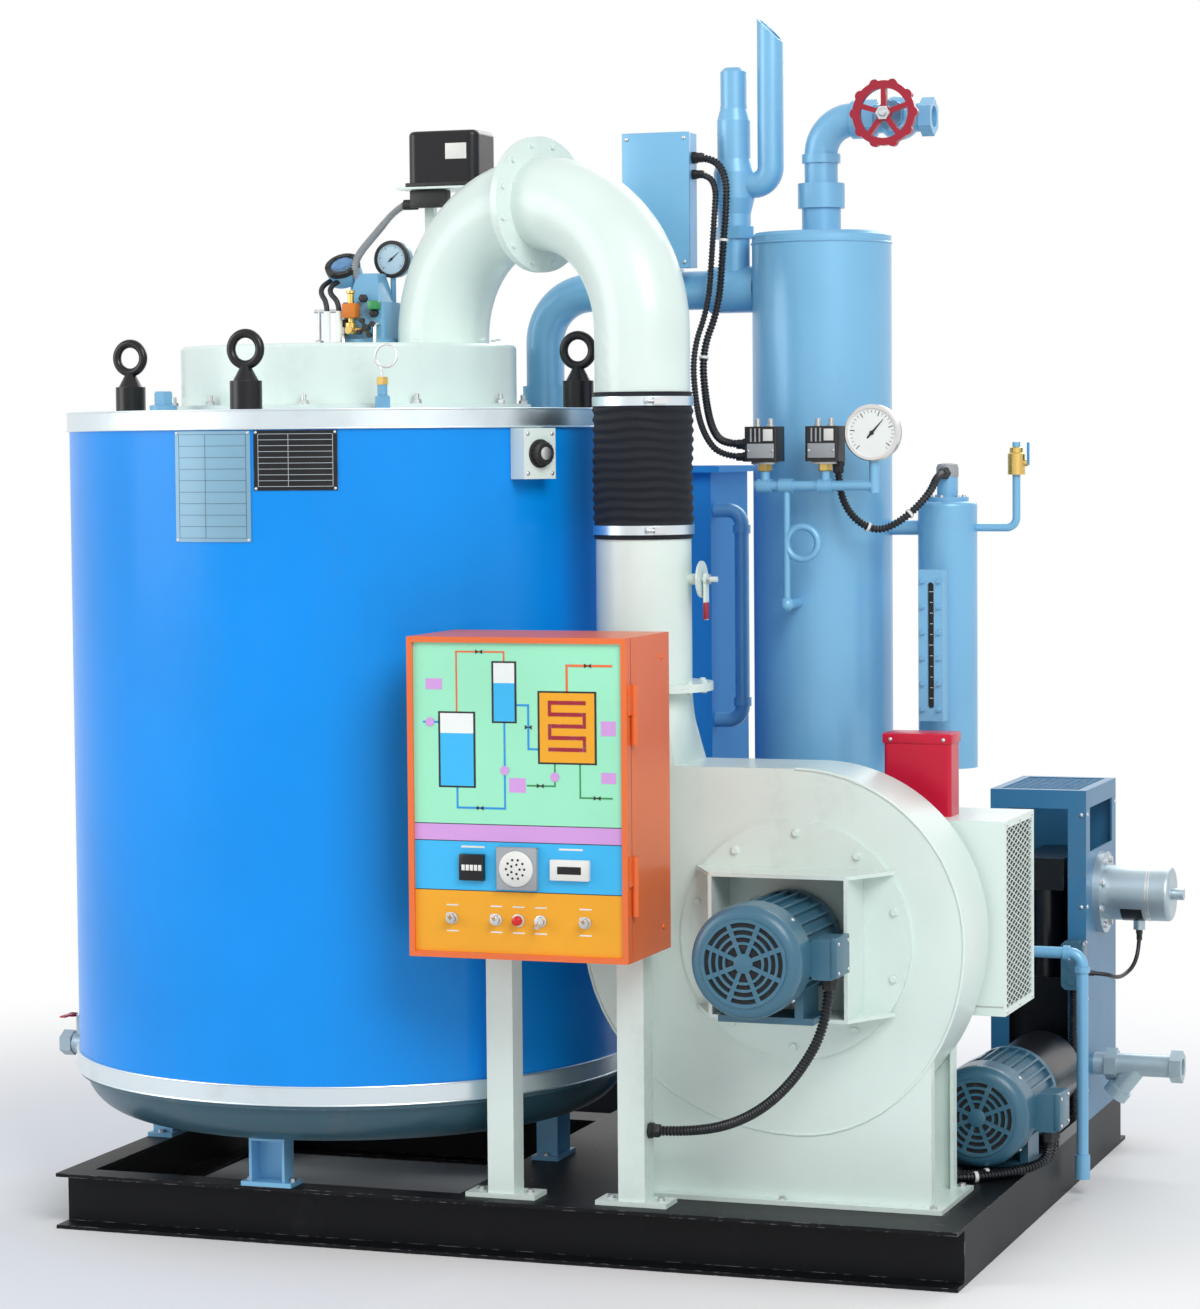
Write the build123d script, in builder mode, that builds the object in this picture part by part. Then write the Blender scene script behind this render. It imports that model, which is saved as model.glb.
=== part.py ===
from build123d import *
from math import cos, hypot, radians, sin, sqrt, tan
import os

os.makedirs("parts", exist_ok=True)

# Packaged steam boiler on a skid. Millimetres, X along the skid to the right, Y to the back,
# Z up, origin on the floor under the middle of the skid.

# Room left round each moving piece, and between skins that lie on each other
moving_gap = 5.0
skin_gap = 0.3

# Skid
rail_height = 125.0
rail_flange = 65.0
rail_web = 6.0
rail_lip = 8.0
cross_rail_width = 100.0
deck_thickness = 6.0

# Boiler body
jacket_radius = 640.0
jacket_wall = 6.0
jacket_low = 330.0
jacket_high = 1823.0
leg_inset = 156.0
leg_width = 85.0
leg_depth = 50.0
leg_wall = 6.0
leg_plate = 10.0
leg_plate_width = 63.0
leg_plate_length = 120.0
dish_low = 235.0
dish_wall = 10.0
dish_margin = 12.0
dish_inset = 14.0
dish_rim = 8.0
band_wall = 5.0
band_width = 44.0
top_plate = 6.0
eye_inset = 80.0
eye_base_radius = 35.0
eye_base_height = 62.0
eye_shoulder_radius = 28.0
eye_ring_radius = 34.0
eye_ring_bar = 10.0

# Windbox and burner
windbox_inset = 255.0
windbox_height = 135.0
windbox_flange = 33.0
windbox_flange_height = 12.0
windbox_round = 9.0
burner_offset = 58.0
burner_flange_radius = 68.0
burner_flange_height = 16.0
burner_body = 104.0
burner_body_height = 84.0
burner_round = 9.0
burner_cap_size = 82.0
burner_cap_height = 66.0
burner_cap_taper = 14.0
burner_stem_radius = 13.0
burner_stem_inset = 14.0
sight_head_radius = 40.0
sight_head_depth = 30.0
sight_head_rise = 170.0
sight_glass_radius = 27.0
sight_glass_height = 7.0
sight_tilt = 50.0
burner_gauge_radius = 42.0
burner_gauge_depth = 28.0
burner_gauge_rise = 200.0
burner_gauge_setback = 58.0
relay_length = 172.0
relay_width = 130.0
relay_height = 128.0
relay_rise = 61.0
relay_offset = 26.0
relay_round = 22.0
relay_crown = 11.0
relay_post = 22.0
relay_tray = 5.0
relay_tray_lip = 22.0

# Air duct from the fan to the windbox
duct_radius = 104.0
duct_wall = 4.0
duct_tail = 13.0
duct_drop = 129.0
duct_flange = 46.0
duct_flange_height = 9.0
riser_clearance = 46.0
riser_offset = 226.5
sleeve_length = 318.0
sleeve_wall = 3.2
sleeve_lap = 45.0
clamp_wall = 2.5
clamp_width = 20.0
clamp_inset = 10.0
damper_rise = 233.0
damper_boss_radius = 12.0
damper_stand_off = 26.0
damper_plate_radius = 40.0
damper_plate_thickness = 4.0
damper_pin_radius = 6.0
damper_pin_length = 34.0
damper_hub_radius = 14.4
damper_lever_length = 88.0
damper_lever_width = 22.0
damper_lever_thickness = 6.0
damper_lever_chamfer = 5.5

# Fan
fan_axis_height = 568.0
fan_width = 220.0
scroll_top = 364.0
scroll_right = 366.0
scroll_bottom = 420.0
scroll_left = 477.0
outlet_rise = 528.0
stand_left = 352.0
stand_right = 295.0
stand_wall = 8.0
stand_lip = 28.0
stand_foot = 30.0
stand_foot_height = 10.0
motor_plate_radius = 255.0
motor_plate_thickness = 10.0
bracket_width = 440.0
bracket_depth = 128.0
bracket_half_height = 150.0
bracket_wall = 8.0
bracket_chamfer = 70.0
bracket_web_x = 148.0
fan_motor_radius = 103.0
fan_motor_length = 344.0
motor_rib_height = 9.0
motor_rib_width = 5.0
motor_ribs = 28
motor_shaft_radius = 19.0
motor_seat = 22.0
motor_foot_spread = 72.0
motor_foot_height = 14.0
cowl_clearance = 6.0
cowl_length = 92.0
cowl_wall = 3.0
cowl_round = 26.0
cowl_spider = 9.0
inlet_box_offset = 48.0
inlet_box_width = 350.0
inlet_box_depth = 280.0
inlet_box_drop = 185.0
inlet_box_height = 422.0
inlet_box_overhang = 2.5
inlet_neck_radius = 175.0
inlet_neck_length = 20.0
inlet_plenum_depth = 215.0
inlet_screen_margin = 16.0
inlet_screen_depth = 8.0
ignition_width = 151.0
ignition_depth = 80.0
ignition_height = 180.0
ignition_offset = 138.0
ignition_setback = 110.0
ignition_round = 9.0

# Control cabinet
cabinet_width = 483.0
cabinet_height = 668.0
cabinet_rise = 560.0
cabinet_depth = 245.0
cabinet_wall = 3.0
cabinet_lip = 18.0
post_size = 60.0
post_spacing = 298.0
post_inset = 78.0
post_clearance = 5.0
post_lap = 615.0
foot_length = 160.0
foot_width = 76.0
foot_thickness = 10.0
door_depth = 26.0
door_sheet = 3.0
door_rim = 12.0
door_panel_recess = 8.0
hinge_pin_radius = 4.0
hinge_pin_clearance = 0.05
hinge_pin_short = 6.0
hinge_knuckle_radius = 7.5
hinge_knuckle_length = 62.0
hinge_leaf = 4.0
hinge_end_gap = 0.3
hinge_inset = 96.0
counter_size = 54.0
counter_offset = 100.0
buzzer_size = 88.0
buzzer_radius = 36.0
buzzer_height = 3.0
meter_width = 84.0
meter_height = 42.0
meter_offset = 116.0
instrument_depth = 12.0
instrument_rise = 190.0
switch_row_rise = 82.0
switch_pitch = 98.0
knob_radius = 9.0
knob_length = 14.0

# Steam side
separator_clearance = 9.0
separator_setback = 421.0
separator_radius = 159.0
separator_wall = 8.0
separator_stand = 125.0
separator_rise = 100.0
separator_head = 24.0
skirt_radius = 130.0
skirt_wall = 8.0
steam_pipe_radius = 44.5
steam_pipe_bend = 114.0
steam_pipe_rise = 271.0
steam_pipe_clearance = 7.0
socket_wall = 9.0
socket_length = 56.0
collar_wall = 6.0
collar_length = 20.0
safety_offset = 208.0
safety_nut = 80.0
safety_branch_radius = 35.5
safety_body_radius = 38.0
safety_body_rise = 172.0
safety_outlet_rise = 66.0
safety_height = 334.0
safety_shoulder = 60.0
safety_bonnet_height = 120.0
safety_cap_height = 90.0
safety_cap_chamfer = 9.0
vent_offset = 88.0
vent_radius = 30.0
vent_wall = 4.0
vent_straight = 1.0
vent_rise = 113.0
vent_cut = 87.0
outlet_bend = 76.0
outlet_rise_above_head = 254.0
outlet_pipe_radius = 38.0
valve_offset = 184.0
valve_half_length = 81.0
valve_body_radius = 50.0
valve_end_flats = 76.0
valve_end_length = 28.0
valve_bore_radius = 24.0
valve_bore_depth = 34.0
bonnet_radius = 33.0
bonnet_length = 82.0
bonnet_nut = 57.0
bonnet_nut_length = 14.0
stem_radius = 8.0
stem_length = 74.0
stem_show = 16.0
wheel_radius = 78.0
wheel_lobes = 10
wheel_lobe_radius = 12.0
wheel_rim_width = 20.0
wheel_thickness = 15.0
wheel_hub_radius = 18.0
wheel_spokes = 5
wheel_spoke_width = 12.0
wheel_bore_clearance = 0.05
box_width = 158.0
box_depth = 60.0
box_height = 306.0
box_offset = 159.0
box_set_forward = 61.0
box_rise = 50.0
box_bracket_width = 60.0
box_bracket_height = 250.0
box_bracket = 6.0

# Pressure manifold and level gear
manifold_reach = 251.0
manifold_drop = 548.0
manifold_left_reach = 85.0
manifold_right_reach = 190.0
manifold_radius = 11.0
manifold_fitting = 16.0
switch_width = 76.0
switch_depth = 64.0
switch_height = 78.0
switch_rise = 54.0
switch_spacing = 140.0
switch_offset = 62.0
switch_round = 5.5
gauge_radius = 62.0
gauge_depth = 36.0
gauge_rise = 116.0
gauge_round = 12.0
gauge_rim = 6.0
gauge_recess = 3.0
siphon_offset = 12.0
siphon_drop = 264.0
siphon_radius = 8.0
siphon_loop_radius = 36.0
siphon_loop_drop = 127.0
column_offset = 293.0
column_radius = 67.0
column_height = 602.0
column_drop = 40.0
column_cap = 10.0
column_stub_radius = 17.0
column_upper_stub_drop = 59.0
column_lower_stub_rise = 60.0
level_gauge_width = 56.0
level_gauge_depth = 44.0
level_gauge_rise = 115.0
level_gauge_height = 338.0
level_gauge_gap = 46.0
level_gauge_slot = 14.0
level_gauge_slot_depth = 10.0
level_gauge_slot_margin = 28.0
level_arm_radius = 11.0
electrode_plate_radius = 48.0
electrode_cover_height = 74.0
electrode_cover_radius = 24.0
cock_reach = 92.0
cock_rise = 133.0
cock_pipe_radius = 9.0
cock_bend = 22.5
cock_nut_drop = 64.0
cock_nut = 32.0
drain_rise = 440.0
drain_overhang = 42.5
drain_setback = 206.0
drain_low = 40.0
drain_radius = 13.5
drain_bend = 30.0
drain_collar_wall = 4.0
drain_collar_length = 14.0

# Economizer and feed water
economizer_tuck = 81.0
economizer_clearance = 13.4
economizer_width = 180.0
economizer_depth = 290.0
economizer_drop = 143.0
economizer_wall = 6.0
economizer_flange = 30.0
economizer_flange_height = 14.0
economizer_hole_radius = 7.0
flue_neck_rise = 190.0
flue_neck_height = 380.0
flue_neck_width = 160.0
feed_pipe_radius = 17.0
feed_pipe_bend = 34.0
feed_pipe_reach = 66.0
feed_pipe_inset = 30.0
feed_pipe_drop = 90.0
feed_pipe_length = 494.0
pump_motor_inset = 89.5
pump_motor_rise = 137.0
pump_motor_gap = 140.0
pump_motor_radius = 98.0
pump_motor_length = 330.0
pump_length = 400.0
pump_casing_radius = 92.0
pump_casing_gap = 60.0
pump_neck_radius = 38.0
pump_foot_height = 28.0
crankcase_clearance = 30.0
crankcase_height = 340.0
plunger_count = 3
plunger_radius = 38.0
plunger_height = 210.0
guard_width = 231.5
guard_depth = 350.0
guard_height = 793.0
guard_margin = 120.0
guard_wall = 4.0
guard_bar = 44.0
guard_rim = 22.0
sensor_setback = 160.0
sensor_rise = 534.0
sensor_flange_radius = 98.0
sensor_flange = 18.0
sensor_radius = 66.0
sensor_length = 160.0
sensor_round = 11.0
sensor_plug_radius = 14.0
sensor_plug_length = 26.0
sensor_gland_radius = 14.0
sensor_gland_length = 22.0
sensor_gland_reach = 78.0
strainer_setback = 100.0
strainer_rise = 127.0
strainer_length = 213.0
strainer_radius = 27.0
strainer_flats = 68.0
strainer_end_length = 28.0
strainer_bore_radius = 20.0
strainer_bore_depth = 26.0
strainer_lean = 52.0
strainer_basket_radius = 25.0
strainer_basket_length = 96.0
strainer_cap_radius = 31.0
strainer_cap_length = 24.0
terminal_width = 56.0
terminal_length = 92.0
terminal_height = 84.0
terminal_chamfer = 9.0
sensor_box = 50.0
sensor_box_rise = 324.0
sensor_box_height = 116.0

# Small jacket fittings
blowdown_rise = 20.0
blowdown_offset = 118.0
blowdown_radius = 24.0
blowdown_length = 66.0
blowdown_flats = 52.0
blowdown_nut_length = 28.0
blowdown_spindle_radius = 11.0
blowdown_spindle_inset = 22.0
thermostat_angle = -30.0
thermostat_width = 88.0
thermostat_height = 110.0
thermostat_depth = 46.0
thermostat_drop = 149.0
thermostat_knob_radius = 24.0
thermostat_knob_height = 16.0

# Conduits
conduit_radius = 11.0
thin_conduit_radius = 9.0
cable_radius = 5.0
bend_share = 0.45
probe_offset = 24.0
probe_edge = 2.0

# Footprint: the boiler, the riser beside it, the fan and its inlet box set the skid's length, and
# the boiler, the fan, the pump set and its guard set the depth
leg_circle = jacket_radius - leg_inset
riser_reach = jacket_radius + duct_radius + riser_clearance
fan_reach = riser_reach - duct_radius + scroll_left
corner_reach = rail_flange / 2 + leg_circle
skid_length = corner_reach + fan_reach + inlet_box_offset + inlet_box_width - inlet_box_overhang
fan_back_reach = fan_width / 2 - riser_offset
pump_reach = pump_motor_gap + pump_motor_length + pump_length
skid_depth = corner_reach + fan_back_reach + pump_reach + guard_depth + guard_margin
skid_front = -skid_depth / 2
skid_rear = skid_depth / 2
skid_side = skid_length / 2

# Boiler places
boiler_x = -skid_side + corner_reach
boiler_y = skid_front + corner_reach
cross_rail_x = boiler_x + leg_circle
leg_rail_y = boiler_y + leg_circle
band_inner = jacket_radius + skin_gap
band_outer = band_inner + band_wall
boiler_top_z = jacket_high + top_plate
eye_circle = jacket_radius - eye_inset
windbox_radius = jacket_radius - windbox_inset
windbox_outer = windbox_radius + windbox_flange
windbox_top = boiler_top_z + windbox_flange_height + windbox_height
boiler_axis = Axis((boiler_x, boiler_y, 0), (0, 0, 1))
boiler_plane = Plane(origin=(boiler_x, boiler_y, 0), x_dir=(1, 0, 0), z_dir=(0, -1, 0))
burner_x = boiler_x + burner_offset

# Fan and duct places
riser_x = boiler_x + riser_reach
riser_y = boiler_y - riser_offset
fan_x = boiler_x + fan_reach
fan_z = rail_height + fan_axis_height
fan_front = riser_y - fan_width / 2
fan_rear = riser_y + fan_width / 2
outlet_flange_z = fan_z + outlet_rise
inlet_x = boiler_x + windbox_radius - duct_radius - duct_flange
inlet_y = boiler_y
duct_span = hypot(riser_x - inlet_x, riser_y - inlet_y)
duct_bend = duct_span / 2 - duct_flange_height
duct_top = windbox_top + duct_bend + duct_tail
duct_dir = Vector((riser_x - inlet_x) / duct_span, (riser_y - inlet_y) / duct_span, 0)
duct_mid = Vector((inlet_x + riser_x) / 2, (inlet_y + riser_y) / 2, duct_top)
relay_low = duct_top + relay_rise
sleeve_high = duct_top - duct_bend - duct_drop
sleeve_low = sleeve_high - sleeve_length
damper_z = outlet_flange_z + damper_rise
inlet_box_left = fan_x + inlet_box_offset
inlet_box_right = inlet_box_left + inlet_box_width
inlet_box_front = fan_rear + inlet_neck_length
inlet_box_rear = inlet_box_front + inlet_box_depth
inlet_box_low = fan_z - inlet_box_drop
inlet_box_high = inlet_box_low + inlet_box_height
ignition_x = inlet_box_left + ignition_offset
ignition_y = inlet_box_front + ignition_setback

# Cabinet places: the left post stands clear of the bright band round the jacket
post_y = skid_front + post_inset
post_behind = boiler_y - post_y - post_size / 2
post_left = boiler_x + sqrt((band_outer + post_clearance) ** 2 - post_behind**2)
cabinet_x = post_left + (post_size + post_spacing) / 2
cabinet_low = rail_height + cabinet_rise
cabinet_high = cabinet_low + cabinet_height
cabinet_rear = post_y - post_size / 2
cabinet_front = cabinet_rear - cabinet_depth
cabinet_left = cabinet_x - cabinet_width / 2
cabinet_right = cabinet_x + cabinet_width / 2
post_high = cabinet_low + post_lap
door_rear = cabinet_front - moving_gap
door_front = door_rear - door_depth
hinge_x = cabinet_right + hinge_knuckle_radius
hinge_y = (cabinet_front + door_rear) / 2
hinge_bases = [cabinet_low + hinge_inset, cabinet_high - hinge_inset - 2 * hinge_knuckle_length]
instrument_z = cabinet_low + instrument_rise
switch_row_z = cabinet_low + switch_row_rise

# Steam places
separator_x = inlet_box_left - separator_radius - separator_clearance
separator_y = fan_rear + separator_setback
separator_low = rail_height + separator_stand
steam_pipe_z = boiler_top_z + steam_pipe_rise
separator_high = steam_pipe_z + separator_rise
separator_top = separator_high + separator_head
steam_start_reach = windbox_outer + steam_pipe_radius + socket_wall + steam_pipe_clearance
steam_pipe_start_x = boiler_x + sqrt(steam_start_reach**2 - (separator_y - boiler_y) ** 2)
safety_x = separator_x - safety_offset
safety_body_low = steam_pipe_z + safety_body_rise
safety_outlet_z = safety_body_low + safety_outlet_rise
safety_top = safety_body_low + safety_height
vent_x = safety_x + vent_offset
vent_start = safety_x + safety_body_radius + socket_wall + skin_gap
vent_bend = vent_x - vent_start - vent_straight
vent_top = safety_top + vent_rise
outlet_z = separator_top + outlet_rise_above_head
valve_x = separator_x + valve_offset
box_x = safety_x - box_offset
box_y = separator_y - box_set_forward
box_rear = box_y + box_depth / 2
box_low = steam_pipe_z + box_rise
manifold_y = separator_y - manifold_reach
manifold_z = separator_high - manifold_drop
manifold_left = separator_x - manifold_left_reach
manifold_right = separator_x + manifold_right_reach
switch_x = separator_x - switch_offset
switch_low = manifold_z + switch_rise
gauge_z = manifold_z + gauge_rise
siphon_x = separator_x - siphon_offset
siphon_z = manifold_z - siphon_drop
siphon_loop_z = manifold_z - siphon_loop_drop
column_x = separator_x + column_offset
column_high = manifold_z - column_drop
column_low = column_high - column_height
column_upper_stub_z = column_high - column_upper_stub_drop
column_lower_stub_z = column_low + column_lower_stub_rise
level_gauge_low = column_low + level_gauge_rise
level_gauge_high = level_gauge_low + level_gauge_height
cock_top = column_high + cock_rise

# Water places
economizer_left = boiler_x + jacket_radius - economizer_tuck
economizer_right = economizer_left + economizer_width
flange_reach = jacket_radius - economizer_tuck - economizer_flange
flange_setback = sqrt((jacket_radius + economizer_clearance) ** 2 - flange_reach**2)
economizer_front = boiler_y + flange_setback + economizer_flange
economizer_rear = economizer_front + economizer_depth
economizer_high = jacket_high - economizer_drop
flue_neck_low = jacket_low + flue_neck_rise
flue_neck_high = flue_neck_low + flue_neck_height
feed_pipe_x = economizer_right + feed_pipe_reach
feed_pipe_y = economizer_front + feed_pipe_inset
feed_pipe_high = economizer_high - feed_pipe_drop
feed_pipe_low = feed_pipe_high - feed_pipe_length
drain_z = rail_height + drain_rise
drain_x = skid_side + drain_overhang
drain_y = separator_y + drain_setback
pump_motor_x = skid_side - pump_motor_inset
pump_motor_z = rail_height + pump_motor_rise
pump_motor_front = fan_rear + pump_motor_gap
guard_left = skid_side - guard_width
guard_front = pump_motor_front + pump_motor_length + pump_length
guard_rear = guard_front + guard_depth
guard_high = rail_height + guard_height
sensor_y = guard_front + sensor_setback
sensor_z = rail_height + sensor_rise
strainer_y = guard_front + strainer_setback
strainer_z = rail_height + strainer_rise
sensor_box_low = rail_height + sensor_box_rise

# Jacket fitting places
blowdown_z = jacket_low + blowdown_rise
thermostat_low = jacket_high - thermostat_drop


def block(low, high, mode=Mode.ADD):
    """Box between two opposite corners."""
    size = [b - a for a, b in zip(low, high)]
    with Locations(tuple((a + b) / 2 for a, b in zip(low, high))):
        Box(*size, mode=mode)


def rod(start, direction, length, radius, mode=Mode.ADD):
    """Round bar from a start point along a direction."""
    with BuildSketch(Plane(origin=start, z_dir=direction)) as section:
        Circle(radius)
    extrude(section.sketch, amount=length, mode=mode)


def ring(start, direction, length, outer, inner):
    """Tube from a start point along a direction."""
    with BuildSketch(Plane(origin=start, z_dir=direction)) as section:
        Circle(outer)
        Circle(inner, mode=Mode.SUBTRACT)
    extrude(section.sketch, amount=length)


def hexagon(start, direction, length, flats):
    """Hexagonal bar measured across its flats."""
    with BuildSketch(Plane(origin=start, z_dir=direction)) as section:
        RegularPolygon(flats / 2, 6, major_radius=False)
    extrude(section.sketch, amount=length)


def pipe(points, radius, bend, bore=0):
    """Round pipe along straight runs joined by arcs of one radius."""
    with BuildLine() as route:
        FilletPolyline(*points, radius=bend)
    first = Vector(*points[1]) - Vector(*points[0])
    with BuildSketch(Plane(origin=points[0], z_dir=first)) as section:
        Circle(radius)
        if bore:
            Circle(bore, mode=Mode.SUBTRACT)
    sweep(section.sketch, path=route.line)


def channel(plane, length):
    """Rail of C section, its web on the plane's X origin and its lips along plane X."""
    with BuildSketch(plane) as section:
        Rectangle(rail_flange, rail_height, align=(Align.MIN, Align.MIN))
        with Locations((rail_web, rail_lip)):
            Rectangle(
                rail_flange - rail_web,
                rail_height - 2 * rail_lip,
                align=(Align.MIN, Align.MIN),
                mode=Mode.SUBTRACT,
            )
    extrude(section.sketch, amount=length)


def h_rail(plane, length):
    """Rail of H section, centred on the plane and standing on it."""
    with BuildSketch(plane) as section:
        Rectangle(cross_rail_width, rail_height, align=(Align.CENTER, Align.MIN))
        for side in (-1, 1):
            with Locations((side * (cross_rail_width + rail_web) / 4, rail_lip)):
                Rectangle(
                    (cross_rail_width - rail_web) / 2,
                    rail_height - 2 * rail_lip,
                    align=(Align.CENTER, Align.MIN),
                    mode=Mode.SUBTRACT,
                )
    extrude(section.sketch, amount=length)


def scroll_outline(grow):
    """Fan scroll outline about the fan axis, grown outward by a clearance."""
    left, right = scroll_left + grow, scroll_right + grow
    top, bottom = scroll_top + grow, scroll_bottom + grow
    Polyline((-left, 0), (-left, top), (0, top))
    EllipticalCenterArc((0, 0), right, top, start_angle=0, arc_size=90)
    EllipticalCenterArc((0, 0), right, bottom, start_angle=270, arc_size=90)
    EllipticalCenterArc((0, 0), left, bottom, start_angle=180, arc_size=90)


def conduit(points, radius):
    """Conduit along hand-set points, each corner rounded as far as its runs allow."""
    bends = []
    for before, corner, after in zip(points, points[1:], points[2:]):
        entry = corner - before
        leave = after - corner
        half_turn = radians(entry.get_angle(leave)) / 2
        bends.append(bend_share * min(entry.length, leave.length) / tan(half_turn))
    print("bend radii", [round(bend) for bend in bends])
    with BuildLine() as route:
        FilletPolyline(*points, radius=bends)
    with BuildSketch(Plane(origin=points[0], z_dir=points[1] - points[0])) as section:
        Circle(radius)
    sweep(section.sketch, path=route.line)


def save(builder, name):
    """Label a finished piece and write it."""
    builder.part.label = name
    export_step(builder.part, f"parts/{name}.step")


# Skid: front and rear channels open outward, side channels web outward
with BuildPart() as skid_front_rear_rails:
    channel(
        Plane(origin=(skid_side, skid_front + rail_flange, 0), x_dir=(0, -1, 0), z_dir=(-1, 0, 0)),
        skid_length,
    )
    channel(
        Plane(origin=(-skid_side, skid_rear - rail_flange, 0), x_dir=(0, 1, 0), z_dir=(1, 0, 0)),
        skid_length,
    )
save(skid_front_rear_rails, "skid_front_rear_rails")

inner_depth = skid_depth - 2 * rail_flange
with BuildPart() as skid_side_rails:
    channel(
        Plane(origin=(-skid_side, skid_rear - rail_flange, 0), x_dir=(1, 0, 0), z_dir=(0, -1, 0)),
        inner_depth,
    )
    channel(
        Plane(origin=(skid_side, skid_front + rail_flange, 0), x_dir=(-1, 0, 0), z_dir=(0, 1, 0)),
        inner_depth,
    )
save(skid_side_rails, "skid_side_rails")

with BuildPart() as skid_cross_rail:
    h_rail(
        Plane(origin=(cross_rail_x, skid_rear - rail_flange, 0), x_dir=(1, 0, 0), z_dir=(0, -1, 0)),
        inner_depth,
    )
save(skid_cross_rail, "skid_cross_rail")

leg_rail_start = -skid_side + rail_flange
leg_rail_end = cross_rail_x - cross_rail_width / 2
with BuildPart() as skid_leg_rail:
    h_rail(
        Plane(origin=(leg_rail_start, leg_rail_y, 0), x_dir=(0, 1, 0), z_dir=(1, 0, 0)),
        leg_rail_end - leg_rail_start,
    )
save(skid_leg_rail, "skid_leg_rail")

with BuildPart() as deck_plate:
    block(
        (cross_rail_x + cross_rail_width / 2, skid_front + rail_flange, rail_height - deck_thickness),
        (skid_side - rail_flange, skid_rear - rail_flange, rail_height),
    )
save(deck_plate, "deck_plate")

# Boiler legs: four outward channels on foot plates under the dished bottom
leg_height = dish_low - rail_height
with BuildPart() as boiler_legs:
    with Locations((boiler_x, boiler_y, rail_height)):
        with PolarLocations(leg_circle, 4):
            Box(
                leg_depth,
                leg_width,
                leg_height,
                align=(Align.CENTER, Align.CENTER, Align.MIN),
            )
            Box(
                leg_plate_width,
                leg_plate_length,
                leg_plate,
                align=(Align.CENTER, Align.CENTER, Align.MIN),
            )
        with PolarLocations(leg_circle + leg_wall / 2, 4):
            with Locations((0, 0, leg_plate)):
                Box(
                    leg_depth - leg_wall,
                    leg_width - 2 * leg_wall,
                    leg_height - 2 * leg_plate,
                    align=(Align.CENTER, Align.CENTER, Align.MIN),
                    mode=Mode.SUBTRACT,
                )
save(boiler_legs, "boiler_legs")

# Dished bottom with a rim that carries the jacket
dish_flat = leg_circle + leg_depth / 2 + dish_margin
dish_edge = jacket_radius - dish_inset
with BuildPart() as boiler_bottom:
    with BuildSketch(boiler_plane):
        with BuildLine():
            Polyline((0, dish_low + dish_wall), (0, dish_low), (dish_flat, dish_low))
            TangentArc((dish_flat, dish_low), (dish_edge, jacket_low - dish_rim), tangent=(1, 0))
            Polyline(
                (dish_edge, jacket_low - dish_rim),
                (jacket_radius, jacket_low - dish_rim),
                (jacket_radius, jacket_low),
                (dish_edge - dish_wall, jacket_low),
            )
            TangentArc(
                (dish_flat, dish_low + dish_wall),
                (dish_edge - dish_wall, jacket_low),
                tangent=(1, 0),
            )
            Line((dish_flat, dish_low + dish_wall), (0, dish_low + dish_wall))
        make_face()
    revolve(axis=boiler_axis)
save(boiler_bottom, "boiler_bottom")

with BuildPart() as boiler_jacket:
    ring(
        (boiler_x, boiler_y, jacket_low),
        (0, 0, 1),
        jacket_high - jacket_low,
        jacket_radius,
        jacket_radius - jacket_wall,
    )
save(boiler_jacket, "boiler_jacket")

with BuildPart() as boiler_bands:
    for band_low in (jacket_low, boiler_top_z - band_width):
        ring((boiler_x, boiler_y, band_low), (0, 0, 1), band_width, band_outer, band_inner)
save(boiler_bands, "boiler_bands")

with BuildPart() as boiler_top:
    rod((boiler_x, boiler_y, jacket_high), (0, 0, 1), top_plate, jacket_radius)
save(boiler_top, "boiler_top")

# Lifting eyes: forged ring on a shouldered base
with BuildPart() as lifting_eyes:
    with Locations((boiler_x, boiler_y, boiler_top_z)):
        with PolarLocations(eye_circle, 4, rotate=False):
            Cylinder(
                eye_base_radius,
                eye_base_height,
                align=(Align.CENTER, Align.CENTER, Align.MIN),
            )
            with Locations((0, 0, eye_base_height)):
                Cone(
                    eye_shoulder_radius,
                    eye_ring_bar,
                    eye_ring_radius,
                    align=(Align.CENTER, Align.CENTER, Align.MIN),
                )
            with Locations((0, 0, eye_base_height + 2 * eye_ring_radius)):
                Torus(eye_ring_radius, eye_ring_bar, rotation=(90, 0, 0))
save(lifting_eyes, "lifting_eyes")

# Windbox drum on its bolting flange
with BuildPart() as windbox:
    rod(
        (boiler_x, boiler_y, boiler_top_z),
        (0, 0, 1),
        windbox_flange_height,
        windbox_outer,
    )
    rod(
        (boiler_x, boiler_y, boiler_top_z + windbox_flange_height),
        (0, 0, 1),
        windbox_height,
        windbox_radius,
    )
    fillet(windbox.edges().group_by(Axis.Z)[-1], windbox_round)
save(windbox, "windbox")

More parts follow.
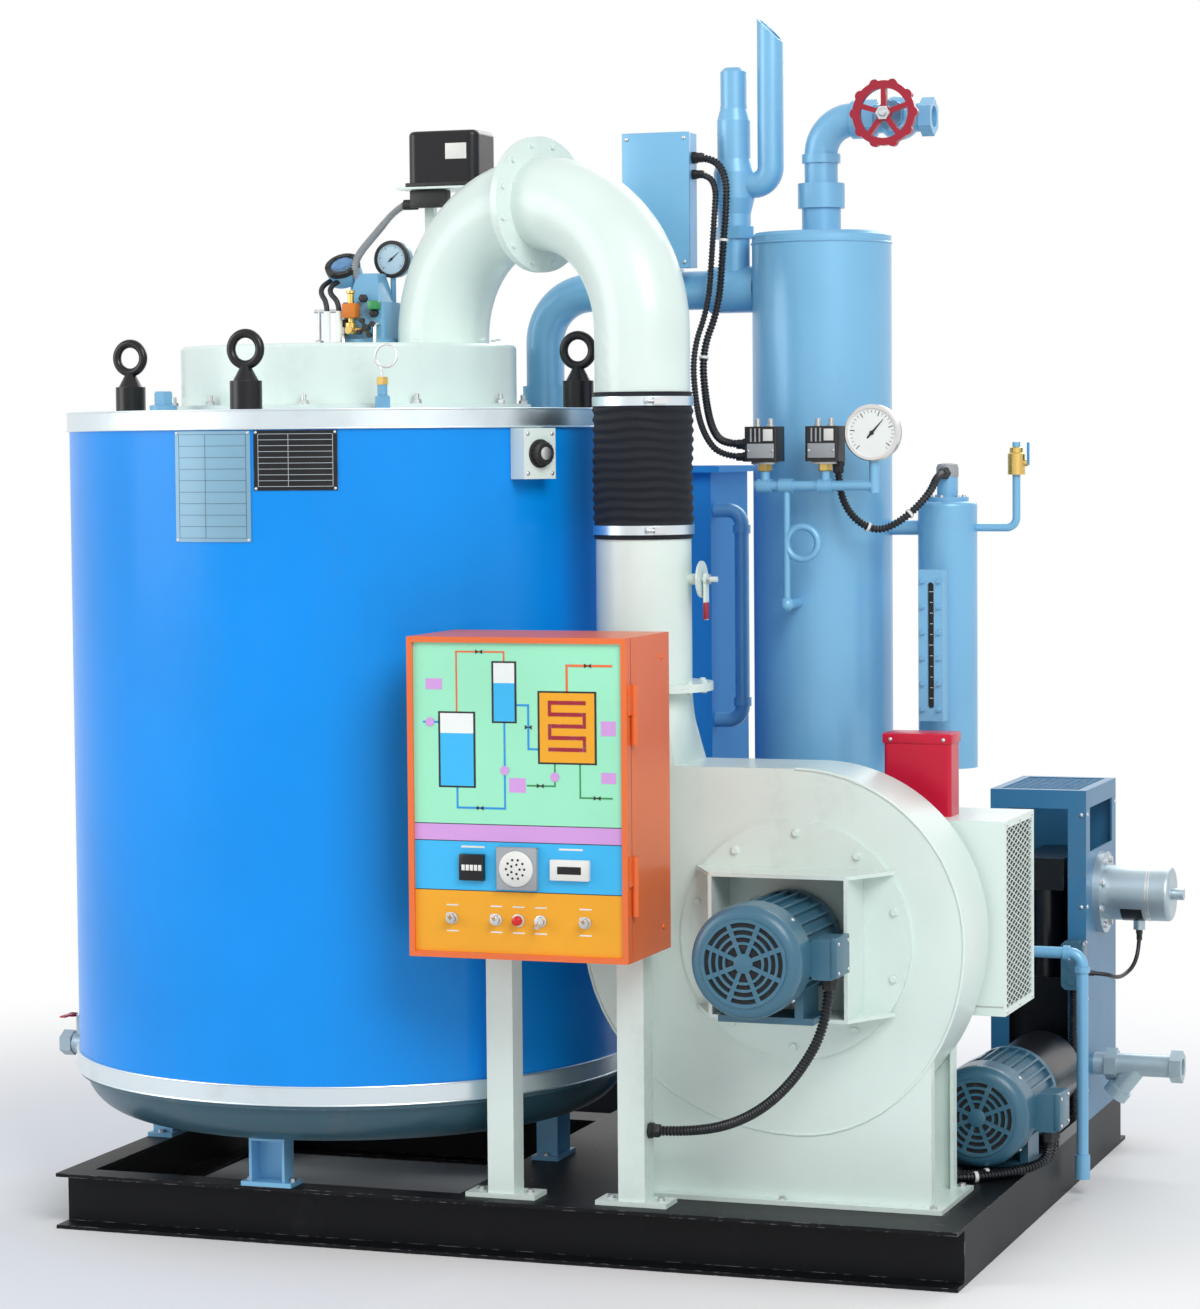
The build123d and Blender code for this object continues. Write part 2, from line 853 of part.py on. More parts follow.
# Burner: flange, valve block with a tapered cap, tilted sight head and pressure gauge
burner_base = windbox_top + burner_flange_height
burner_shoulder = burner_base + burner_body_height
sight_dir = Vector(0, -cos(radians(sight_tilt)), sin(radians(sight_tilt)))
sight_z = windbox_top + sight_head_rise
sight_x = burner_x - burner_body / 2 - burner_stem_inset
burner_gauge_x = burner_x + burner_body / 2 - burner_stem_inset
burner_gauge_y = boiler_y + burner_gauge_setback
burner_gauge_z = windbox_top + burner_gauge_rise
with BuildPart() as burner:
    rod((burner_x, boiler_y, windbox_top), (0, 0, 1), burner_flange_height, burner_flange_radius)
    with BuildSketch(Plane.XY.offset(burner_base)):
        with Locations((burner_x, boiler_y)):
            RectangleRounded(burner_body, burner_body, burner_round)
    extrude(amount=burner_body_height)
    with BuildSketch(Plane.XY.offset(burner_shoulder)):
        with Locations((burner_x, boiler_y)):
            RectangleRounded(burner_cap_size, burner_cap_size, burner_round)
    extrude(amount=burner_cap_height, taper=burner_cap_taper)
    rod(
        (sight_x + 2 * burner_stem_inset, boiler_y, burner_base),
        (0, 0, 1),
        sight_z - burner_base,
        burner_stem_radius,
    )
    rod(
        Vector(sight_x, boiler_y, sight_z) - sight_dir * (sight_head_depth / 2),
        sight_dir,
        sight_head_depth,
        sight_head_radius,
    )
    rod(
        Vector(sight_x, boiler_y, sight_z) + sight_dir * (sight_head_depth / 2),
        sight_dir,
        sight_glass_height,
        sight_glass_radius,
    )
    rod(
        (burner_gauge_x, boiler_y + burner_body / 2 - burner_stem_radius, burner_base),
        (0, 0, 1),
        burner_gauge_z - burner_base,
        burner_stem_radius / 2,
    )
    rod(
        (burner_gauge_x, burner_gauge_y, burner_gauge_z),
        (0, -1, 0),
        burner_gauge_depth,
        burner_gauge_radius,
    )
save(burner, "burner")

# Brackets: tray and post for the relay box, strap over the steam pipe for the junction box
relay_x = inlet_x - relay_offset
relay_y = inlet_y + duct_radius + relay_post
with BuildPart() as box_brackets:
    block(
        (relay_x - relay_length / 2 + relay_post, relay_y - relay_post / 2, windbox_top),
        (relay_x - relay_length / 2 + 2 * relay_post, relay_y + relay_post / 2, relay_low),
    )
    block(
        (
            relay_x - relay_length / 2 - relay_tray_lip,
            relay_y - relay_width / 2 - relay_tray_lip / 2,
            relay_low - relay_tray,
        ),
        (
            relay_x + relay_length / 2 + relay_tray,
            relay_y + relay_width / 2 + relay_tray,
            relay_low,
        ),
    )
    block(
        (box_x - box_bracket_width / 2, box_rear, steam_pipe_z + steam_pipe_radius),
        (box_x + box_bracket_width / 2, box_rear + box_bracket, box_low + box_bracket_height),
    )
    block(
        (
            box_x - box_bracket_width / 2,
            box_rear,
            steam_pipe_z + steam_pipe_radius,
        ),
        (
            box_x + box_bracket_width / 2,
            separator_y + steam_pipe_radius / 2,
            steam_pipe_z + steam_pipe_radius + box_bracket,
        ),
    )
save(box_brackets, "box_brackets")

with BuildPart() as relay_box:
    block(
        (relay_x - relay_length / 2, relay_y - relay_width / 2, relay_low),
        (relay_x + relay_length / 2, relay_y + relay_width / 2, relay_low + relay_height),
    )
    fillet(relay_box.edges().filter_by(Axis.Z), relay_round)
    fillet(relay_box.edges().group_by(Axis.Z)[-1], relay_crown)
save(relay_box, "relay_box")

# Air duct: two bends bolted together over the boiler
duct_bore = duct_radius - duct_wall
upper_low = sleeve_high - sleeve_lap
with BuildPart() as lower_duct_elbow:
    pipe(
        [(inlet_x, inlet_y, windbox_top), (inlet_x, inlet_y, duct_top), tuple(duct_mid)],
        duct_radius,
        duct_bend,
        duct_bore,
    )
    ring(
        duct_mid - duct_dir * duct_flange_height,
        duct_dir,
        duct_flange_height,
        duct_radius + duct_flange,
        duct_bore,
    )
save(lower_duct_elbow, "lower_duct_elbow")

with BuildPart() as upper_duct_elbow:
    pipe(
        [tuple(duct_mid), (riser_x, riser_y, duct_top), (riser_x, riser_y, upper_low)],
        duct_radius,
        duct_bend,
        duct_bore,
    )
    ring(duct_mid, duct_dir, duct_flange_height, duct_radius + duct_flange, duct_bore)
save(upper_duct_elbow, "upper_duct_elbow")

# Flexible sleeve held by two band clamps
sleeve_inner = duct_radius + skin_gap
sleeve_outer = sleeve_inner + sleeve_wall
with BuildPart() as duct_sleeve:
    ring(
        (riser_x, riser_y, sleeve_low),
        (0, 0, 1),
        sleeve_high - sleeve_low,
        sleeve_outer,
        sleeve_inner,
    )
save(duct_sleeve, "duct_sleeve")

clamp_inner = sleeve_outer + skin_gap
with BuildPart() as sleeve_clamps:
    for clamp_z in (sleeve_low + clamp_inset, sleeve_high - clamp_inset - clamp_width):
        ring(
            (riser_x, riser_y, clamp_z),
            (0, 0, 1),
            clamp_width,
            clamp_inner + clamp_wall,
            clamp_inner,
        )
save(sleeve_clamps, "sleeve_clamps")

# Riser with the damper boss, quadrant and pin
damper_face_x = riser_x + duct_radius + damper_stand_off
with BuildPart() as riser_duct:
    ring(
        (riser_x, riser_y, outlet_flange_z),
        (0, 0, 1),
        sleeve_low + sleeve_lap - outlet_flange_z,
        duct_radius,
        duct_bore,
    )
    ring(
        (riser_x, riser_y, outlet_flange_z),
        (0, 0, 1),
        duct_flange_height,
        duct_radius + duct_flange,
        duct_bore,
    )
    rod(
        (riser_x + duct_bore + duct_wall / 2, riser_y, damper_z),
        (1, 0, 0),
        damper_stand_off + duct_wall / 2,
        damper_boss_radius,
    )
    rod((damper_face_x, riser_y, damper_z), (1, 0, 0), damper_plate_thickness, damper_plate_radius)
    rod(
        (damper_face_x, riser_y, damper_z),
        (1, 0, 0),
        damper_plate_thickness + damper_pin_length,
        damper_pin_radius,
    )
save(riser_duct, "riser_duct")

lever_x = damper_face_x + damper_plate_thickness + moving_gap
with BuildPart() as damper_lever:
    with BuildSketch(Plane(origin=(lever_x, riser_y, damper_z), x_dir=(0, 1, 0), z_dir=(1, 0, 0))):
        Circle(damper_hub_radius)
        with Locations((0, -damper_lever_length / 2)):
            Rectangle(damper_lever_width, damper_lever_length)
        Circle(damper_pin_radius + hinge_pin_clearance, mode=Mode.SUBTRACT)
    extrude(amount=damper_lever_thickness)
    chamfer(damper_lever.edges().filter_by(Axis.X).group_by(Axis.Z)[0], damper_lever_chamfer)
save(damper_lever, "damper_lever")

# Fan scroll with its upward outlet and square-to-round transition
scroll_plane = Plane(origin=(fan_x, fan_rear, fan_z), x_dir=(1, 0, 0), z_dir=(0, -1, 0))
outlet_base_z = fan_z + scroll_top
outlet_width = 2 * (riser_x - (fan_x - scroll_left))
with BuildPart() as fan_scroll:
    with BuildSketch(scroll_plane):
        with BuildLine():
            scroll_outline(0)
        make_face()
    extrude(amount=fan_width)
    with BuildSketch(Plane.XY.offset(outlet_base_z)):
        with Locations((riser_x, fan_front + fan_width / 2)):
            Rectangle(outlet_width, fan_width)
    with BuildSketch(Plane.XY.offset(outlet_flange_z - duct_flange_height)):
        with Locations((riser_x, riser_y)):
            Circle(duct_radius)
    loft()
    rod(
        (riser_x, riser_y, outlet_flange_z - duct_flange_height),
        (0, 0, 1),
        duct_flange_height,
        duct_radius + duct_flange,
    )
save(fan_scroll, "fan_scroll")

# Fan stand: two plates with folded edges cradle the scroll on a foot plate
with BuildPart() as fan_stand:
    for plate_low, plate_high, lip_low, lip_high in (
        (fan_front, fan_front + stand_wall, fan_front, fan_front + stand_lip),
        (fan_rear - stand_wall, fan_rear, fan_rear - stand_lip, fan_rear),
    ):
        block(
            (fan_x - stand_left, plate_low, rail_height),
            (fan_x + stand_right, plate_high, fan_z),
        )
        for fold_x in (fan_x - stand_left, fan_x + stand_right - stand_wall):
            block((fold_x, lip_low, rail_height), (fold_x + stand_wall, lip_high, fan_z))
    with BuildSketch(scroll_plane):
        with BuildLine():
            scroll_outline(skin_gap)
        make_face()
    extrude(amount=fan_width, mode=Mode.SUBTRACT)
    block(
        (fan_x - stand_left - stand_foot, fan_front - stand_foot, rail_height),
        (fan_x + stand_right + stand_foot, fan_rear + stand_foot, rail_height + stand_foot_height),
    )
save(fan_stand, "fan_stand")

# Motor plate and bracket: a round plate, two chamfered shelves and two webs
plate_front = fan_front - motor_plate_thickness
bracket_front = plate_front - bracket_depth
with BuildPart() as fan_motor_bracket:
    rod((fan_x, fan_front, fan_z), (0, -1, 0), motor_plate_thickness, motor_plate_radius)
    for shelf_side in (-1, 1):
        shelf_z = fan_z + shelf_side * bracket_half_height - bracket_wall / 2
        with BuildSketch(Plane.XY.offset(shelf_z)):
            with BuildLine():
                Polyline(
                    (fan_x - bracket_width / 2, plate_front),
                    (fan_x + bracket_width / 2, plate_front),
                    (fan_x + bracket_width / 2 - bracket_chamfer, bracket_front),
                    (fan_x - bracket_width / 2 + bracket_chamfer, bracket_front),
                    close=True,
                )
            make_face()
        extrude(amount=bracket_wall)
        web_x = fan_x + shelf_side * bracket_web_x
        block(
            (web_x - bracket_wall / 2, bracket_front, fan_z - bracket_half_height),
            (web_x + bracket_wall / 2, plate_front, fan_z + bracket_half_height),
        )
save(fan_motor_bracket, "fan_motor_bracket")


def motor(x, front_y, z, radius, length, foot_z, back_y):
    """Ribbed motor with an end shield, feet, shaft and a domed cowl, axis along Y."""
    rib_start = front_y + cowl_length
    rib_length = length - cowl_length - motor_seat
    rod((x, rib_start - cowl_length / 2, z), (0, 1, 0), rib_length + cowl_length / 2, radius)
    with Locations(Plane(origin=(x, rib_start, z), x_dir=(1, 0, 0), z_dir=(0, 1, 0))):
        with PolarLocations(radius, motor_ribs):
            Box(
                2 * motor_rib_height,
                motor_rib_width,
                rib_length,
                align=(Align.CENTER, Align.CENTER, Align.MIN),
            )
    rod((x, front_y + length - motor_seat, z), (0, 1, 0), motor_seat, radius + motor_rib_height)
    rod((x, front_y + length, z), (0, 1, 0), back_y - front_y - length, motor_shaft_radius)
    foot_low = rib_start + rib_length / 4
    foot_high = foot_low + rib_length / 2
    block((x - radius, foot_low, foot_z), (x + radius, foot_high, foot_z + motor_foot_height))
    for side in (-1, 1):
        leg_x = x + side * motor_foot_spread
        block(
            (leg_x - motor_rib_height, foot_low, foot_z),
            (leg_x + motor_rib_height, foot_high, z - radius / 2),
        )
    outer = radius + motor_rib_height + cowl_clearance
    inner = outer - cowl_wall
    dome = outer - cowl_round
    shell_plane = Plane(origin=(x, front_y, z), x_dir=(1, 0, 0), z_dir=(0, 0, 1))
    with BuildSketch(shell_plane) as shell:
        with BuildLine():
            Polyline((dome, cowl_wall), (0, cowl_wall), (0, 0), (dome, 0))
            RadiusArc((dome, 0), (outer, cowl_round), -cowl_round)
            Polyline((outer, cowl_round), (outer, cowl_length), (inner, cowl_length), (inner, cowl_round))
            RadiusArc((inner, cowl_round), (dome, cowl_wall), cowl_round - cowl_wall)
        make_face()
    revolve(shell.sketch, axis=Axis((x, front_y, z), (0, 1, 0)))
    block(
        (x - outer + cowl_wall / 2, rib_start - cowl_spider, z - cowl_wall),
        (x + outer - cowl_wall / 2, rib_start, z + cowl_wall),
    )


fan_motor_front = plate_front - fan_motor_length - motor_seat
bracket_floor = fan_z - bracket_half_height + bracket_wall / 2
with BuildPart() as fan_motor:
    motor(
        fan_x,
        fan_motor_front,
        fan_z,
        fan_motor_radius,
        fan_motor_length,
        bracket_floor,
        plate_front,
    )
save(fan_motor, "fan_motor")

# Air inlet box: plenum on the fan's eye behind the scroll, screened mouth to the right
with BuildPart() as inlet_box:
    rod((fan_x, fan_rear, fan_z), (0, 1, 0), inlet_neck_length, inlet_neck_radius)
    block(
        (fan_x - inlet_neck_radius, inlet_box_front, inlet_box_low),
        (inlet_box_left, inlet_box_front + inlet_plenum_depth, inlet_box_high),
    )
    block(
        (inlet_box_left, inlet_box_front, inlet_box_low),
        (inlet_box_right, inlet_box_rear, inlet_box_high),
    )
    block(
        (
            inlet_box_right - inlet_screen_depth,
            inlet_box_front + inlet_screen_margin,
            inlet_box_low + inlet_screen_margin,
        ),
        (
            inlet_box_right,
            inlet_box_rear - inlet_screen_margin,
            inlet_box_high - inlet_screen_margin,
        ),
        mode=Mode.SUBTRACT,
    )
save(inlet_box, "inlet_box")

with BuildPart() as ignition_box:
    block(
        (ignition_x - ignition_width / 2, ignition_y - ignition_depth / 2, inlet_box_high),
        (
            ignition_x + ignition_width / 2,
            ignition_y + ignition_depth / 2,
            inlet_box_high + ignition_height,
        ),
    )
    fillet(ignition_box.edges().filter_by(Axis.Z), ignition_round)
save(ignition_box, "ignition_box")

# Control cabinet: folded box open to the front, with the fixed hinge halves
with BuildPart() as control_cabinet:
    block(
        (cabinet_left, cabinet_front, cabinet_low),
        (cabinet_right, cabinet_rear, cabinet_high),
    )
    block(
        (cabinet_left + cabinet_wall, cabinet_front + cabinet_wall, cabinet_low + cabinet_wall),
        (cabinet_right - cabinet_wall, cabinet_rear - cabinet_wall, cabinet_high - cabinet_wall),
        mode=Mode.SUBTRACT,
    )
    block(
        (cabinet_left + cabinet_lip, cabinet_front, cabinet_low + cabinet_lip),
        (cabinet_right - cabinet_lip, cabinet_front + cabinet_wall, cabinet_high - cabinet_lip),
        mode=Mode.SUBTRACT,
    )
    for base in hinge_bases:
        rod((hinge_x, hinge_y, base), (0, 0, 1), hinge_knuckle_length, hinge_knuckle_radius)
        pin_length = 2 * hinge_knuckle_length - hinge_pin_short
        rod((hinge_x, hinge_y, base), (0, 0, 1), pin_length, hinge_pin_radius)
        block(
            (cabinet_right, hinge_y, base),
            (cabinet_right + hinge_leaf, cabinet_front + cabinet_lip, base + hinge_knuckle_length),
        )
save(control_cabinet, "control_cabinet")

# Cabinet door: folded tray with a raised rim round the instrument panel and lift-off knuckles
panel_face = door_front + door_panel_recess
with BuildPart() as cabinet_door:
    block((cabinet_left, door_front, cabinet_low), (cabinet_right, door_rear, cabinet_high))
    block(
        (cabinet_left + door_rim, door_front, cabinet_low + door_rim),
        (cabinet_right - door_rim, panel_face, cabinet_high - door_rim),
        mode=Mode.SUBTRACT,
    )
    block(
        (cabinet_left + door_sheet, panel_face + door_sheet, cabinet_low + door_sheet),
        (cabinet_right - door_sheet, door_rear, cabinet_high - door_sheet),
        mode=Mode.SUBTRACT,
    )
    for base in hinge_bases:
        knuckle_low = base + hinge_knuckle_length + hinge_end_gap
        rod(
            (hinge_x, hinge_y, knuckle_low),
            (0, 0, 1),
            hinge_knuckle_length,
            hinge_knuckle_radius,
        )
        block(
            (cabinet_right, panel_face, knuckle_low),
            (cabinet_right + hinge_leaf, hinge_y, knuckle_low + hinge_knuckle_length),
        )
        rod(
            (hinge_x, hinge_y, knuckle_low),
            (0, 0, 1),
            hinge_knuckle_length,
            hinge_pin_radius + hinge_pin_clearance,
            mode=Mode.SUBTRACT,
        )
save(cabinet_door, "cabinet_door")

# Instruments on the door: counter, round buzzer, meter, switches and lamp
with BuildPart() as door_instruments:
    for centre_x, width, height in (
        (cabinet_x - counter_offset, counter_size, counter_size),
        (cabinet_x, buzzer_size, buzzer_size),
        (cabinet_x + meter_offset, meter_width, meter_height),
    ):
        block(
            (centre_x - width / 2, panel_face - instrument_depth, instrument_z - height / 2),
            (centre_x + width / 2, panel_face, instrument_z + height / 2),
        )
    rod(
        (cabinet_x, panel_face - instrument_depth, instrument_z),
        (0, -1, 0),
        buzzer_height,
        buzzer_radius,
    )
    for place in (-1.5, -0.5, 0, 0.5, 1.5):
        rod(
            (cabinet_x + place * switch_pitch, panel_face, switch_row_z),
            (0, -1, 0),
            knob_length,
            knob_radius,
        )
save(door_instruments, "door_instruments")

# Cabinet posts on foot plates
with BuildPart() as cabinet_posts:
    for post_x in (cabinet_x - post_spacing / 2, cabinet_x + post_spacing / 2):
        block(
            (post_x - post_size / 2, post_y - post_size / 2, rail_height),
            (post_x + post_size / 2, post_y + post_size / 2, post_high),
        )
        block(
            (post_x - foot_length / 2, post_y - foot_width / 2, rail_height),
            (post_x + foot_length / 2, post_y + foot_width / 2, rail_height + foot_thickness),
        )
save(cabinet_posts, "cabinet_posts")

# Steam separator: shell, flat heads, skirt
with BuildPart() as separator_shell:
    ring(
        (separator_x, separator_y, separator_low),
        (0, 0, 1),
        separator_high - separator_low,
        separator_radius,
        separator_radius - separator_wall,
    )
save(separator_shell, "separator_shell")

with BuildPart() as separator_heads:
    rod((separator_x, separator_y, separator_high), (0, 0, 1), separator_head, separator_radius)
    chamfer(separator_heads.edges().group_by(Axis.Z)[-1], separator_wall)
    rod(
        (separator_x, separator_y, separator_low - separator_head),
        (0, 0, 1),
        separator_head,
        separator_radius,
    )
    ring(
        (separator_x, separator_y, rail_height),
        (0, 0, 1),
        separator_low - separator_head - rail_height,
        skirt_radius,
        skirt_radius - skirt_wall,
    )
save(separator_heads, "separator_heads")

# Steam pipe from the boiler top to the separator, with the safety valve tee
with BuildPart() as steam_pipe:
    pipe(
        [
            (steam_pipe_start_x, separator_y, boiler_top_z),
            (steam_pipe_start_x, separator_y, steam_pipe_z),
            (separator_x, separator_y, steam_pipe_z),
        ],
        steam_pipe_radius,
        steam_pipe_bend,
    )
    rod(
        (steam_pipe_start_x, separator_y, boiler_top_z),
        (0, 0, 1),
        socket_length,
        steam_pipe_radius + socket_wall,
    )
    rod(
        (safety_x - socket_length, separator_y, steam_pipe_z),
        (1, 0, 0),
        2 * socket_length,
        steam_pipe_radius + socket_wall,
    )
    rod(
        (safety_x, separator_y, steam_pipe_z),
        (0, 0, 1),
        safety_body_low - socket_length - steam_pipe_z,
        safety_branch_radius,
    )
    rod(
        (separator_x, separator_y, rail_height),
        (0, 0, 1),
        safety_top,
        separator_radius + skin_gap,
        mode=Mode.SUBTRACT,
    )
save(steam_pipe, "steam_pipe")

# Safety valve: hexagon, body, bonnet, cap and side outlet
with BuildPart() as safety_valve:
    hexagon(
        (safety_x, separator_y, safety_body_low - socket_length),
        (0, 0, 1),
        socket_length / 2,
        safety_nut,
    )
    with BuildSketch(
        Plane(origin=(safety_x, separator_y, 0), x_dir=(1, 0, 0), z_dir=(0, -1, 0))
    ):
        with BuildLine():
            Polyline(
                (0, safety_body_low - socket_length / 2),
                (safety_body_radius, safety_body_low - socket_length / 2),
                (safety_body_radius, safety_body_low),
                (safety_body_radius + socket_wall, safety_outlet_z - vent_radius),
                (safety_body_radius + socket_wall, safety_outlet_z + vent_radius),
                (safety_body_radius, safety_outlet_z + safety_shoulder),
                (safety_body_radius, safety_top - safety_bonnet_height),
                (vent_radius, safety_top - safety_cap_height),
                (vent_radius, safety_top - safety_cap_chamfer),
                (vent_radius - safety_cap_chamfer, safety_top),
                (0, safety_top),
                close=True,
            )
        make_face()
    revolve(axis=Axis((safety_x, separator_y, 0), (0, 0, 1)))
    rod(
        (safety_x, separator_y, safety_outlet_z),
        (1, 0, 0),
        safety_body_radius + socket_wall + skin_gap,
        vent_radius,
    )
save(safety_valve, "safety_valve")

with BuildPart() as vent_pipe:
    pipe(
        [
            (vent_start, separator_y, safety_outlet_z),
            (vent_x, separator_y, safety_outlet_z),
            (vent_x, separator_y, vent_top),
        ],
        vent_radius,
        vent_bend,
        vent_radius - vent_wall,
    )
    with BuildSketch(
        Plane(origin=(vent_x, separator_y + 2 * vent_radius, 0), x_dir=(1, 0, 0), z_dir=(0, -1, 0))
    ):
        with BuildLine():
            Polyline(
                (-vent_radius, vent_top),
                (2 * vent_radius, vent_top),
                (2 * vent_radius, vent_top - vent_cut),
                close=True,
            )
        make_face()
    extrude(amount=4 * vent_radius, mode=Mode.SUBTRACT)
save(vent_pipe, "vent_pipe")

# Steam outlet: stub, socket and bend to the stop valve
valve_left = valve_x - valve_half_length
with BuildPart() as outlet_pipe:
    pipe(
        [
            (separator_x, separator_y, separator_top),
            (separator_x, separator_y, outlet_z),
            (valve_left, separator_y, outlet_z),
        ],
        outlet_pipe_radius,
        outlet_bend,
    )
    rod(
        (separator_x, separator_y, separator_top + socket_length),
        (0, 0, 1),
        socket_length,
        steam_pipe_radius + socket_wall,
    )
    rod((separator_x, separator_y, separator_top), (0, 0, 1), socket_length, steam_pipe_radius)
    rod(
        (separator_x, separator_y, outlet_z - outlet_bend),
        (0, 0, -1),
        collar_length,
        outlet_pipe_radius + collar_wall,
    )
    rod(
        (separator_x + outlet_bend, separator_y, outlet_z),
        (1, 0, 0),
        collar_length,
        outlet_pipe_radius + collar_wall,
    )
save(outlet_pipe, "outlet_pipe")

with BuildPart() as stop_valve:
    with Locations((valve_x, separator_y, outlet_z)):
        Sphere(valve_body_radius)
    hexagon((valve_left, separator_y, outlet_z), (1, 0, 0), valve_end_length, valve_end_flats)
    hexagon(
        (valve_x + valve_half_length, separator_y, outlet_z),
        (-1, 0, 0),
        valve_end_length,
        valve_end_flats,
    )
    rod((valve_left, separator_y, outlet_z), (1, 0, 0), 2 * valve_half_length, bonnet_radius)
    rod((valve_x, separator_y, outlet_z), (0, -1, 0), bonnet_length, bonnet_radius)
    hexagon(
        (valve_x, separator_y - bonnet_length, outlet_z),
        (0, -1, 0),
        bonnet_nut_length,
        bonnet_nut,
    )
    rod(
        (valve_x, separator_y - bonnet_length, outlet_z),
        (0, -1, 0),
        stem_length,
        stem_radius,
    )
    rod(
        (valve_x + valve_half_length, separator_y, outlet_z),
        (-1, 0, 0),
        valve_bore_depth,
        valve_bore_radius,
        mode=Mode.SUBTRACT,
    )
save(stop_valve, "stop_valve")

# Scalloped handwheel on the valve stem
wheel_rear = separator_y - bonnet_length - stem_length + wheel_thickness + stem_show
wheel_centre = wheel_radius - wheel_rim_width / 2
with BuildPart() as handwheel:
    with BuildSketch(
        Plane(origin=(valve_x, wheel_rear, outlet_z), x_dir=(1, 0, 0), z_dir=(0, -1, 0))
    ):
        Circle(wheel_radius - wheel_lobe_radius / 2)
        with PolarLocations(wheel_radius - wheel_lobe_radius, wheel_lobes):
            Circle(wheel_lobe_radius)
        Circle(wheel_radius - wheel_rim_width - wheel_lobe_radius / 4, mode=Mode.SUBTRACT)
        with PolarLocations(wheel_centre / 2, wheel_spokes, start_angle=90):
            Rectangle(wheel_centre, wheel_spoke_width)
        Circle(wheel_hub_radius)
        Circle(stem_radius + wheel_bore_clearance, mode=Mode.SUBTRACT)
    extrude(amount=wheel_thickness)
save(handwheel, "handwheel")

# Junction box on its strap
with BuildPart() as junction_box:
    block(
        (box_x - box_width / 2, box_y - box_depth / 2, box_low),
        (box_x + box_width / 2, box_rear, box_low + box_height),
    )
save(junction_box, "junction_box")

# Pressure manifold with siphon, two pressure switches and a gauge
separator_face = separator_y - sqrt(separator_radius**2 - (siphon_x - separator_x) ** 2)
with BuildPart() as pressure_manifold:
    rod(
        (manifold_left, manifold_y, manifold_z),
        (1, 0, 0),
        manifold_right - manifold_left,
        manifold_radius,
    )
    for tee_x in (switch_x, switch_x + switch_spacing, siphon_x):
        rod(
            (tee_x - manifold_fitting, manifold_y, manifold_z),
            (1, 0, 0),
            2 * manifold_fitting,
            manifold_fitting,
        )
    for stem_x in (switch_x, switch_x + switch_spacing):
        rod(
            (stem_x, manifold_y, manifold_z),
            (0, 0, 1),
            switch_low - manifold_z,
            manifold_radius,
        )
    rod(
        (manifold_right, manifold_y, manifold_z - manifold_fitting),
        (0, 0, 1),
        gauge_z - gauge_radius - manifold_z + manifold_fitting,
        manifold_radius,
    )
    rod((siphon_x, manifold_y, siphon_z), (0, 0, 1), manifold_z - siphon_z, siphon_radius)
    with Locations((siphon_x + siphon_loop_radius, manifold_y, siphon_loop_z)):
        Torus(siphon_loop_radius, siphon_radius, rotation=(90, 0, 0))
    with Locations((siphon_x, manifold_y, siphon_z)):
        Sphere(manifold_fitting)
    rod(
        (siphon_x, manifold_y, siphon_z),
        (0, 1, 0),
        separator_face - manifold_y + manifold_fitting,
        manifold_radius,
    )
    rod(
        (separator_x, separator_y, rail_height),
        (0, 0, 1),
        separator_high,
        separator_radius + skin_gap,
        mode=Mode.SUBTRACT,
    )
save(pressure_manifold, "pressure_manifold")

with BuildPart() as pressure_switches:
    for body_x in (switch_x, switch_x + switch_spacing):
        block(
            (body_x - switch_width / 2, manifold_y - switch_depth / 2, switch_low),
            (body_x + switch_width / 2, manifold_y + switch_depth / 2, switch_low + switch_height),
        )
    fillet(pressure_switches.edges().filter_by(Axis.Z), switch_round)
save(pressure_switches, "pressure_switches")

with BuildPart() as pressure_gauge:
    gauge_face = manifold_y - gauge_depth / 2
    rod((manifold_right, gauge_face, gauge_z), (0, 1, 0), gauge_depth, gauge_radius)
    fillet(pressure_gauge.edges().group_by(Axis.Y)[-1], gauge_round)
    rod(
        (manifold_right, gauge_face, gauge_z),
        (0, 1, 0),
        gauge_recess,
        gauge_radius - gauge_rim,
        mode=Mode.SUBTRACT,
    )
save(pressure_gauge, "pressure_gauge")

# Level column beside the separator, tied to it by two stubs
with BuildPart() as level_column:
    rod(
        (column_x, separator_y, column_low),
        (0, 0, 1),
        column_high - column_low,
        column_radius,
    )
    fillet(level_column.edges().group_by(Axis.Z)[-1], column_cap)
    for stub_z in (column_lower_stub_z, column_upper_stub_z):
        rod(
            (separator_x, separator_y, stub_z),
            (1, 0, 0),
            column_x - separator_x,
            column_stub_radius,
        )
    rod(
        (separator_x, separator_y, rail_height),
        (0, 0, 1),
        separator_high,
        separator_radius + skin_gap,
        mode=Mode.SUBTRACT,
    )
save(level_column, "level_column")

# Reflex level gauge in front of the column
gauge_rear = separator_y - column_radius - level_gauge_gap
with BuildPart() as level_gauge:
    block(
        (column_x - level_gauge_width / 2, gauge_rear - level_gauge_depth, level_gauge_low),
        (column_x + level_gauge_width / 2, gauge_rear, level_gauge_high),
    )
    with BuildSketch(
        Plane(
            origin=(column_x, gauge_rear - level_gauge_depth, (level_gauge_low + level_gauge_high) / 2),
            x_dir=(1, 0, 0),
            z_dir=(0, -1, 0),
        )
    ):
        SlotOverall(
            level_gauge_height - 2 * level_gauge_slot_margin,
            level_gauge_slot,
            rotation=90,
        )
    extrude(amount=-level_gauge_slot_depth, mode=Mode.SUBTRACT)
    for arm_z in (level_gauge_low + level_gauge_width, level_gauge_high - level_gauge_width):
        rod(
            (column_x, gauge_rear, arm_z),
            (0, 1, 0),
            level_gauge_gap + column_radius / 2,
            level_arm_radius,
        )
    rod(
        (column_x, separator_y, rail_height),
        (0, 0, 1),
        separator_high,
        column_radius + skin_gap,
        mode=Mode.SUBTRACT,
    )
save(level_gauge, "level_gauge")

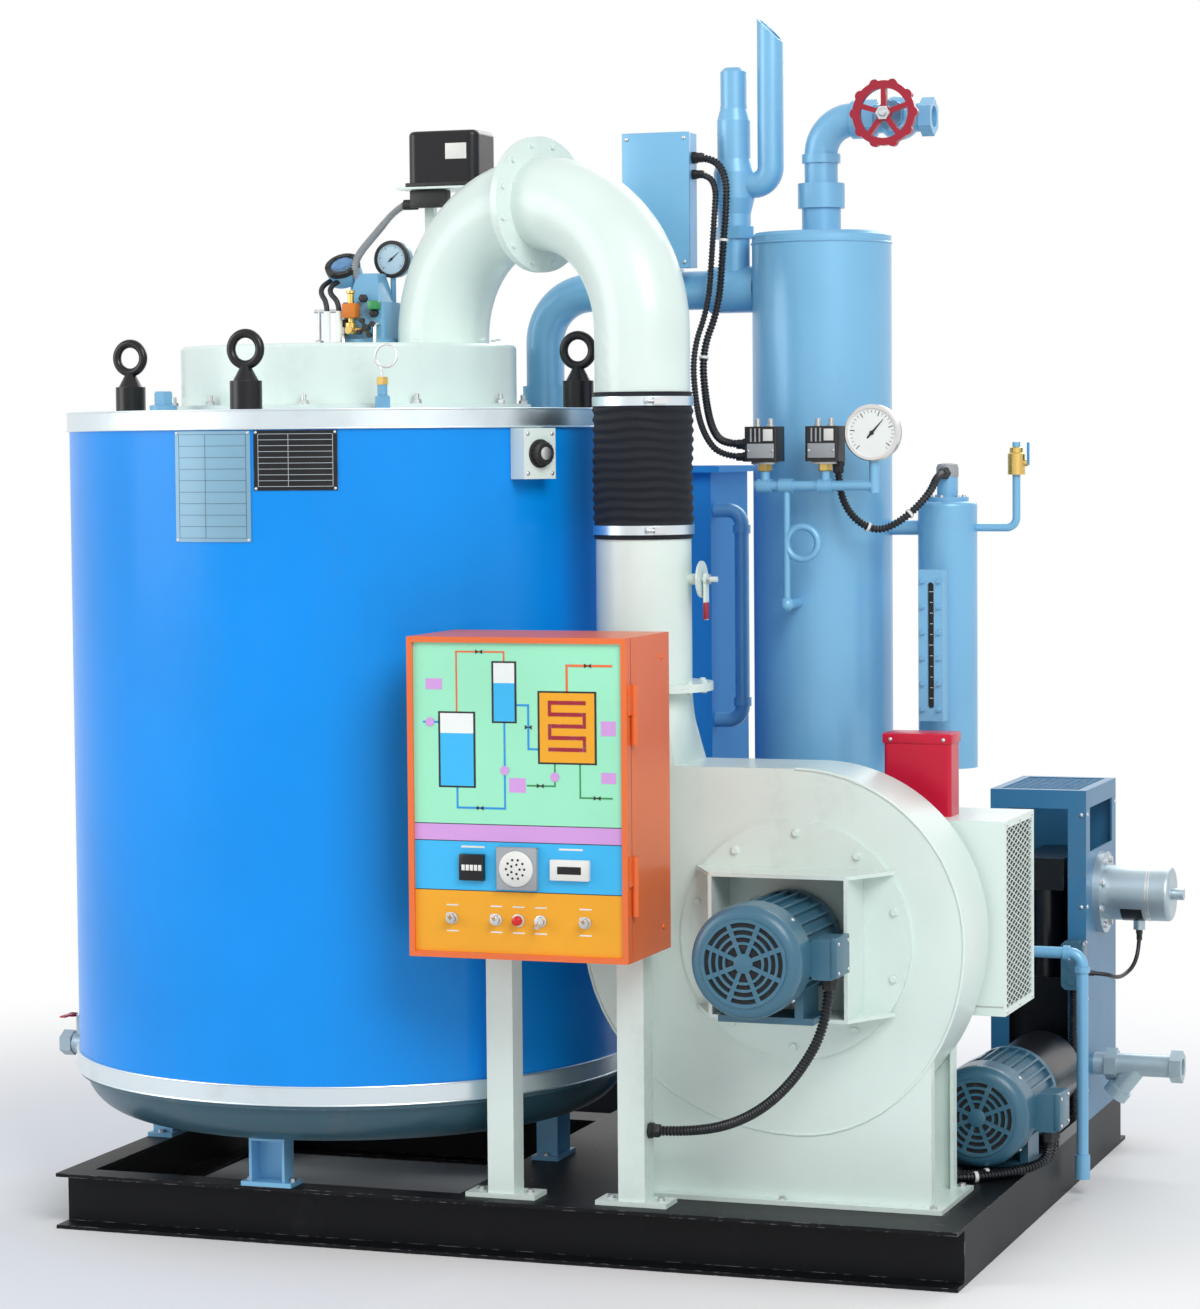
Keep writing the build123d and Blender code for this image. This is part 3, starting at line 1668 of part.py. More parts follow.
# Electrode holder on the column and the vent cock beside it
cock_x = column_x + column_radius + cock_reach
with BuildPart() as column_fittings:
    pipe(
        [
            (column_x, separator_y, column_upper_stub_z),
            (cock_x, separator_y, column_upper_stub_z),
            (cock_x, separator_y, cock_top),
        ],
        cock_pipe_radius,
        cock_bend,
    )
    rod(
        (column_x, separator_y, rail_height),
        (0, 0, 1),
        separator_high,
        column_radius + skin_gap,
        mode=Mode.SUBTRACT,
    )
    hexagon(
        (cock_x, separator_y, cock_top - cock_nut_drop),
        (0, 0, 1),
        cock_nut,
        cock_nut,
    )
    rod(
        (column_x, separator_y, column_high),
        (0, 0, 1),
        column_cap,
        electrode_plate_radius,
    )
    rod(
        (column_x, separator_y, column_high + column_cap),
        (0, 0, 1),
        electrode_cover_height,
        electrode_cover_radius,
    )
    fillet(column_fittings.edges(Select.LAST).group_by(Axis.Z)[-1], column_cap)
save(column_fittings, "column_fittings")

# Economizer casing: open flue with a bolting flange on top and a neck to the boiler
economizer_mid_x = (economizer_left + economizer_right) / 2
economizer_mid_y = (economizer_front + economizer_rear) / 2
flue_top = economizer_high + economizer_flange_height
bolt_x = (economizer_right - economizer_left + economizer_flange) / 2
bolt_y = (economizer_rear - economizer_front + economizer_flange) / 2
with BuildPart() as economizer:
    block(
        (economizer_left, economizer_front, rail_height),
        (economizer_right, economizer_rear, flue_top),
    )
    block(
        (
            economizer_left - economizer_flange,
            economizer_front - economizer_flange,
            economizer_high,
        ),
        (
            economizer_right + economizer_flange,
            economizer_rear + economizer_flange,
            flue_top,
        ),
    )
    block(
        (boiler_x, economizer_front, flue_neck_low),
        (economizer_left, economizer_front + flue_neck_width, flue_neck_high),
    )
    block(
        (
            economizer_left + economizer_wall,
            economizer_front + economizer_wall,
            rail_height + economizer_wall,
        ),
        (economizer_right - economizer_wall, economizer_rear - economizer_wall, flue_top),
        mode=Mode.SUBTRACT,
    )
    with Locations((economizer_mid_x, economizer_mid_y, flue_top)):
        with GridLocations(2 * bolt_x, 2 * bolt_y, 2, 2):
            Hole(economizer_hole_radius, depth=economizer_flange_height)
    rod(
        (boiler_x, boiler_y, rail_height),
        (0, 0, 1),
        economizer_high,
        jacket_radius + skin_gap,
        mode=Mode.SUBTRACT,
    )
save(economizer, "economizer")

# Water pipes: economizer loop, and column drain over the side of the skid
with BuildPart() as water_pipes:
    pipe(
        [
            (economizer_right, feed_pipe_y, feed_pipe_high),
            (feed_pipe_x, feed_pipe_y, feed_pipe_high),
            (feed_pipe_x, feed_pipe_y, feed_pipe_low),
            (economizer_right, feed_pipe_y, feed_pipe_low),
        ],
        feed_pipe_radius,
        feed_pipe_bend,
    )
    pipe(
        [
            (column_x, separator_y, column_low),
            (column_x, separator_y, drain_z),
            (column_x, drain_y, drain_z),
            (drain_x, drain_y, drain_z),
            (drain_x, drain_y, drain_low),
        ],
        drain_radius,
        drain_bend,
    )
    collar_radius = drain_radius + drain_collar_wall
    rod((drain_x, drain_y, drain_low), (0, 0, 1), socket_length, collar_radius)
    rod((drain_x, drain_y, drain_z - drain_bend), (0, 0, -1), drain_collar_length, collar_radius)
    rod((drain_x - drain_bend, drain_y, drain_z), (-1, 0, 0), drain_collar_length, collar_radius)
    for collar_z, collar_way in ((feed_pipe_high - feed_pipe_bend, -1), (feed_pipe_low + feed_pipe_bend, 1)):
        rod(
            (feed_pipe_x, feed_pipe_y, collar_z),
            (0, 0, collar_way),
            collar_length,
            feed_pipe_radius + drain_collar_wall,
        )
save(water_pipes, "water_pipes")

# Feed pump: motor, casting and guard housing at the back right
pump_back = pump_motor_front + pump_motor_length + motor_seat
with BuildPart() as pump_motor:
    motor(
        pump_motor_x,
        pump_motor_front,
        pump_motor_z,
        pump_motor_radius,
        pump_motor_length,
        rail_height,
        pump_back,
    )
save(pump_motor, "pump_motor")

# Plunger pump: coupling housing, neck into the guard, crankcase and upright plungers
crankcase_front = guard_front + crankcase_clearance
crankcase_rear = guard_rear - crankcase_clearance
crankcase_left = guard_left + crankcase_clearance
crankcase_right = skid_side - crankcase_clearance
crankcase_top = rail_height + crankcase_height
plunger_pitch = (crankcase_rear - crankcase_front) / plunger_count
with BuildPart() as feed_pump:
    rod(
        (pump_motor_x, pump_back, pump_motor_z),
        (0, 1, 0),
        guard_front - pump_casing_gap - pump_back,
        pump_casing_radius,
    )
    fillet(feed_pump.edges().filter_by(GeomType.CIRCLE), motor_seat)
    rod(
        (pump_motor_x, pump_back, pump_motor_z),
        (0, 1, 0),
        crankcase_front - pump_back,
        pump_neck_radius,
    )
    block(
        (pump_motor_x - pump_casing_radius, pump_back + pump_casing_gap, rail_height),
        (
            pump_motor_x + pump_casing_radius,
            guard_front - 2 * pump_casing_gap,
            rail_height + pump_foot_height,
        ),
    )
    block(
        (pump_motor_x - pump_casing_radius / 2, pump_back + pump_casing_gap, rail_height),
        (pump_motor_x + pump_casing_radius / 2, guard_front - 2 * pump_casing_gap, pump_motor_z),
    )
    block(
        (crankcase_left, crankcase_front, rail_height),
        (crankcase_right, crankcase_rear, crankcase_top),
    )
    for plunger in range(plunger_count):
        plunger_y = crankcase_front + (plunger + 1 / 2) * plunger_pitch
        rod(
            ((crankcase_left + crankcase_right) / 2, plunger_y, crankcase_top),
            (0, 0, 1),
            plunger_height,
            plunger_radius,
        )
    block(
        (crankcase_left + crankcase_clearance, crankcase_front, crankcase_top + plunger_height),
        (
            crankcase_right - crankcase_clearance,
            crankcase_rear,
            crankcase_top + plunger_height + 2 * plunger_radius,
        ),
    )
save(feed_pump, "feed_pump")

# Guard: sheet housing with open front, top and upper right windows round the pump
window_low = sensor_z + sensor_flange_radius + guard_rim / 2
with BuildPart() as pump_guard:
    block((guard_left, guard_front, rail_height), (skid_side, guard_rear, guard_high))
    block(
        (guard_left + guard_wall, guard_front + guard_wall, rail_height),
        (skid_side - guard_wall, guard_rear - guard_wall, guard_high - guard_wall),
        mode=Mode.SUBTRACT,
    )
    block(
        (guard_left + guard_bar, guard_front, rail_height + guard_bar),
        (skid_side - guard_bar, guard_front + guard_wall, guard_high - guard_bar),
        mode=Mode.SUBTRACT,
    )
    block(
        (guard_left + guard_rim, guard_front + guard_rim, guard_high - guard_wall),
        (skid_side - guard_rim, guard_rear - guard_rim, guard_high),
        mode=Mode.SUBTRACT,
    )
    block(
        (skid_side - guard_wall, guard_front + guard_bar, window_low),
        (skid_side, guard_rear - guard_bar, guard_high - guard_bar),
        mode=Mode.SUBTRACT,
    )
save(pump_guard, "pump_guard")

sensor_end_x = skid_side + sensor_flange + sensor_length
sensor_gland_x = skid_side + sensor_flange + sensor_gland_reach
sensor_gland_z = sensor_z - sensor_radius - sensor_gland_length
with BuildPart() as flow_sensor:
    rod((skid_side, sensor_y, sensor_z), (1, 0, 0), sensor_flange, sensor_flange_radius)
    rod(
        (skid_side + sensor_flange, sensor_y, sensor_z),
        (1, 0, 0),
        sensor_length,
        sensor_radius,
    )
    fillet(flow_sensor.edges().group_by(Axis.X)[-1], sensor_round)
    rod((sensor_end_x, sensor_y, sensor_z), (1, 0, 0), sensor_plug_length, sensor_plug_radius)
    rod((sensor_gland_x, sensor_y, sensor_gland_z), (0, 0, 1), sensor_radius, sensor_gland_radius)
save(flow_sensor, "flow_sensor")

# Terminal boxes: one on each motor and one on the guard
with BuildPart() as terminal_boxes:
    for motor_x, motor_front, motor_z, motor_radius in (
        (fan_x, fan_motor_front, fan_z, fan_motor_radius),
        (pump_motor_x, pump_motor_front, pump_motor_z, pump_motor_radius),
    ):
        terminal_x = motor_x + motor_radius + motor_rib_height + skin_gap
        terminal_y = motor_front + cowl_length
        block(
            (terminal_x, terminal_y, motor_z - terminal_height / 2),
            (terminal_x + terminal_width, terminal_y + terminal_length, motor_z + terminal_height / 2),
        )
    block(
        (skid_side - sensor_box, guard_front - sensor_box, sensor_box_low),
        (skid_side, guard_front, sensor_box_low + sensor_box_height),
    )
    chamfer(terminal_boxes.edges().filter_by(Axis.Y), terminal_chamfer)
save(terminal_boxes, "terminal_boxes")

# Feed water strainer on the guard's right side, its basket leaning down
strainer_centre = Vector(skid_side + strainer_length / 2, strainer_y, strainer_z)
basket_dir = Vector(-cos(radians(strainer_lean)), 0, -sin(radians(strainer_lean)))
strainer_end_x = skid_side + strainer_length
with BuildPart() as strainer:
    rod((skid_side, strainer_y, strainer_z), (1, 0, 0), strainer_length, strainer_radius)
    hexagon(
        (skid_side + strainer_end_length, strainer_y, strainer_z),
        (1, 0, 0),
        strainer_end_length,
        strainer_flats,
    )
    hexagon(
        (strainer_end_x, strainer_y, strainer_z),
        (-1, 0, 0),
        strainer_end_length,
        strainer_flats,
    )
    rod(strainer_centre, basket_dir, strainer_basket_length, strainer_basket_radius)
    rod(
        strainer_centre + basket_dir * (strainer_basket_length - strainer_cap_length),
        basket_dir,
        strainer_cap_length,
        strainer_cap_radius,
    )
    rod(
        (strainer_end_x, strainer_y, strainer_z),
        (-1, 0, 0),
        strainer_bore_depth,
        strainer_bore_radius,
        mode=Mode.SUBTRACT,
    )
save(strainer, "strainer")

# Blowdown valve low on the left and thermostat high on the right of the jacket
blowdown_y = boiler_y - blowdown_offset
blowdown_x = boiler_x - sqrt(band_outer**2 - blowdown_offset**2)
with BuildPart() as blowdown_valve:
    rod(
        (blowdown_x + blowdown_radius, blowdown_y, blowdown_z),
        (-1, 0, 0),
        blowdown_length + blowdown_radius,
        blowdown_radius,
    )
    hexagon(
        (blowdown_x - blowdown_length, blowdown_y, blowdown_z),
        (1, 0, 0),
        blowdown_nut_length,
        blowdown_flats,
    )
    rod(
        (blowdown_x - blowdown_spindle_inset, blowdown_y, blowdown_z),
        (0, 0, 1),
        blowdown_length,
        blowdown_spindle_radius,
    )
    rod(
        (boiler_x, boiler_y, rail_height),
        (0, 0, 1),
        jacket_high,
        band_outer + skin_gap,
        mode=Mode.SUBTRACT,
    )
save(blowdown_valve, "blowdown_valve")

thermostat_dir = (cos(radians(thermostat_angle)), sin(radians(thermostat_angle)), 0)
thermostat_plane = Plane(
    origin=(
        boiler_x + thermostat_dir[0] * (jacket_radius + skin_gap),
        boiler_y + thermostat_dir[1] * (jacket_radius + skin_gap),
        thermostat_low + thermostat_height / 2,
    ),
    x_dir=(-thermostat_dir[1], thermostat_dir[0], 0),
    z_dir=thermostat_dir,
)
with BuildPart(thermostat_plane) as thermostat:
    Box(
        thermostat_width,
        thermostat_height,
        thermostat_depth,
        align=(Align.CENTER, Align.CENTER, Align.MIN),
    )
    with Locations((0, 0, thermostat_depth)):
        Cylinder(
            thermostat_knob_radius,
            thermostat_knob_height,
            align=(Align.CENTER, Align.CENTER, Align.MIN),
        )
save(thermostat, "thermostat")

# Conduits: fan motor to the right post, junction box to the left pressure switch, right pressure
# switch to the electrode cover, and the cable from the sensor to its terminal box
motor_gland = Vector(
    fan_x + fan_motor_radius + motor_rib_height + skin_gap + terminal_width / 2,
    fan_motor_front + cowl_length + terminal_length / 2,
    fan_z - terminal_height / 2,
)
post_gland = Vector(cabinet_x + (post_spacing + post_size) / 2, post_y, rail_height + foot_length)
with BuildPart() as motor_conduit:
    conduit(
        [
            motor_gland,
            motor_gland + Vector(0, 0, -90),
            motor_gland + Vector(-78, 20, -220),
            post_gland + Vector(250, -62, 52),
            post_gland + Vector(110, 0, 0),
            post_gland,
        ],
        conduit_radius,
    )
save(motor_conduit, "motor_conduit")

box_gland = Vector(box_x + box_width / 2, box_y, box_low + box_bracket_height)
switch_gland = Vector(switch_x - switch_width / 2, manifold_y, switch_low + switch_height / 2)
with BuildPart() as box_conduit:
    conduit(
        [
            box_gland,
            box_gland + Vector(50, 0, 0),
            box_gland + Vector(84, -14, -44),
            box_gland + Vector(88, -24, -110),
            box_gland + Vector(80, -30, -220),
            box_gland + Vector(70, -30, -345),
            switch_gland + Vector(-150, 130, 210),
            switch_gland + Vector(-128, 92, 90),
            switch_gland + Vector(-92, 34, 24),
            switch_gland + Vector(-50, 0, 0),
            switch_gland,
        ],
        thin_conduit_radius,
    )
save(box_conduit, "box_conduit")

probe_gland = Vector(
    column_x,
    separator_y - electrode_cover_radius,
    column_high + electrode_cover_height - column_cap,
)
probe_start = Vector(
    switch_x + switch_spacing + probe_offset,
    manifold_y + switch_depth / 2 - thin_conduit_radius - probe_edge,
    switch_low,
)
with BuildPart() as electrode_conduit:
    conduit(
        [
            probe_start,
            probe_start + Vector(0, 0, -62),
            probe_start + Vector(24, 16, -124),
            probe_start + Vector(74, 50, -160),
            probe_gland + Vector(-60, -136, -102),
            probe_gland + Vector(-10, -100, -46),
            probe_gland + Vector(0, -60, 0),
            probe_gland,
        ],
        thin_conduit_radius,
    )
save(electrode_conduit, "electrode_conduit")

cable_start = Vector(sensor_gland_x, sensor_y, sensor_gland_z)
cable_end = Vector(skid_side, guard_front - sensor_box / 2, sensor_box_low + sensor_box_height / 3)
with BuildPart() as sensor_conduit:
    conduit(
        [
            cable_start,
            cable_start + Vector(0, 0, -40),
            cable_start + Vector(-6, -30, -84),
            cable_end + Vector(72, 112, -20),
            cable_end + Vector(66, 52, -16),
            cable_end + Vector(52, 0, 0),
            cable_end,
        ],
        cable_radius,
    )
save(sensor_conduit, "sensor_conduit")
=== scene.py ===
"""Looks of the skid-mounted steam boiler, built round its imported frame."""

from __future__ import annotations

import logging
import math
from dataclasses import dataclass, field
from enum import Enum
from typing import Any, Sequence, Union

import bmesh
import bpy
from mathutils import Matrix, Vector

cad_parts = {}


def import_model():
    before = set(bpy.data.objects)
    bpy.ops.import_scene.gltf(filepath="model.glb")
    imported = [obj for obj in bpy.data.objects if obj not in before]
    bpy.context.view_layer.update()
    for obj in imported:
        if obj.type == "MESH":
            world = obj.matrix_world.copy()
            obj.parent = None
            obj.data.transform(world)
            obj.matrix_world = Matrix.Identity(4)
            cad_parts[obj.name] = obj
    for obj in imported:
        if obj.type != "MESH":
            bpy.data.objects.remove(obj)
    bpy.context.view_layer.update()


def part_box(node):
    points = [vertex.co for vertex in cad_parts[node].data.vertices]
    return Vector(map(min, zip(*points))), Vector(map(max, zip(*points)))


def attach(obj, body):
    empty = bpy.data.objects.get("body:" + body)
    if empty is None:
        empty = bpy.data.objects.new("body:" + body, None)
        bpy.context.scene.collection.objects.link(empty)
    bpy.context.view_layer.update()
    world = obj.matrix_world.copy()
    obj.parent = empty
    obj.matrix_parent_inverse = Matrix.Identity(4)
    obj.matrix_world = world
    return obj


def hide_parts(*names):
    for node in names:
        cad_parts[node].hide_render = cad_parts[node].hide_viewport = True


log = logging.getLogger("boiler")

Triple = tuple[float, float, float]
Colour = Triple
Point = Union[Vector, Sequence[float]]
Number = Union[float, "Value"]
Floats = Sequence[float]
Route = Sequence[Point]
Pair = tuple[float, float]
Pairs = Sequence[Pair]
Profile = Pairs
Area = tuple[float, float, float, float]

X = Vector((1.0, 0.0, 0.0))
Y = Vector((0.0, 1.0, 0.0))
Z = Vector((0.0, 0.0, 1.0))
FRONT = Vector((0.0, -1.0, 0.0))


class Value:
    """A shader socket that takes part in Python arithmetic."""

    def __init__(self, shader: Shader, socket: bpy.types.NodeSocket) -> None:
        """Keep the shader that owns the socket."""
        self.shader = shader
        self.socket = socket

    def _math(self, operation: str, first: Number, second: Number) -> Value:
        """Add one Math node by Blender's name of its operation."""
        settings = {"operation": operation}
        return self.shader.value("ShaderNodeMath", 0, settings, {0: first, 1: second})

    def __add__(self, other: Number) -> Value:
        """Sum."""
        return self._math("ADD", self, other)

    __radd__ = __add__

    def __sub__(self, other: Number) -> Value:
        """Difference."""
        return self._math("SUBTRACT", self, other)

    def __rsub__(self, other: Number) -> Value:
        """Difference with a number on the left."""
        return self._math("SUBTRACT", other, self)

    def __mul__(self, other: Number) -> Value:
        """Product."""
        return self._math("MULTIPLY", self, other)

    __rmul__ = __mul__

    def sine(self) -> Value:
        """Sine of an angle in radians."""
        return self._math("SINE", self, 0.0)

    def largest(self, other: Number) -> Value:
        """Larger of two values."""
        return self._math("MAXIMUM", self, other)

    def above(self, low: float, high: float) -> Value:
        """Rise smoothly.

        Args:
            low: Value that gives 0.
            high: Value that gives 1.

        Returns:
            The mask.
        """
        smooth = {"interpolation_type": "SMOOTHSTEP"}
        limits = {"Value": self, "From Min": low, "From Max": high}
        return self.shader.value("ShaderNodeMapRange", "Result", smooth, limits)


class Shader:
    """Node tree of one material, or of the world."""

    def __init__(self, owner: Union[bpy.types.Material, bpy.types.World]) -> None:
        """Empty the owner's tree and give it an output.

        Args:
            owner: Material or world that has the tree.
        """
        self.owner = owner
        owner.use_nodes = True
        self.tree = owner.node_tree
        self.tree.nodes.clear()
        kind = "World" if isinstance(owner, bpy.types.World) else "Material"
        self.output = self.node("ShaderNodeOutput" + kind, {}, {})

    @classmethod
    def named(cls, name: str) -> Shader:
        """Start a new material of a name."""
        return cls(bpy.data.materials.new(name))

    def node(self, kind: str, settings: dict[str, Any], inputs: dict[Any, Any]) -> bpy.types.Node:
        """Add one node.

        Args:
            kind: Blender's node type.
            settings: Properties set first.
            inputs: Constants or values for its sockets, by name or index.

        Returns:
            The new node.
        """
        node = self.tree.nodes.new(kind)
        for name, setting in settings.items():
            setattr(node, name, setting)
        for key, given in inputs.items():
            self.feed(node.inputs[key], given)
        return node

    def value(
        self, kind: str, output: Any, settings: dict[str, Any], inputs: dict[Any, Any]
    ) -> Value:
        """Add one node and wrap one of its outputs."""
        return Value(self, self.node(kind, settings, inputs).outputs[output])

    def feed(self, socket: bpy.types.NodeSocket, given: Any) -> None:
        """Link a value to a socket, or set a constant on it.

        Args:
            socket: Input of a node.
            given: Value, output socket, colour or number.
        """
        if isinstance(given, Value):
            self.tree.links.new(given.socket, socket)
        elif isinstance(given, bpy.types.NodeSocket):
            self.tree.links.new(given, socket)
        elif isinstance(given, tuple) and len(given) == 3 and socket.type == "RGBA":
            socket.default_value = (*given, 1.0)
        else:
            socket.default_value = given

    def place(self) -> Value:
        """Position on the piece, in metres."""
        return self.value("ShaderNodeTexCoord", "Object", {}, {})

    def stretched(self, scale: Triple) -> Value:
        """Position multiplied along each axis."""
        settings = {"operation": "MULTIPLY"}
        return self.value("ShaderNodeVectorMath", 0, settings, {0: self.place(), 1: scale})

    def noise(self, scale: float, detail: float = 3.0, at: Value | None = None) -> Value:
        """Cloudy noise from 0 to 1."""
        inputs = {"Vector": at or self.place(), "Scale": scale, "Detail": detail}
        return self.value("ShaderNodeTexNoise", 0, {}, inputs)

    def mix(self, mask: Number, first: Any, second: Any) -> Value:
        """Blend two colours by a mask."""
        inputs = {0: mask, 6: first, 7: second}
        return self.value("ShaderNodeMix", 2, {"data_type": "RGBA"}, inputs)

    def axis(self, name: str) -> Value:
        """One coordinate of the position on the piece."""
        return self.value("ShaderNodeSeparateXYZ", name, {}, {0: self.place()})

    def edges(self, reach: float) -> Value:
        """Find convex and concave edges.

        Args:
            reach: Distance from an edge.

        Returns:
            Mask that is 1 along them.
        """
        rounded = self.node("ShaderNodeBevel", {"samples": 4}, {"Radius": reach})
        flat = self.node("ShaderNodeNewGeometry", {}, {})
        inputs = {0: rounded.outputs[0], 1: flat.outputs["Normal"]}
        along = self.value("ShaderNodeVectorMath", "Value", {"operation": "DOT_PRODUCT"}, inputs)
        return (1.0 - along).above(0.02, 0.2)

    def bump(self, height: Value, strength: float, distance: float) -> Value:
        """Surface normal tilted by a height."""
        inputs = {"Strength": strength, "Distance": distance, "Height": height}
        return self.value("ShaderNodeBump", "Normal", {}, inputs)

    def principled(self, inputs: dict[str, Any]) -> bpy.types.Material:
        """Close the tree with a Principled shader and return the material."""
        self.close(self.node("ShaderNodeBsdfPrincipled", {}, inputs))
        return self.owner

    def close(self, shader: bpy.types.Node) -> None:
        """Lead a shader node to the output."""
        self.feed(self.output.inputs["Surface"], shader.outputs[0])


@dataclass(frozen=True)
class Paint:
    """Sprayed paint with orange peel, soft dirt and chipped edges."""

    name: str
    colour: Colour
    roughness: float = 0.34
    chip: Colour = (0.30, 0.31, 0.33)
    chips: float = 0.5
    dirt: Colour = (0.16, 0.15, 0.13)
    dirtiness: float = 0.25
    coat: float = 0.25
    peel: float = 0.12
    metallic: float = 0.0
    specular: float = 0.5

    def material(self) -> bpy.types.Material:
        """Build the paint's material.

        Returns:
            The new material.
        """
        shader = Shader.named(self.name)
        cloud = shader.noise(2.3, 4.0)
        speckle = shader.noise(46.0, 5.0)
        streak = shader.noise(7.0, 5.0, shader.stretched((1.0, 1.0, 0.16)))
        shade = tuple(0.86 * part for part in self.colour)
        base = shader.mix(cloud.above(0.35, 0.75) * 0.7, self.colour, shade)
        grime = streak.above(0.52, 0.78) * speckle.above(0.3, 0.7) * self.dirtiness
        base = shader.mix(grime, base, self.dirt)
        worn = shader.edges(0.003) * speckle.above(0.5, 0.62) * self.chips
        base = shader.mix(worn, base, self.chip)
        fine = shader.noise(420.0, 2.0)
        return shader.principled(
            {
                "Base Color": base,
                "Roughness": self.roughness + 0.12 * cloud + 0.3 * grime + 0.15 * worn,
                "Metallic": self.metallic,
                "Specular IOR Level": self.specular,
                "Coat Weight": self.coat,
                "Coat Roughness": 0.12,
                "Normal": shader.bump(fine, self.peel, 0.0006),
            }
        )


@dataclass(frozen=True)
class Steel:
    """Bare metal with fine rolling marks and stains."""

    name: str
    colour: Colour
    roughness: float = 0.3
    stretch: Triple = (1.0, 1.0, 40.0)
    stain: Colour = (0.25, 0.24, 0.22)
    stained: float = 0.3

    def material(self) -> bpy.types.Material:
        """Build the metal's material.

        Returns:
            The new material.
        """
        shader = Shader.named(self.name)
        marks = shader.noise(30.0, 4.0, shader.stretched(self.stretch))
        cloud = shader.noise(6.0, 5.0)
        base = shader.mix(cloud.above(0.5, 0.8) * self.stained, self.colour, self.stain)
        return shader.principled(
            {
                "Base Color": base,
                "Metallic": 1.0,
                "Roughness": self.roughness + 0.25 * marks * cloud,
                "Normal": shader.bump(marks, 0.06, 0.0006),
            }
        )


@dataclass(frozen=True)
class Moulding:
    """Moulded plastic or rubber with a fine grain."""

    name: str
    colour: Colour
    roughness: float = 0.45
    grain: float = 0.2

    def material(self) -> bpy.types.Material:
        """Build the moulding's material.

        Returns:
            The new material.
        """
        shader = Shader.named(self.name)
        cloud = shader.noise(9.0, 3.0)
        grain = shader.noise(900.0, 2.0)
        shade = tuple(0.72 * part for part in self.colour)
        dust = shader.noise(60.0, 6.0).above(0.55, 0.85) * 0.12
        base = shader.mix(cloud.above(0.35, 0.7) * 0.6, self.colour, shade)
        base = shader.mix(dust, base, (0.34, 0.33, 0.31))
        return shader.principled(
            {
                "Base Color": base,
                "Roughness": self.roughness + 0.2 * cloud,
                "Normal": shader.bump(grain, self.grain, 0.0004),
            }
        )


@dataclass(frozen=True)
class CoatedCloth:
    """Black coated cloth with a plain weave."""

    name: str
    colour: Colour
    pitch: float = 0.0045

    def material(self) -> bpy.types.Material:
        """Build the cloth's material.

        Returns:
            The new material.
        """
        shader = Shader.named(self.name)
        turn = shader.axis("Z") * (math.tau / self.pitch)
        warp = (shader.axis("X") - shader.axis("Y")) * (math.tau / self.pitch)
        weave = (turn.sine() * warp.sine()) * 0.5 + 0.5
        cloud = shader.noise(12.0, 4.0)
        pale = tuple(2.2 * part + 0.006 for part in self.colour)
        base = shader.mix(weave * 0.35 + cloud.above(0.5, 0.8) * 0.4, self.colour, pale)
        return shader.principled(
            {
                "Base Color": base,
                "Roughness": 0.62 + 0.2 * cloud,
                "Sheen Weight": 0.05,
                "Specular IOR Level": 0.3,
                "Normal": shader.bump(weave + cloud * 0.6, 0.35, 0.001),
            }
        )


@dataclass(frozen=True)
class Lens:
    """Clear or tinted glass."""

    name: str
    colour: Colour

    def material(self) -> bpy.types.Material:
        """Build the glass.

        Returns:
            The new material.
        """
        shader = Shader.named(self.name)
        smear = shader.noise(25.0, 4.0)
        return shader.principled(
            {
                "Base Color": self.colour,
                "Roughness": 0.03 + 0.08 * smear,
                "Transmission Weight": 0.9,
                "IOR": 1.45,
            }
        )


def panel(name: str, colour: Colour, roughness: float = 0.3, coat: float = 0.0) -> Paint:
    """Smooth printed field without chips."""
    return Paint(name, colour, roughness, chips=0.0, dirtiness=0.04, coat=coat, peel=0.02)


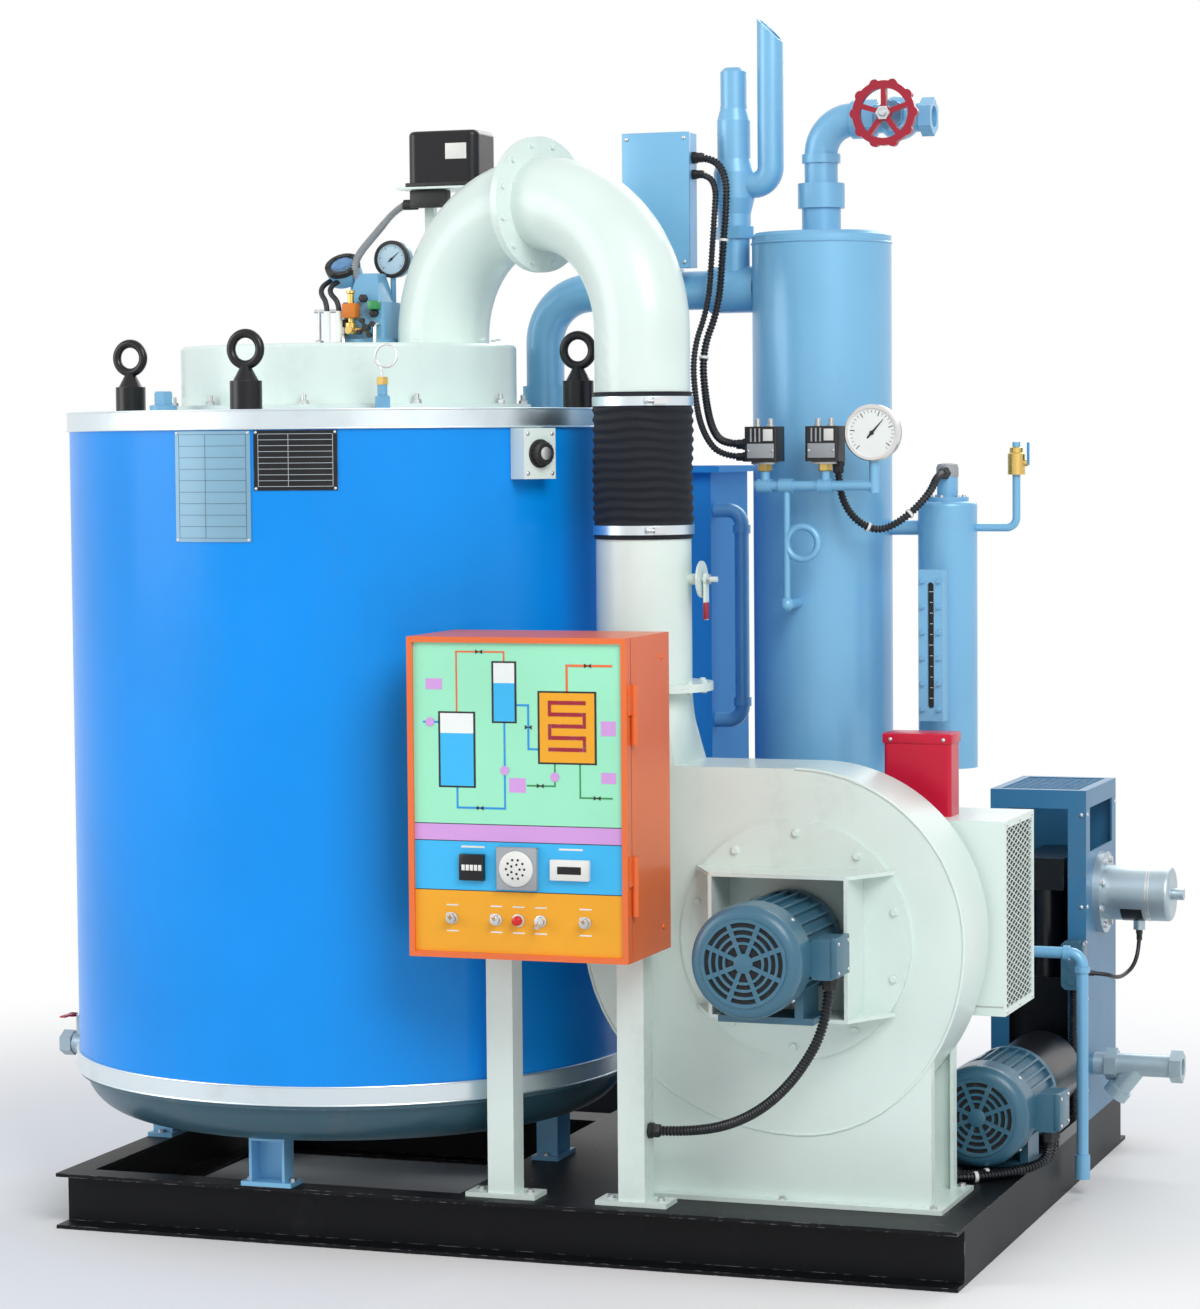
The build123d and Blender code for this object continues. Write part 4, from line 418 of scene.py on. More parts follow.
class Finish(Enum):
    """Every finish on the plant."""

    JACKET = Paint("jacket_azure", (0.0005, 0.29, 0.88), 0.27, coat=0.1, dirtiness=0.05, specular=0.22)
    CASING = Paint("casing_azure", (0.030, 0.31, 0.74), 0.5, coat=0.0, dirtiness=0.15, specular=0.2)
    CREAM = Paint("cream_enamel", (0.75, 0.87, 0.82), 0.3, dirtiness=0.18)
    WHITE = Paint("white_enamel", (0.86, 0.90, 0.88), 0.3, dirtiness=0.12)
    GREY_BLUE = Paint("sky_grey_paint", (0.20, 0.49, 0.75), 0.3, dirtiness=0.14, metallic=0.12)
    PALE_BLUE = Paint("pale_blue_paint", (0.17, 0.42, 0.64), 0.32, dirtiness=0.18)
    MOTOR = Paint("motor_blue_paint", (0.038, 0.14, 0.215), dirtiness=0.3)
    BLACK = Paint("skid_black_paint", (0.002, 0.0025, 0.004), 0.4, chips=0.8, coat=0.0, dirtiness=0.12,
                  dirt=(0.05, 0.05, 0.055), specular=0.22)
    GLOSS_BLACK = Paint("gloss_black_paint", (0.003, 0.003, 0.005), 0.24, chips=0.3, coat=0.1,
                        dirtiness=0.06, specular=0.35)
    DISH = Paint("dish_grey_paint", (0.038, 0.112, 0.155), dirtiness=0.35, metallic=0.2)
    ORANGE = Paint("cabinet_orange_paint", (0.82, 0.155, 0.030), 0.32, coat=0.1, dirtiness=0.10)
    RED = Paint("signal_red_paint", (0.60, 0.004, 0.036), 0.28, coat=0.1, dirtiness=0.08, specular=0.35)
    WHEEL = Paint("handwheel_red_paint", (0.34, 0.003, 0.022), 0.28, chips=0.9, coat=0.1, dirtiness=0.15)
    MINT = panel("panel_mint", (0.34, 0.82, 0.56))
    LAVENDER = panel("panel_lavender", (0.66, 0.34, 0.74))
    SKY = panel("panel_sky", (0.04, 0.48, 0.88))
    AMBER = panel("panel_amber", (0.88, 0.39, 0.012))
    LEAF = panel("panel_leaf", (0.03, 0.28, 0.08), coat=0.25)
    PALE_DIAL = panel("pale_dial", (0.52, 0.70, 0.82), 0.25, 0.25)
    GUARD = Paint("guard_blue_paint", (0.036, 0.19, 0.36), 0.36, coat=0.1, dirtiness=0.3)
    GALVANISED = Paint("galvanised_grey", (0.40, 0.52, 0.58), dirtiness=0.2, metallic=0.35)
    PLATE = Paint("plate_grey", (0.21, 0.40, 0.54), chips=0.1, dirtiness=0.12, metallic=0.25)
    BAND = Steel("bright_band_steel", (0.70, 0.78, 0.82), 0.28)
    ALUMINIUM = Steel("brushed_aluminium", (0.46, 0.55, 0.60), 0.36, (60.0, 60.0, 1.0))
    ZINC = Steel("zinc_bolt_steel", (0.60, 0.61, 0.62), 0.36)
    BRASS = Steel("brass", (0.72, 0.50, 0.16), 0.3)
    TUBE = Steel("stainless_tube", (0.74, 0.72, 0.70), 0.22)
    PLASTIC = Moulding("black_plastic", (0.012, 0.012, 0.013), 0.4)
    GREY_PLASTIC = Moulding("grey_plastic", (0.36, 0.38, 0.40), 0.45)
    PALE_PLASTIC = Moulding("pale_plastic", (0.80, 0.80, 0.76), 0.4)
    ORANGE_PLASTIC = Moulding("coil_orange", (0.70, 0.20, 0.02), 0.4)
    # Near-black for the cowl slots: painted shade inside the slots.
    SLOT = Moulding("slot_dark", (0.004, 0.006, 0.008), 0.7)
    RUBBER = Moulding("conduit_rubber", (0.007, 0.009, 0.013), 0.3)
    CLOTH = CoatedCloth("sleeve_cloth", (0.004, 0.006, 0.011))
    GLASS_BLUE = Lens("blue_sight_glass", (0.45, 0.72, 0.92))
    RED_LAMP = Moulding("red_lamp", (0.72, 0.006, 0.008), 0.18)

    def material(self) -> bpy.types.Material:
        """Return the finish's material, made on first use."""
        return bpy.data.materials.get(self.value.name) or self.value.material()

    def slot(self) -> str:
        """Slot of the record that a piece of this finish has, unless it says another."""
        return next((slot for slot, names in SLOTS.items() if self.name in names.split()), "gauge_steel")


SLOTS: dict[str, str] = {
    "jacket_blue": "JACKET",
    "bright_band": "BAND",
    "burner_blue": "PALE_BLUE CASING LEAF ORANGE_PLASTIC",
    "cream_paint": "CREAM WHITE",
    "pipe_grey_blue": "GREY_BLUE",
    "motor_blue": "MOTOR GUARD SLOT",
    "cabinet_orange": "ORANGE",
    "signal_red": "RED WHEEL RED_LAMP",
    "instrument_plastic": "PLASTIC GREY_PLASTIC PALE_PLASTIC",
    "conduit_black": "RUBBER",
    "sleeve_fabric": "CLOTH",
}


class Body(Enum):
    """Bodies of the frame that pieces ride on."""

    PLANT = "plant"
    DOOR = "door"
    LEVER = "lever"
    WHEEL = "wheel"


def basis(axis: Point) -> tuple[Vector, Vector, Vector]:
    """Set up directions along and across an axis.

    Args:
        axis: Direction of any length.

    Returns:
        The unit axis and two unit directions across it, the first along X where it can be.
    """
    along = Vector(axis).normalized()
    side = X if abs(along.x) < 0.9 else Y
    side = (side - along * side.dot(along)).normalized()
    return along, side, along.cross(side)


def angles(count: int, start: float = 0.0) -> list[float]:
    """Equal steps of one whole turn, in radians from a start."""
    return [start + math.tau * step / count for step in range(count)]


def heading(degrees: float, right: Vector = X, up: Vector = Y) -> Vector:
    """Direction at an angle from right towards up."""
    return right * math.cos(math.radians(degrees)) + up * math.sin(math.radians(degrees))


def ring(middle: Point, axis: Point, radius: float, count: int, start: float = 0.0) -> list[Vector]:
    """Spread points round an axis.

    Args:
        middle: Middle of the circle.
        axis: Direction of its axis.
        radius: Its radius.
        count: Number of points.
        start: Angle of the first one in radians.

    Returns:
        The points in order.
    """
    _, side, other = basis(axis)
    turns = angles(count, start)
    return [Vector(middle) + (side * math.cos(t) + other * math.sin(t)) * radius for t in turns]


def bead(reach: float, size: float, flat: float = 1.0) -> Profile:
    """Round profile at a reach from its axis, pressed flat by a share."""
    return [(reach + size * math.cos(a), flat * size * math.sin(a)) for a in angles(8)]


def rectangle(left: float, low: float, right: float, high: float) -> Profile:
    """Outline of a rectangle between two corners."""
    return [(left, low), (right, low), (right, high), (left, high)]


def half_width(node: str) -> float:
    """Half of a CAD node's size along X."""
    low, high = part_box(node)
    return (high.x - low.x) / 2


def plan(node: str, height: float = 0.0) -> Vector:
    """Middle of a CAD node as seen from above, at a height."""
    low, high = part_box(node)
    return Vector(((low.x + high.x) / 2, (low.y + high.y) / 2, height))


def smooth_line(route: Route) -> list[Vector]:
    """Read the points of the smooth spline that a route controls.

    Args:
        route: Control points in order.

    Returns:
        Points along the spline.
    """
    curve = bpy.data.curves.new("route", "CURVE")
    curve.dimensions = "3D"
    line = curve.splines.new("NURBS")
    line.points.add(len(route) - 1)
    for knot, point in zip(line.points, route):
        knot.co = (*point, 1.0)
    line.order_u = 3
    line.use_endpoint_u = True
    line.resolution_u = 16
    holder = bpy.data.objects.new("route", curve)
    mesh = bpy.data.meshes.new_from_object(holder)
    points = [vertex.co.copy() for vertex in mesh.vertices]
    bpy.data.objects.remove(holder)
    bpy.data.curves.remove(curve)
    bpy.data.meshes.remove(mesh)
    return points


def evenly(line: Sequence[Vector], step: float) -> list[Vector]:
    """Walk a fine line in equal steps.

    Args:
        line: Points close together.
        step: Length of one step.

    Returns:
        Points one step apart, with the last point of the line.
    """
    walked, due, gone = [line[0]], step, 0.0
    for first, second in zip(line, line[1:]):
        reach = (second - first).length
        while reach > 0.0 and gone + reach >= due:
            walked.append(first.lerp(second, (due - gone) / reach))
            due += step
        gone += reach
    return walked + [line[-1]]


def stand(name: str, data: bpy.types.ID) -> bpy.types.Object:
    """Put a new object into the scene.

    Args:
        name: Name of the object.
        data: Mesh, lamp or camera that it shows.

    Returns:
        The new object.
    """
    made = bpy.data.objects.new(name, data)
    bpy.context.scene.collection.objects.link(made)
    return made


class Shape:
    """Mesh of one piece, gathered from simple solids."""

    def __init__(self) -> None:
        """Start empty."""
        self.mesh = bmesh.new()

    def rings(self, rings: list[list[Vector]], loop: bool = False, caps: bool = True) -> Shape:
        """Skin a row of rings that have the same number of points.

        Args:
            rings: Rings of points in order.
            loop: Join the last ring to the first.
            caps: Close both ends.

        Returns:
            This shape.
        """
        rows = [[self.mesh.verts.new(point) for point in points] for points in rings]
        pairs = list(zip(rows, rows[1:])) + ([(rows[-1], rows[0])] if loop else [])
        for first, second in pairs:
            for index in range(len(first)):
                after = (index + 1) % len(first)
                self.mesh.faces.new((first[index], first[after], second[after], second[index]))
        if caps and not loop:
            self.mesh.faces.new(rows[0][::-1])
            self.mesh.faces.new(rows[-1])
        return self

    def lathe(
        self,
        base: Point,
        axis: Point,
        profile: Profile,
        sides: int = 32,
        loop: bool = False,
        turn: float = 0.0,
    ) -> Shape:
        """Turn a profile about an axis.

        Args:
            base: Point of the axis at height 0.
            axis: Direction of the axis.
            profile: Radius and height of its points.
            sides: Points round the axis.
            loop: Join the last point of the profile to the first.
            turn: Angle of the first side in radians.

        Returns:
            This shape.
        """
        along = basis(axis)[0]
        foot = Vector(base)
        rows = [ring(foot + along * height, axis, radius, sides, turn) for radius, height in profile]
        return self.rings(rows, loop)

    def bar(self, start: Point, end: Point, radius: float, sides: int = 20) -> Shape:
        """Round bar between two points."""
        axis = Vector(end) - Vector(start)
        return self.lathe(start, axis, [(radius, 0.0), (radius, axis.length)], sides)

    def tube(self, start: Point, end: Point, outer: float, inner: float, sides: int = 32) -> Shape:
        """Open tube between two points."""
        axis = Vector(end) - Vector(start)
        return self.lathe(start, axis, rectangle(inner, 0.0, outer, axis.length), sides, True)

    def box(self, low: Point, high: Point, bevel: float = 0.0) -> Shape:
        """Box along the axes.

        Args:
            low: Lowest corner.
            high: Highest corner.
            bevel: Rounding of its edges.

        Returns:
            This shape.
        """
        low, high = Vector(low), Vector(high)
        matrix = Matrix.Translation((low + high) / 2) @ Matrix.Diagonal((*(high - low), 1.0))
        made = bmesh.ops.create_cube(self.mesh, size=1.0, matrix=matrix)
        if bevel:
            edges = list({edge for vert in made["verts"] for edge in vert.link_edges})
            bmesh.ops.bevel(self.mesh, geom=edges, offset=bevel, segments=2, affect="EDGES", profile=0.5)
        return self

    def plate(self, outline: Profile, at: Point, right: Vector, up: Vector, depth: float) -> Shape:
        """Flat plate of an outline along right and up, thickened by depth along right x up."""
        front = [Vector(at) + right * a + up * b for a, b in outline]
        return self.rings([front, [point + right.cross(up) * depth for point in front]])

    def sweep(self, points: Route, radii: Sequence[float] | float, sides: int = 14) -> Shape:
        """Round tube along points.

        Args:
            points: Points of its middle line.
            radii: One radius, or one at each point.
            sides: Points round the line.

        Returns:
            This shape.
        """
        route = [Vector(point) for point in points]
        sizes = [radii] * len(route) if isinstance(radii, (int, float)) else list(radii)
        side = (route[1] - route[0]).orthogonal().normalized()
        rows = []
        for index, point in enumerate(route):
            before, after = route[max(index - 1, 0)], route[min(index + 1, len(route) - 1)]
            along = (after - before).normalized()
            side = (side - along * side.dot(along)).normalized()
            other = along.cross(side)
            turns = angles(sides)
            rows.append([point + (side * math.cos(t) + other * math.sin(t)) * sizes[index] for t in turns])
        return self.rings(rows)

    def bolt(self, base: Point, axis: Point, size: float) -> Shape:
        """Hexagon head on a washer.

        Args:
            base: Middle of the washer's foot.
            axis: Direction of the head.
            size: Size of the thread.

        Returns:
            This shape.
        """
        along = Vector(axis).normalized()
        thick = 0.18 * size
        self.lathe(base, along, [(1.15 * size, 0.0), (1.15 * size, thick)], 16)
        profile = [(0.95 * size, 0.0), (0.95 * size, 0.62 * size), (0.82 * size, 0.72 * size)]
        return self.lathe(Vector(base) + along * thick, along, profile, 6, turn=0.4)

    def screw(self, base: Point, axis: Point, size: float) -> Shape:
        """Low domed head of a radius."""
        dome = ((1.0, 0.0), (1.0, 0.22), (0.86, 0.46), (0.5, 0.62), (0.16, 0.66))
        return self.lathe(base, axis, [(radius * size, height * size) for radius, height in dome], 16)

    def screws(self, across: Floats, back: Floats, up: Floats, axis: Point, size: float) -> Shape:
        """Domed heads at every meeting of rows.

        Args:
            across: Places along X.
            back: Places along Y.
            up: Places along Z.
            axis: Direction of the heads.
            size: Their radius.

        Returns:
            This shape.
        """
        for place in [(x, y, z) for x in across for y in back for z in up]:
            self.screw(place, axis, size)
        return self

    def bent(
        self,
        middle: Vector,
        radius: float,
        thickness: float,
        area: Area,
        steps: int,
        axes: tuple[Vector, Vector, Vector] = (X, Y, Z),
    ) -> Shape:
        """Plate bent round an axis.

        Args:
            middle: Point of the axis at height 0.
            radius: Inner radius.
            thickness: Thickness outwards.
            area: First and last angle in degrees, lower and upper height along the axis.
            steps: Flat stretches between the angles.
            axes: Directions at 0 and at 90 degrees, and along the axis.

        Returns:
            This shape.
        """
        first, last, low, high = area
        foot, head = axes[2] * low, axes[2] * high
        rows = []
        for step in range(steps + 1):
            out = heading(first + (last - first) * step / steps, axes[0], axes[1])
            near, far = middle + out * radius, middle + out * (radius + thickness)
            rows.append([near + foot, far + foot, far + head, near + head])
        return self.rings(rows)

    def corrugated(self, route: Route, radius: float, pitch: float) -> Shape:
        """Ribbed hose along the smooth spline of a route.

        Args:
            route: Control points of the spline.
            radius: Radius over the ribs.
            pitch: Length of one rib.

        Returns:
            This shape.
        """
        ribs = (1.0, 1.0, 0.74, 0.74)
        line = evenly(smooth_line(route), pitch / len(ribs))
        return self.sweep(line, [radius * ribs[index % len(ribs)] for index in range(len(line))], 16)

    def expanded(self, low: Pair, high: Pair, place: Matrix, cell: Pair, strand: float) -> Shape:
        """Expanded metal of diamond cells over a rectangle.

        Args:
            low: Lower corner in the sheet's own plane.
            high: Upper corner in that plane.
            place: Matrix from that plane to the frame.
            cell: Width and height of a cell.
            strand: Half thickness of a strand.

        Returns:
            This shape.
        """
        shortest = 0.002
        slope = cell[1] / cell[0]
        rise = slope * (high[0] - low[0])
        count = math.ceil((high[1] - low[1] + rise) / cell[1])
        for way in (-slope, slope):
            for step in range(count + 1):
                base = low[1] - (rise if way > 0 else 0.0) + step * cell[1]
                ends = [low[0] + (level - base) / way for level in (low[1], high[1])]
                left, right = max(low[0], min(ends)), min(high[0], max(ends))
                if right - left > shortest:
                    tips = [place @ Vector((u, base + way * (u - low[0]), 0.0)) for u in (left, right)]
                    self.bar(*tips, strand, 6)
        return self

    def piece(
        self, name: str, finish: Finish, body: Body = Body.PLANT, slot: str = "", sharp: float = 40.0
    ) -> bpy.types.Object:
        """Close the mesh as an object that rides on a body.

        Args:
            name: Piece name.
            finish: Its finish.
            body: CAD body that carries it.
            slot: Material slot of the record, where it isn't the finish's usual one; it is not used.
            sharp: Edges that turn by more degrees than this stay crisp.

        Returns:
            The new object.
        """
        bmesh.ops.recalc_face_normals(self.mesh, faces=self.mesh.faces)
        for face in self.mesh.faces:
            face.smooth = True
        for edge in self.mesh.edges:
            if len(edge.link_faces) == 2:
                edge.smooth = edge.calc_face_angle(0.0) < math.radians(sharp)
        data = bpy.data.meshes.new(name)
        self.mesh.to_mesh(data)
        self.mesh.free()
        data.materials.append(finish.material())
        made = stand(name, data)
        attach(made, body.value)
        slot or finish.slot()
        log.info("%s: %d faces", name, len(data.polygons))
        return made


@dataclass
class Studio:
    """Pale floor, soft light and the photograph's camera."""

    position: Triple = (2.822, -8.068, 1.749)
    yaw: float = 19.53
    pitch: float = -3.32
    roll: float = -0.48
    focal_pixels: float = 3634.0
    frame_height: float = 1309.0
    sensor: float = 36.0
    far_clip: float = 200.0
    floor_size: float = 60.0
    floor_drop: float = 0.0005
    floor_tones: Pair = (0.86, 0.82)
    clear_radius: float = 3.6
    fade_start: float = 0.45
    white: Colour = (1.0, 1.0, 1.0)
    sky: float = 0.5
    sky_tint: Colour = (0.95, 0.97, 1.0)
    aim: Triple = (0.0, 0.0, 1.1)
    lamps: tuple[tuple[str, Triple, float, float], ...] = (
        ("key", (4.2, -5.2, 5.4), 3.6, 300.0),
        ("fill", (-5.6, -4.2, 3.2), 4.2, 170.0),
        ("rim", (1.0, 5.0, 5.0), 4.0, 180.0),
    )

    def build(self) -> None:
        """Make the floor, the lights, the world and the camera."""
        self.floor()
        self.light()
        self.world()
        self.camera()

    def camera(self) -> None:
        """Place the camera at the photograph's viewing angle."""
        data = bpy.data.cameras.new("camera")
        data.sensor_width = self.sensor
        data.sensor_fit = "AUTO"
        data.lens = self.focal_pixels / self.frame_height * self.sensor
        data.clip_end = self.far_clip
        camera = stand("camera", data)
        turn = (
            Matrix.Rotation(math.radians(self.yaw), 4, "Z")
            @ Matrix.Rotation(math.radians(90.0 + self.pitch), 4, "X")
            @ Matrix.Rotation(math.radians(self.roll), 4, "Z")
        )
        camera.matrix_world = Matrix.Translation(self.position) @ turn
        bpy.context.scene.camera = camera

    def floor(self) -> None:
        """Lay a pale floor that keeps the shadow and fades to white far off."""
        half = self.floor_size / 2
        data = bpy.data.meshes.new("studio_floor")
        corners = [(x, y, 0.0) for x, y in rectangle(-half, -half, half, half)]
        data.from_pydata(corners, [], [(0, 1, 2, 3)])
        floor = stand("studio_floor", data)
        floor.location.z = -self.floor_drop
        shader = Shader.named("studio_floor_pale")
        spot = shader.stretched((1.0, 1.0, 0.0))
        reach = shader.value("ShaderNodeVectorMath", "Value", {"operation": "LENGTH"}, {0: spot})
        far = reach.above(self.fade_start * self.clear_radius, self.clear_radius)
        pale, shade = ((tone, tone, tone) for tone in self.floor_tones)
        tone = shader.mix(shader.noise(30.0, 4.0) * 0.2, pale, shade)
        matt = shader.node("ShaderNodeBsdfDiffuse", {}, {"Color": tone})
        white = shader.node("ShaderNodeEmission", {}, {"Color": self.white, "Strength": 1.0})
        inputs = {0: far * self.seen(shader), 1: matt.outputs[0], 2: white.outputs[0]}
        shader.close(shader.node("ShaderNodeMixShader", {}, inputs))
        data.materials.append(shader.owner)

    @staticmethod
    def seen(shader: Shader) -> Value:
        """Mask of rays that show the background.

        Args:
            shader: Tree that uses the mask.

        Returns:
            1 for camera, glossy and transmission rays.
        """
        path = shader.node("ShaderNodeLightPath", {}, {})
        kinds = ("Camera", "Glossy", "Transmission")
        camera, glossy, clear = (Value(shader, path.outputs[f"Is {kind} Ray"]) for kind in kinds)
        return camera.largest(glossy).largest(clear)

    def light(self) -> None:
        """Hang soft lamps: key at the front right, fill at the left, rim behind."""
        for name, place, size, power in self.lamps:
            data = bpy.data.lights.new(name, "AREA")
            data.size = size
            data.energy = power
            lamp = stand(name, data)
            lamp.location = place
            lamp.rotation_euler = (Vector(self.aim) - lamp.location).to_track_quat("-Z", "Y").to_euler()

    def world(self) -> None:
        """Light softly all round, with a white backdrop."""
        world = bpy.data.worlds.new("studio_world")
        bpy.context.scene.world = world
        shader = Shader(world)
        soft = shader.node("ShaderNodeBackground", {}, {"Color": self.sky_tint, "Strength": self.sky})
        white = shader.node("ShaderNodeBackground", {}, {"Color": self.white, "Strength": 1.0})
        inputs = {0: self.seen(shader), 1: soft.outputs[0], 2: white.outputs[0]}
        shader.close(shader.node("ShaderNodeMixShader", {}, inputs))


@dataclass
class Plant:
    """Finishes of the CAD pieces."""

    nodes: dict[Finish, str] = field(
        default_factory=lambda: {
            Finish.BLACK: "skid_front_rear_rails skid_side_rails skid_cross_rail skid_leg_rail deck_plate",
            Finish.JACKET: "boiler_jacket",
            Finish.CASING: "economizer",
            Finish.BAND: "boiler_bands sleeve_clamps",
            Finish.ALUMINIUM: "boiler_top pressure_gauge flow_sensor",
            Finish.DISH: "boiler_bottom",
            Finish.GLOSS_BLACK: "lifting_eyes relay_box feed_pump",
            Finish.PLASTIC: "pressure_switches door_instruments",
            Finish.CREAM: "windbox lower_duct_elbow upper_duct_elbow riser_duct fan_scroll fan_stand "
            "fan_motor_bracket inlet_box cabinet_posts thermostat box_brackets damper_lever",
            Finish.GREY_BLUE: "separator_shell separator_heads steam_pipe safety_valve vent_pipe "
            "outlet_pipe stop_valve junction_box pressure_manifold level_column water_pipes "
            "boiler_legs column_fittings level_gauge",
            Finish.MOTOR: "fan_motor pump_motor terminal_boxes",
            Finish.GUARD: "pump_guard",
            Finish.GALVANISED: "strainer blowdown_valve",
            Finish.PALE_BLUE: "burner",
            Finish.RED: "ignition_box",
            Finish.WHEEL: "handwheel",
            Finish.ORANGE: "control_cabinet cabinet_door",
            Finish.CLOTH: "duct_sleeve",
            Finish.RUBBER: "motor_conduit box_conduit electrode_conduit sensor_conduit",
        }
    )

    def dress(self) -> None:
        """Paint every CAD node."""
        for finish, nodes in self.nodes.items():
            for node in nodes.split():
                for slot in bpy.data.objects[node].material_slots:
                    slot.material = finish.material()


@dataclass
class BoilerDress:
    """Fasteners, bare plates and small fittings on the boiler shell."""

    flange_bolts: int = 10
    flange_start: float = -117.0
    flange_inset: float = 0.0165
    flange_height: float = 0.012
    bolt: float = 0.0105
    stud: float = 0.022
    plug_angle: float = -124.0
    plug_reach: float = 0.49
    plug_collar: Profile = ((0.031, 0.0), (0.031, 0.012), (0.027, 0.014))
    plug_head: Profile = ((0.022, 0.014), (0.022, 0.040), (0.019, 0.044))
    bands: Pairs = ((1.785, 1.829), (0.330, 0.374))
    bead: float = 0.0022
    bead_reach: float = 0.0053
    seam: Area = (63.0, 66.0, 0.376, 1.783)
    seam_thickness: float = 0.0016
    seam_screws: int = 18
    seam_pitch: float = 0.077
    seam_first: float = 0.42
    grey_plate: Area = (-102.5, -86.0, 1.545, 1.783)
    black_plate: Area = (-85.3, -69.0, 1.655, 1.783)
    plate_lift: float = 0.0005
    plate_thickness: float = 0.0016
    plate_rows: int = 9
    plate_column: float = 0.42
    plate_inset: float = 0.9
    plate_border: float = 0.008
    ruling: float = 0.0011
    ink: float = 0.0003
    rivet: float = 0.0034
    rivet_turn: float = 0.45
    rivet_rise: float = 0.004
    dial_angle: float = -30.0
    dial_reach: float = 0.0463
    dial_radius: float = 0.0255
    dial_cap: Profile = ((0.014, 0.0200), (0.014, 0.0220), (0.011, 0.0230))
    dial_screws: Triple = (0.034, 0.043, 0.0048)
    capillary_angle: float = -58.0
    capillary_reach: float = 0.478
    capillary: float = 0.0024
    capillary_socket: Profile = ((0.018, 0.0), (0.018, 0.026), (0.015, 0.028), (0.011, 0.03))
    capillary_stem: Profile = ((0.011, 0.03), (0.011, 0.052))
    capillary_nut: Profile = ((0.0135, 0.052), (0.0135, 0.066), (0.011, 0.069))
    curl_points: int = 15
    curl_start: Floats = (0.066, 0.086)
    curl_middle: Triple = (0.014, 0.0, 0.112)
    curl_radius: Pair = (0.031, 0.0007)
    curl_turn: Pair = (205.0, 26.0)
    curl_lean: float = 0.0012
    foot_reach: float = 0.484
    foot_height: float = 0.135
    foot_spread: float = 0.051
    foot_bolt: float = 0.0075

    def build(self) -> None:
        """Add everything that sits on the boiler shell."""
        self.axis = plan("boiler_jacket")
        self.radius = half_width("boiler_jacket")
        self.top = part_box("boiler_top")[1].z
        self.flange()
        self.beads()
        self.bare_plate("grey_plate", self.grey_plate, Finish.PLATE, Finish.DISH)
        self.bare_plate("black_plate", self.black_plate, Finish.GLOSS_BLACK, Finish.ALUMINIUM)
        self.thermostat()
        self.curl()
        self.feet()
        self.blowdown()

    def spot(self, degrees: float, reach: float, height: float) -> Vector:
        """Point at an angle and a reach from the boiler's axis."""
        return self.axis + heading(degrees) * reach + Z * height

    def flange(self) -> None:
        """Bolt the windbox flange down, with a blue plug beside it."""
        middle = self.axis + Z * (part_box("windbox")[0].z + self.flange_height)
        circle = half_width("windbox") - self.flange_inset
        nuts = Shape()
        for place in ring(middle, Z, circle, self.flange_bolts, math.radians(self.flange_start)):
            nuts.bolt(place, Z, self.bolt).bar(place, place + Z * self.stud, 0.55 * self.bolt, 12)
        nuts.piece("windbox_flange_nuts", Finish.ZINC)
        base = self.spot(self.plug_angle, self.plug_reach, self.top)
        plug = Shape().lathe(base, Z, self.plug_collar, 24).lathe(base, Z, self.plug_head, 6)
        plug.piece("boiler_top_plug", Finish.PALE_BLUE)

    def beads(self) -> None:
        """Roll a bead along both edges of each bright band, and a seam down the back."""
        beads = Shape()
        profile = bead(self.radius + self.bead_reach, self.bead)
        for low, high in self.bands:
            for height in (low + self.bead, high - self.bead):
                beads.lathe(self.axis + Z * height, Z, profile, 160, True)
        beads.piece("band_beads", Finish.BAND)
        seam = Shape().bent(self.axis, self.radius, self.seam_thickness, self.seam, 4)
        middle = (self.seam[0] + self.seam[1]) / 2
        for step in range(self.seam_screws):
            height = self.seam_first + self.seam_pitch * step
            seam.screw(self.spot(middle, self.radius + self.seam_thickness, height), heading(middle), 0.006)
        seam.piece("jacket_seam", Finish.JACKET)

    def bare_plate(self, name: str, area: Area, finish: Finish, lines: Finish) -> None:
        """Curve one bare plate round the jacket, with blank ruled lines and rivets.

        Args:
            name: Piece name.
            area: First and last angle, lower and upper height.
            finish: Finish of the plate.
            lines: Finish of its lines.
        """
        first, last, low, high = area
        lift = self.radius + self.plate_lift
        Shape().bent(self.axis, lift, self.plate_thickness, area, 14).piece(name, finish)
        face = lift + self.plate_thickness
        left, right = first + self.plate_inset, last - self.plate_inset
        pitch = (high - low - 2 * self.plate_border) / self.plate_rows
        rows = [low + self.plate_border + step * pitch for step in range(self.plate_rows + 1)]
        ruled = Shape()
        for height in rows:
            ruled.bent(self.axis, face, self.ink, (left, right, height, height + self.ruling), 10)
        for turn in (left, first + self.plate_column * (last - first), right):
            ruled.bent(self.axis, face, self.ink, (turn - 0.05, turn + 0.05, rows[0], rows[-1]), 1)
        ruled.piece(name + "_lines", lines)
        rivets = Shape()
        for turn in (first + self.rivet_turn, last - self.rivet_turn):
            for height in (low + self.rivet_rise, high - self.rivet_rise):
                rivets.screw(self.spot(turn, face, height), heading(turn), self.rivet)
        rivets.piece(name + "_rivets", Finish.ZINC)

